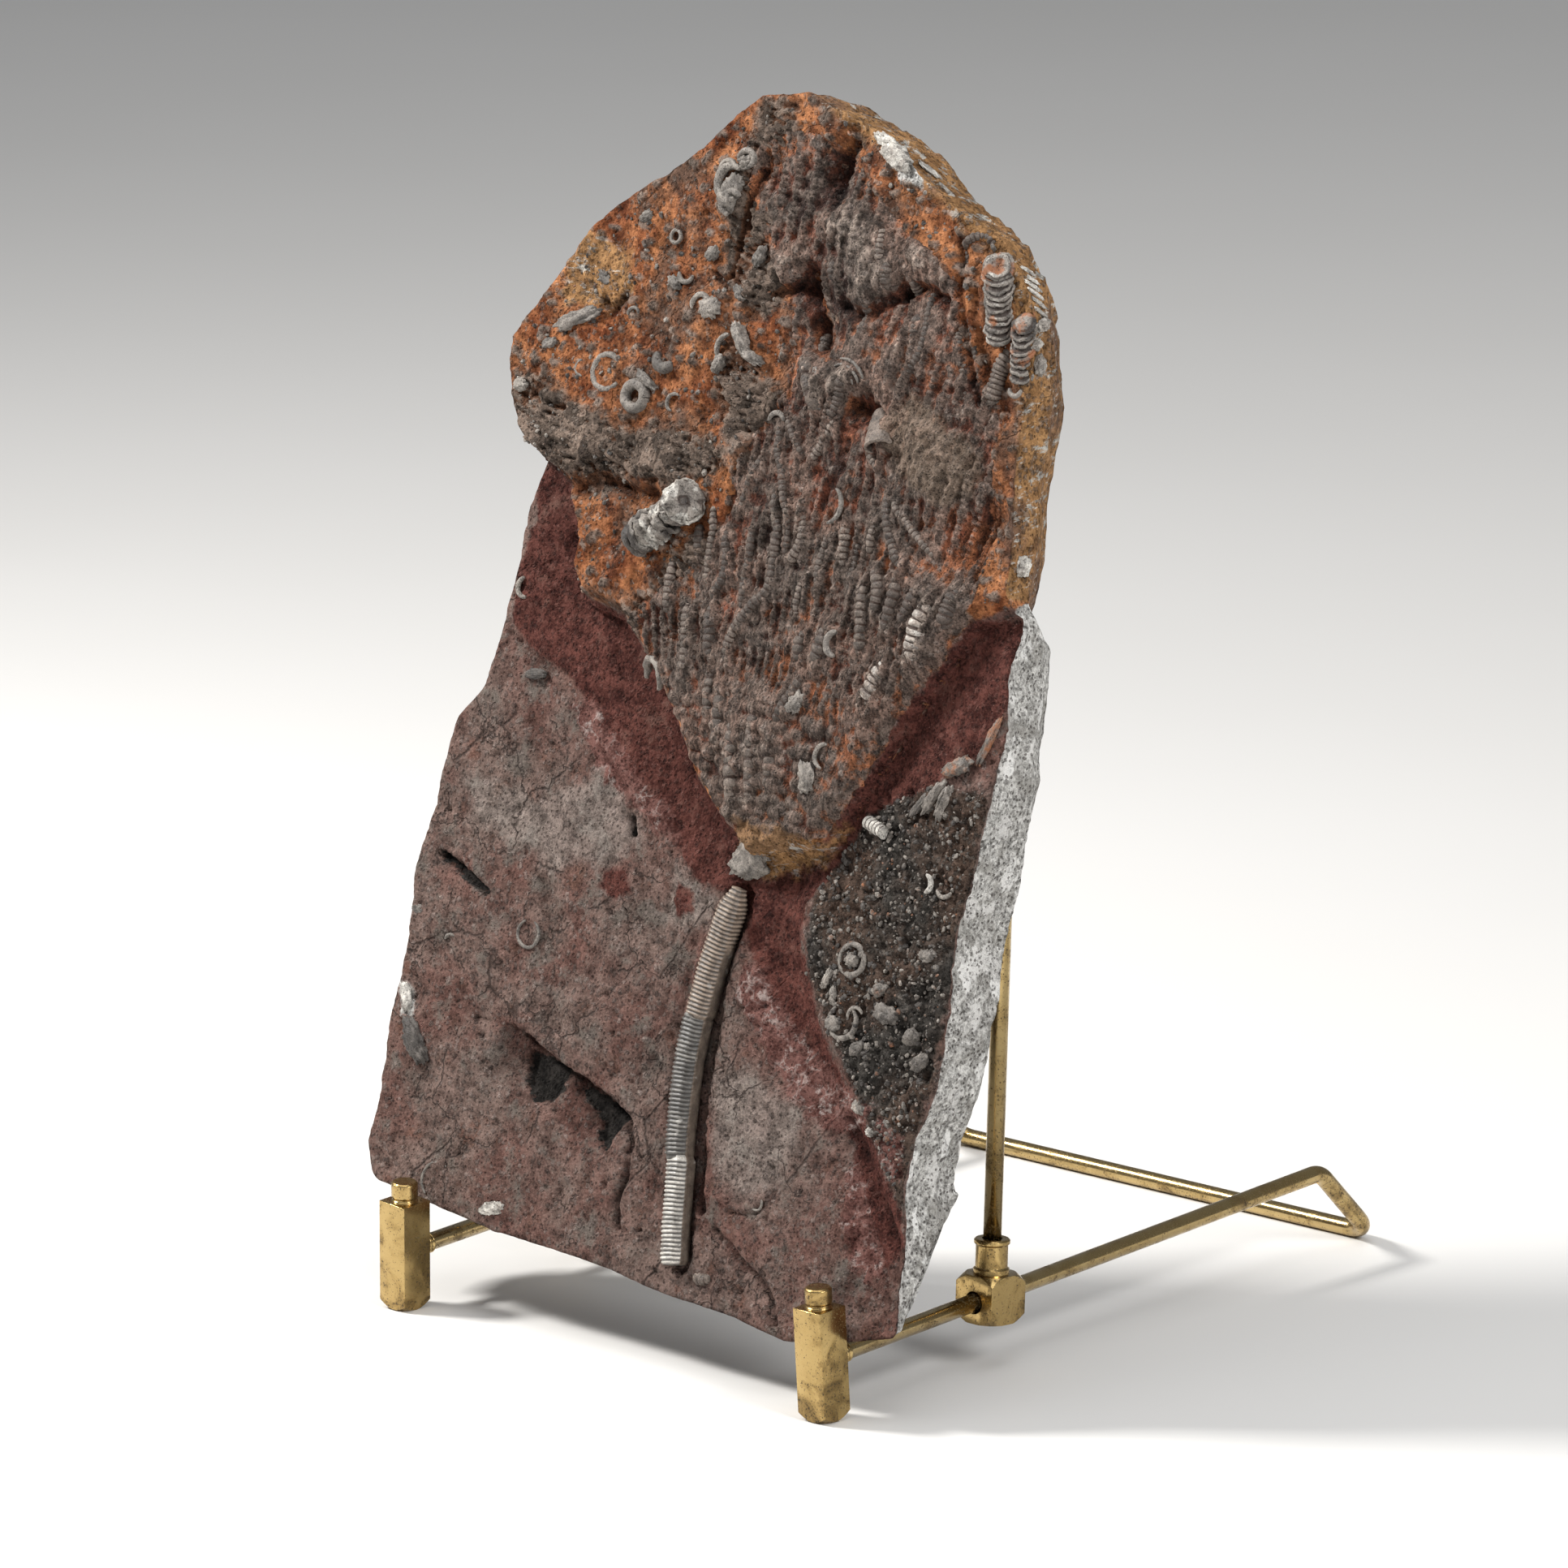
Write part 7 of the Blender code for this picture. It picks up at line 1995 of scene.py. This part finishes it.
def make_post(name, node, x, roll, surface):
    turn = Matrix.Rotation(math.radians(roll), 3, "Y") @ Matrix.Rotation(math.radians(POST_PITCH), 3, "X")
    place = placed(x, 0.0, ROD_START_HEIGHT, turn)
    low, high = -ROD_START_HEIGHT - POST_FOOT_TRIM, POST_TOP - ROD_START_HEIGHT
    corner = POST_SIDE / math.sqrt(2)
    slope = (corner - POST_FOOT_RADIUS) / POST_FOOT_RISE
    wide = corner + slope * 0.2
    foot = [(POST_FOOT_RADIUS, low), (wide, low + POST_FOOT_RISE + 0.2), (wide, high + 1)]
    top = high + PIN_RISE
    waist = PIN_RADIUS - 0.35
    pin = [(PIN_RADIUS, high - 2), (PIN_RADIUS, high + 0.3), (waist, high + 0.55), (waist, high + 1.0),
           (PIN_RADIUS, high + 1.3), (PIN_RADIUS, top - 0.5), (PIN_RADIUS - 0.5, top)]
    radius = ROD_RADIUS + ROD_GAP
    hole = [(radius, POST_SIDE / 2 - POST_HOLE_DEPTH), (radius, POST_SIDE)]
    along_rod = Matrix.Rotation(math.radians(ROD_PITCH - 90), 3, "X")
    steps = [
        ("INTERSECT", turned_mesh("foot_shape", foot, 96), place),
        ("UNION", turned_mesh("pin_shape", pin, 72), place),
        ("DIFFERENCE", turned_mesh("hole_shape", hole, 48), placed(x, 0.0, ROD_START_HEIGHT, along_rod)),
        ("DIFFERENCE", block_mesh("table_shape", 6 * POST_SIDE, -3 * POST_SIDE, 0),
         placed(x, 0, 0, Matrix.Identity(3))),
    ]
    mesh = cut_shape(name, block_mesh(name, POST_SIDE, low - 1, high), place, steps)
    piece_of(name, mesh, surface, "base", [node])


def make_slider(name, node, x, surface):
    turn = Matrix.Rotation(math.radians(-BACK_REST_LEAN), 3, "X")
    place = placed(x, SLIDER_Y, rod_height(SLIDER_Y), turn)
    half = SLIDER_SIDE / 2
    corner = SLIDER_SIDE / math.sqrt(2)
    nut = [(SLIDER_NECK_RADIUS, -half - 0.1), (corner, -half + SLIDER_TURN_RISE), (corner, half - SLIDER_TURN_RISE),
           (SLIDER_NECK_RADIUS, half + 0.1)]
    groove = COLLAR_RADIUS - 0.5
    collar = [(COLLAR_RADIUS, half - 1), (COLLAR_RADIUS, half + COLLAR_LIP), (groove, half + COLLAR_LIP + 0.5),
              (groove, COLLAR_TOP - COLLAR_LIP - 0.5), (COLLAR_RADIUS, COLLAR_TOP - COLLAR_LIP),
              (COLLAR_RADIUS, COLLAR_TOP - 0.4), (COLLAR_RADIUS - 0.4, COLLAR_TOP)]
    along_rod = Matrix.Rotation(math.radians(ROD_PITCH - 90), 3, "X")
    bore = [(ROD_RADIUS + BORE_CLEARANCE, -SLIDER_SIDE), (ROD_RADIUS + BORE_CLEARANCE, SLIDER_SIDE)]
    socket = [(ROD_RADIUS + ROD_GAP, COLLAR_TOP - SOCKET_DEPTH), (ROD_RADIUS + ROD_GAP, COLLAR_TOP + 2)]
    steps = [
        ("INTERSECT", turned_mesh("nut_shape", nut, 96), place),
        ("UNION", turned_mesh("collar_shape", collar, 72), place),
        ("DIFFERENCE", turned_mesh("bore_shape", bore, 48), placed(x, SLIDER_Y, rod_height(SLIDER_Y), along_rod)),
        ("DIFFERENCE", turned_mesh("socket_shape", socket, 48), place),
    ]
    mesh = cut_shape(name, block_mesh(name, SLIDER_SIDE, -half, half), place, steps)
    piece_of(name, mesh, surface, "back_rest", [node])


# Floor, light and camera


def make_floor():
    made, nodes = new_material("pale_floor")
    place = nodes.place()
    color = nodes.mix(nodes.noise(place, 400.0, 3.0, 0.5), (0.74, 0.73, 0.71), (0.8, 0.79, 0.775))
    close_material(nodes, color, 0.55, nodes.noise(place, 3.0, 3.0, 0.5), 0.05, 0.05)
    mesh = bpy.data.meshes.new("floor")
    corners = [(x * FLOOR_REACH, y * FLOOR_REACH, 0) for x, y in ((-1, -1), (1, -1), (1, 1), (-1, 1))]
    mesh.from_pydata(corners, [], [(0, 1, 2, 3)])
    mesh.materials.append(made)
    floor = in_scene("floor", mesh)


def from_angle(azimuth, elevation):
    a, e = math.radians(azimuth), math.radians(elevation)
    return Vector((math.sin(a) * math.cos(e), -math.cos(a) * math.cos(e), math.sin(e)))


def add_light(name, azimuth, elevation, distance, size, power, color):
    """A soft square light at an angle round the object, facing its middle."""
    light = bpy.data.lights.new(name, "AREA")
    light.size, light.energy, light.color = size, power, color
    lamp = in_scene(name, light)
    away = from_angle(azimuth, elevation)
    lamp.location = Vector((0, 0, 0.15)) + away * distance
    lamp.rotation_euler = away.to_track_quat("Z", "Y").to_euler()


def make_world():
    world = bpy.data.worlds.new("studio")
    world.use_nodes = True
    background = world.node_tree.nodes["Background"]
    background.inputs["Color"].default_value = (0.80, 0.82, 0.85, 1.0)
    background.inputs["Strength"].default_value = WORLD_STRENGTH
    bpy.context.scene.world = world


def make_camera():
    data = bpy.data.cameras.new("camera")
    data.sensor_width = SENSOR_WIDTH
    data.lens = FOCAL_PIXELS / FRAME_PIXELS * SENSOR_WIDTH
    data.clip_end = 50.0
    camera = in_scene("camera", data)
    back = from_angle(CAMERA_AZIMUTH, CAMERA_ELEVATION)
    right = Vector((0, 0, 1)).cross(back).normalized()
    up = back.cross(right)
    turn = Matrix((right, up, back)).transposed() @ Matrix.Rotation(math.radians(CAMERA_ROLL), 3, "Z")
    place = Matrix.Translation(Vector(np.array(CAMERA_PLACE) + SHIFT) * MM)
    camera.matrix_world = place @ turn.to_4x4()
    bpy.context.scene.camera = camera




def main():
    make_camera()
    rock = rock_material()
    crown = crown_material()
    arm = fossil_material("arm_calcite", (0.07, 0.052, 0.042), (0.25, 0.2, 0.165), (0.05, 0.027, 0.018),
                          (0.6, 0.56, 0.51), (0.26, 0.095, 0.04), 0.36)
    shell = fossil_material("shell_calcite", (0.055, 0.047, 0.042), (0.27, 0.24, 0.21), (0.05, 0.035, 0.028),
                            (0.58, 0.55, 0.5), (0.32, 0.13, 0.06), 0.36)
    column = column_material()
    brass = brass_material("aged_brass", 0.2, (0.5, 0.355, 0.15), (0.12, 0.078, 0.035))
    rod_brass = brass_material("rod_brass", 0.12, (0.52, 0.385, 0.18), (0.18, 0.12, 0.055))
    rings, grains = ringed_recipe(), grains_recipe()
    loose = make_rock(rock, shell, grains)
    make_crown(crown)
    make_arms(arm, rings)
    piece_of("bed_rings", make_rings(shell, rings), shell, "base")
    piece_of("bed_pebbles", make_pebbles(), shell, "base")
    piece_of("loose_grains", loose, shell, "base")
    make_stem(column)
    make_barrel(shell)
    make_stack(shell)
    points, faces, values = make_horn()
    horn = mesh_of("horn", points, faces, {**values, "redness": np.zeros(len(points)), "warm": np.zeros(len(points))})
    piece_of("horn_shell", horn, arm, "base")
    half = POST_SPACING / 2
    make_base_rod(rod_brass)
    make_post("left_stand_post", "left_post", -half, LEFT_POST_ROLL, brass)
    make_post("right_stand_post", "right_post", half, 0.0, brass)
    make_slider("left_clamp", "left_slider", -half, brass)
    make_slider("right_clamp", "right_slider", half, brass)
    make_back_bar(rod_brass)
    make_floor()
    for light in LIGHTS:
        add_light(*light)
    make_world()
    bpy.context.scene.view_settings.view_transform = "Standard"


main()
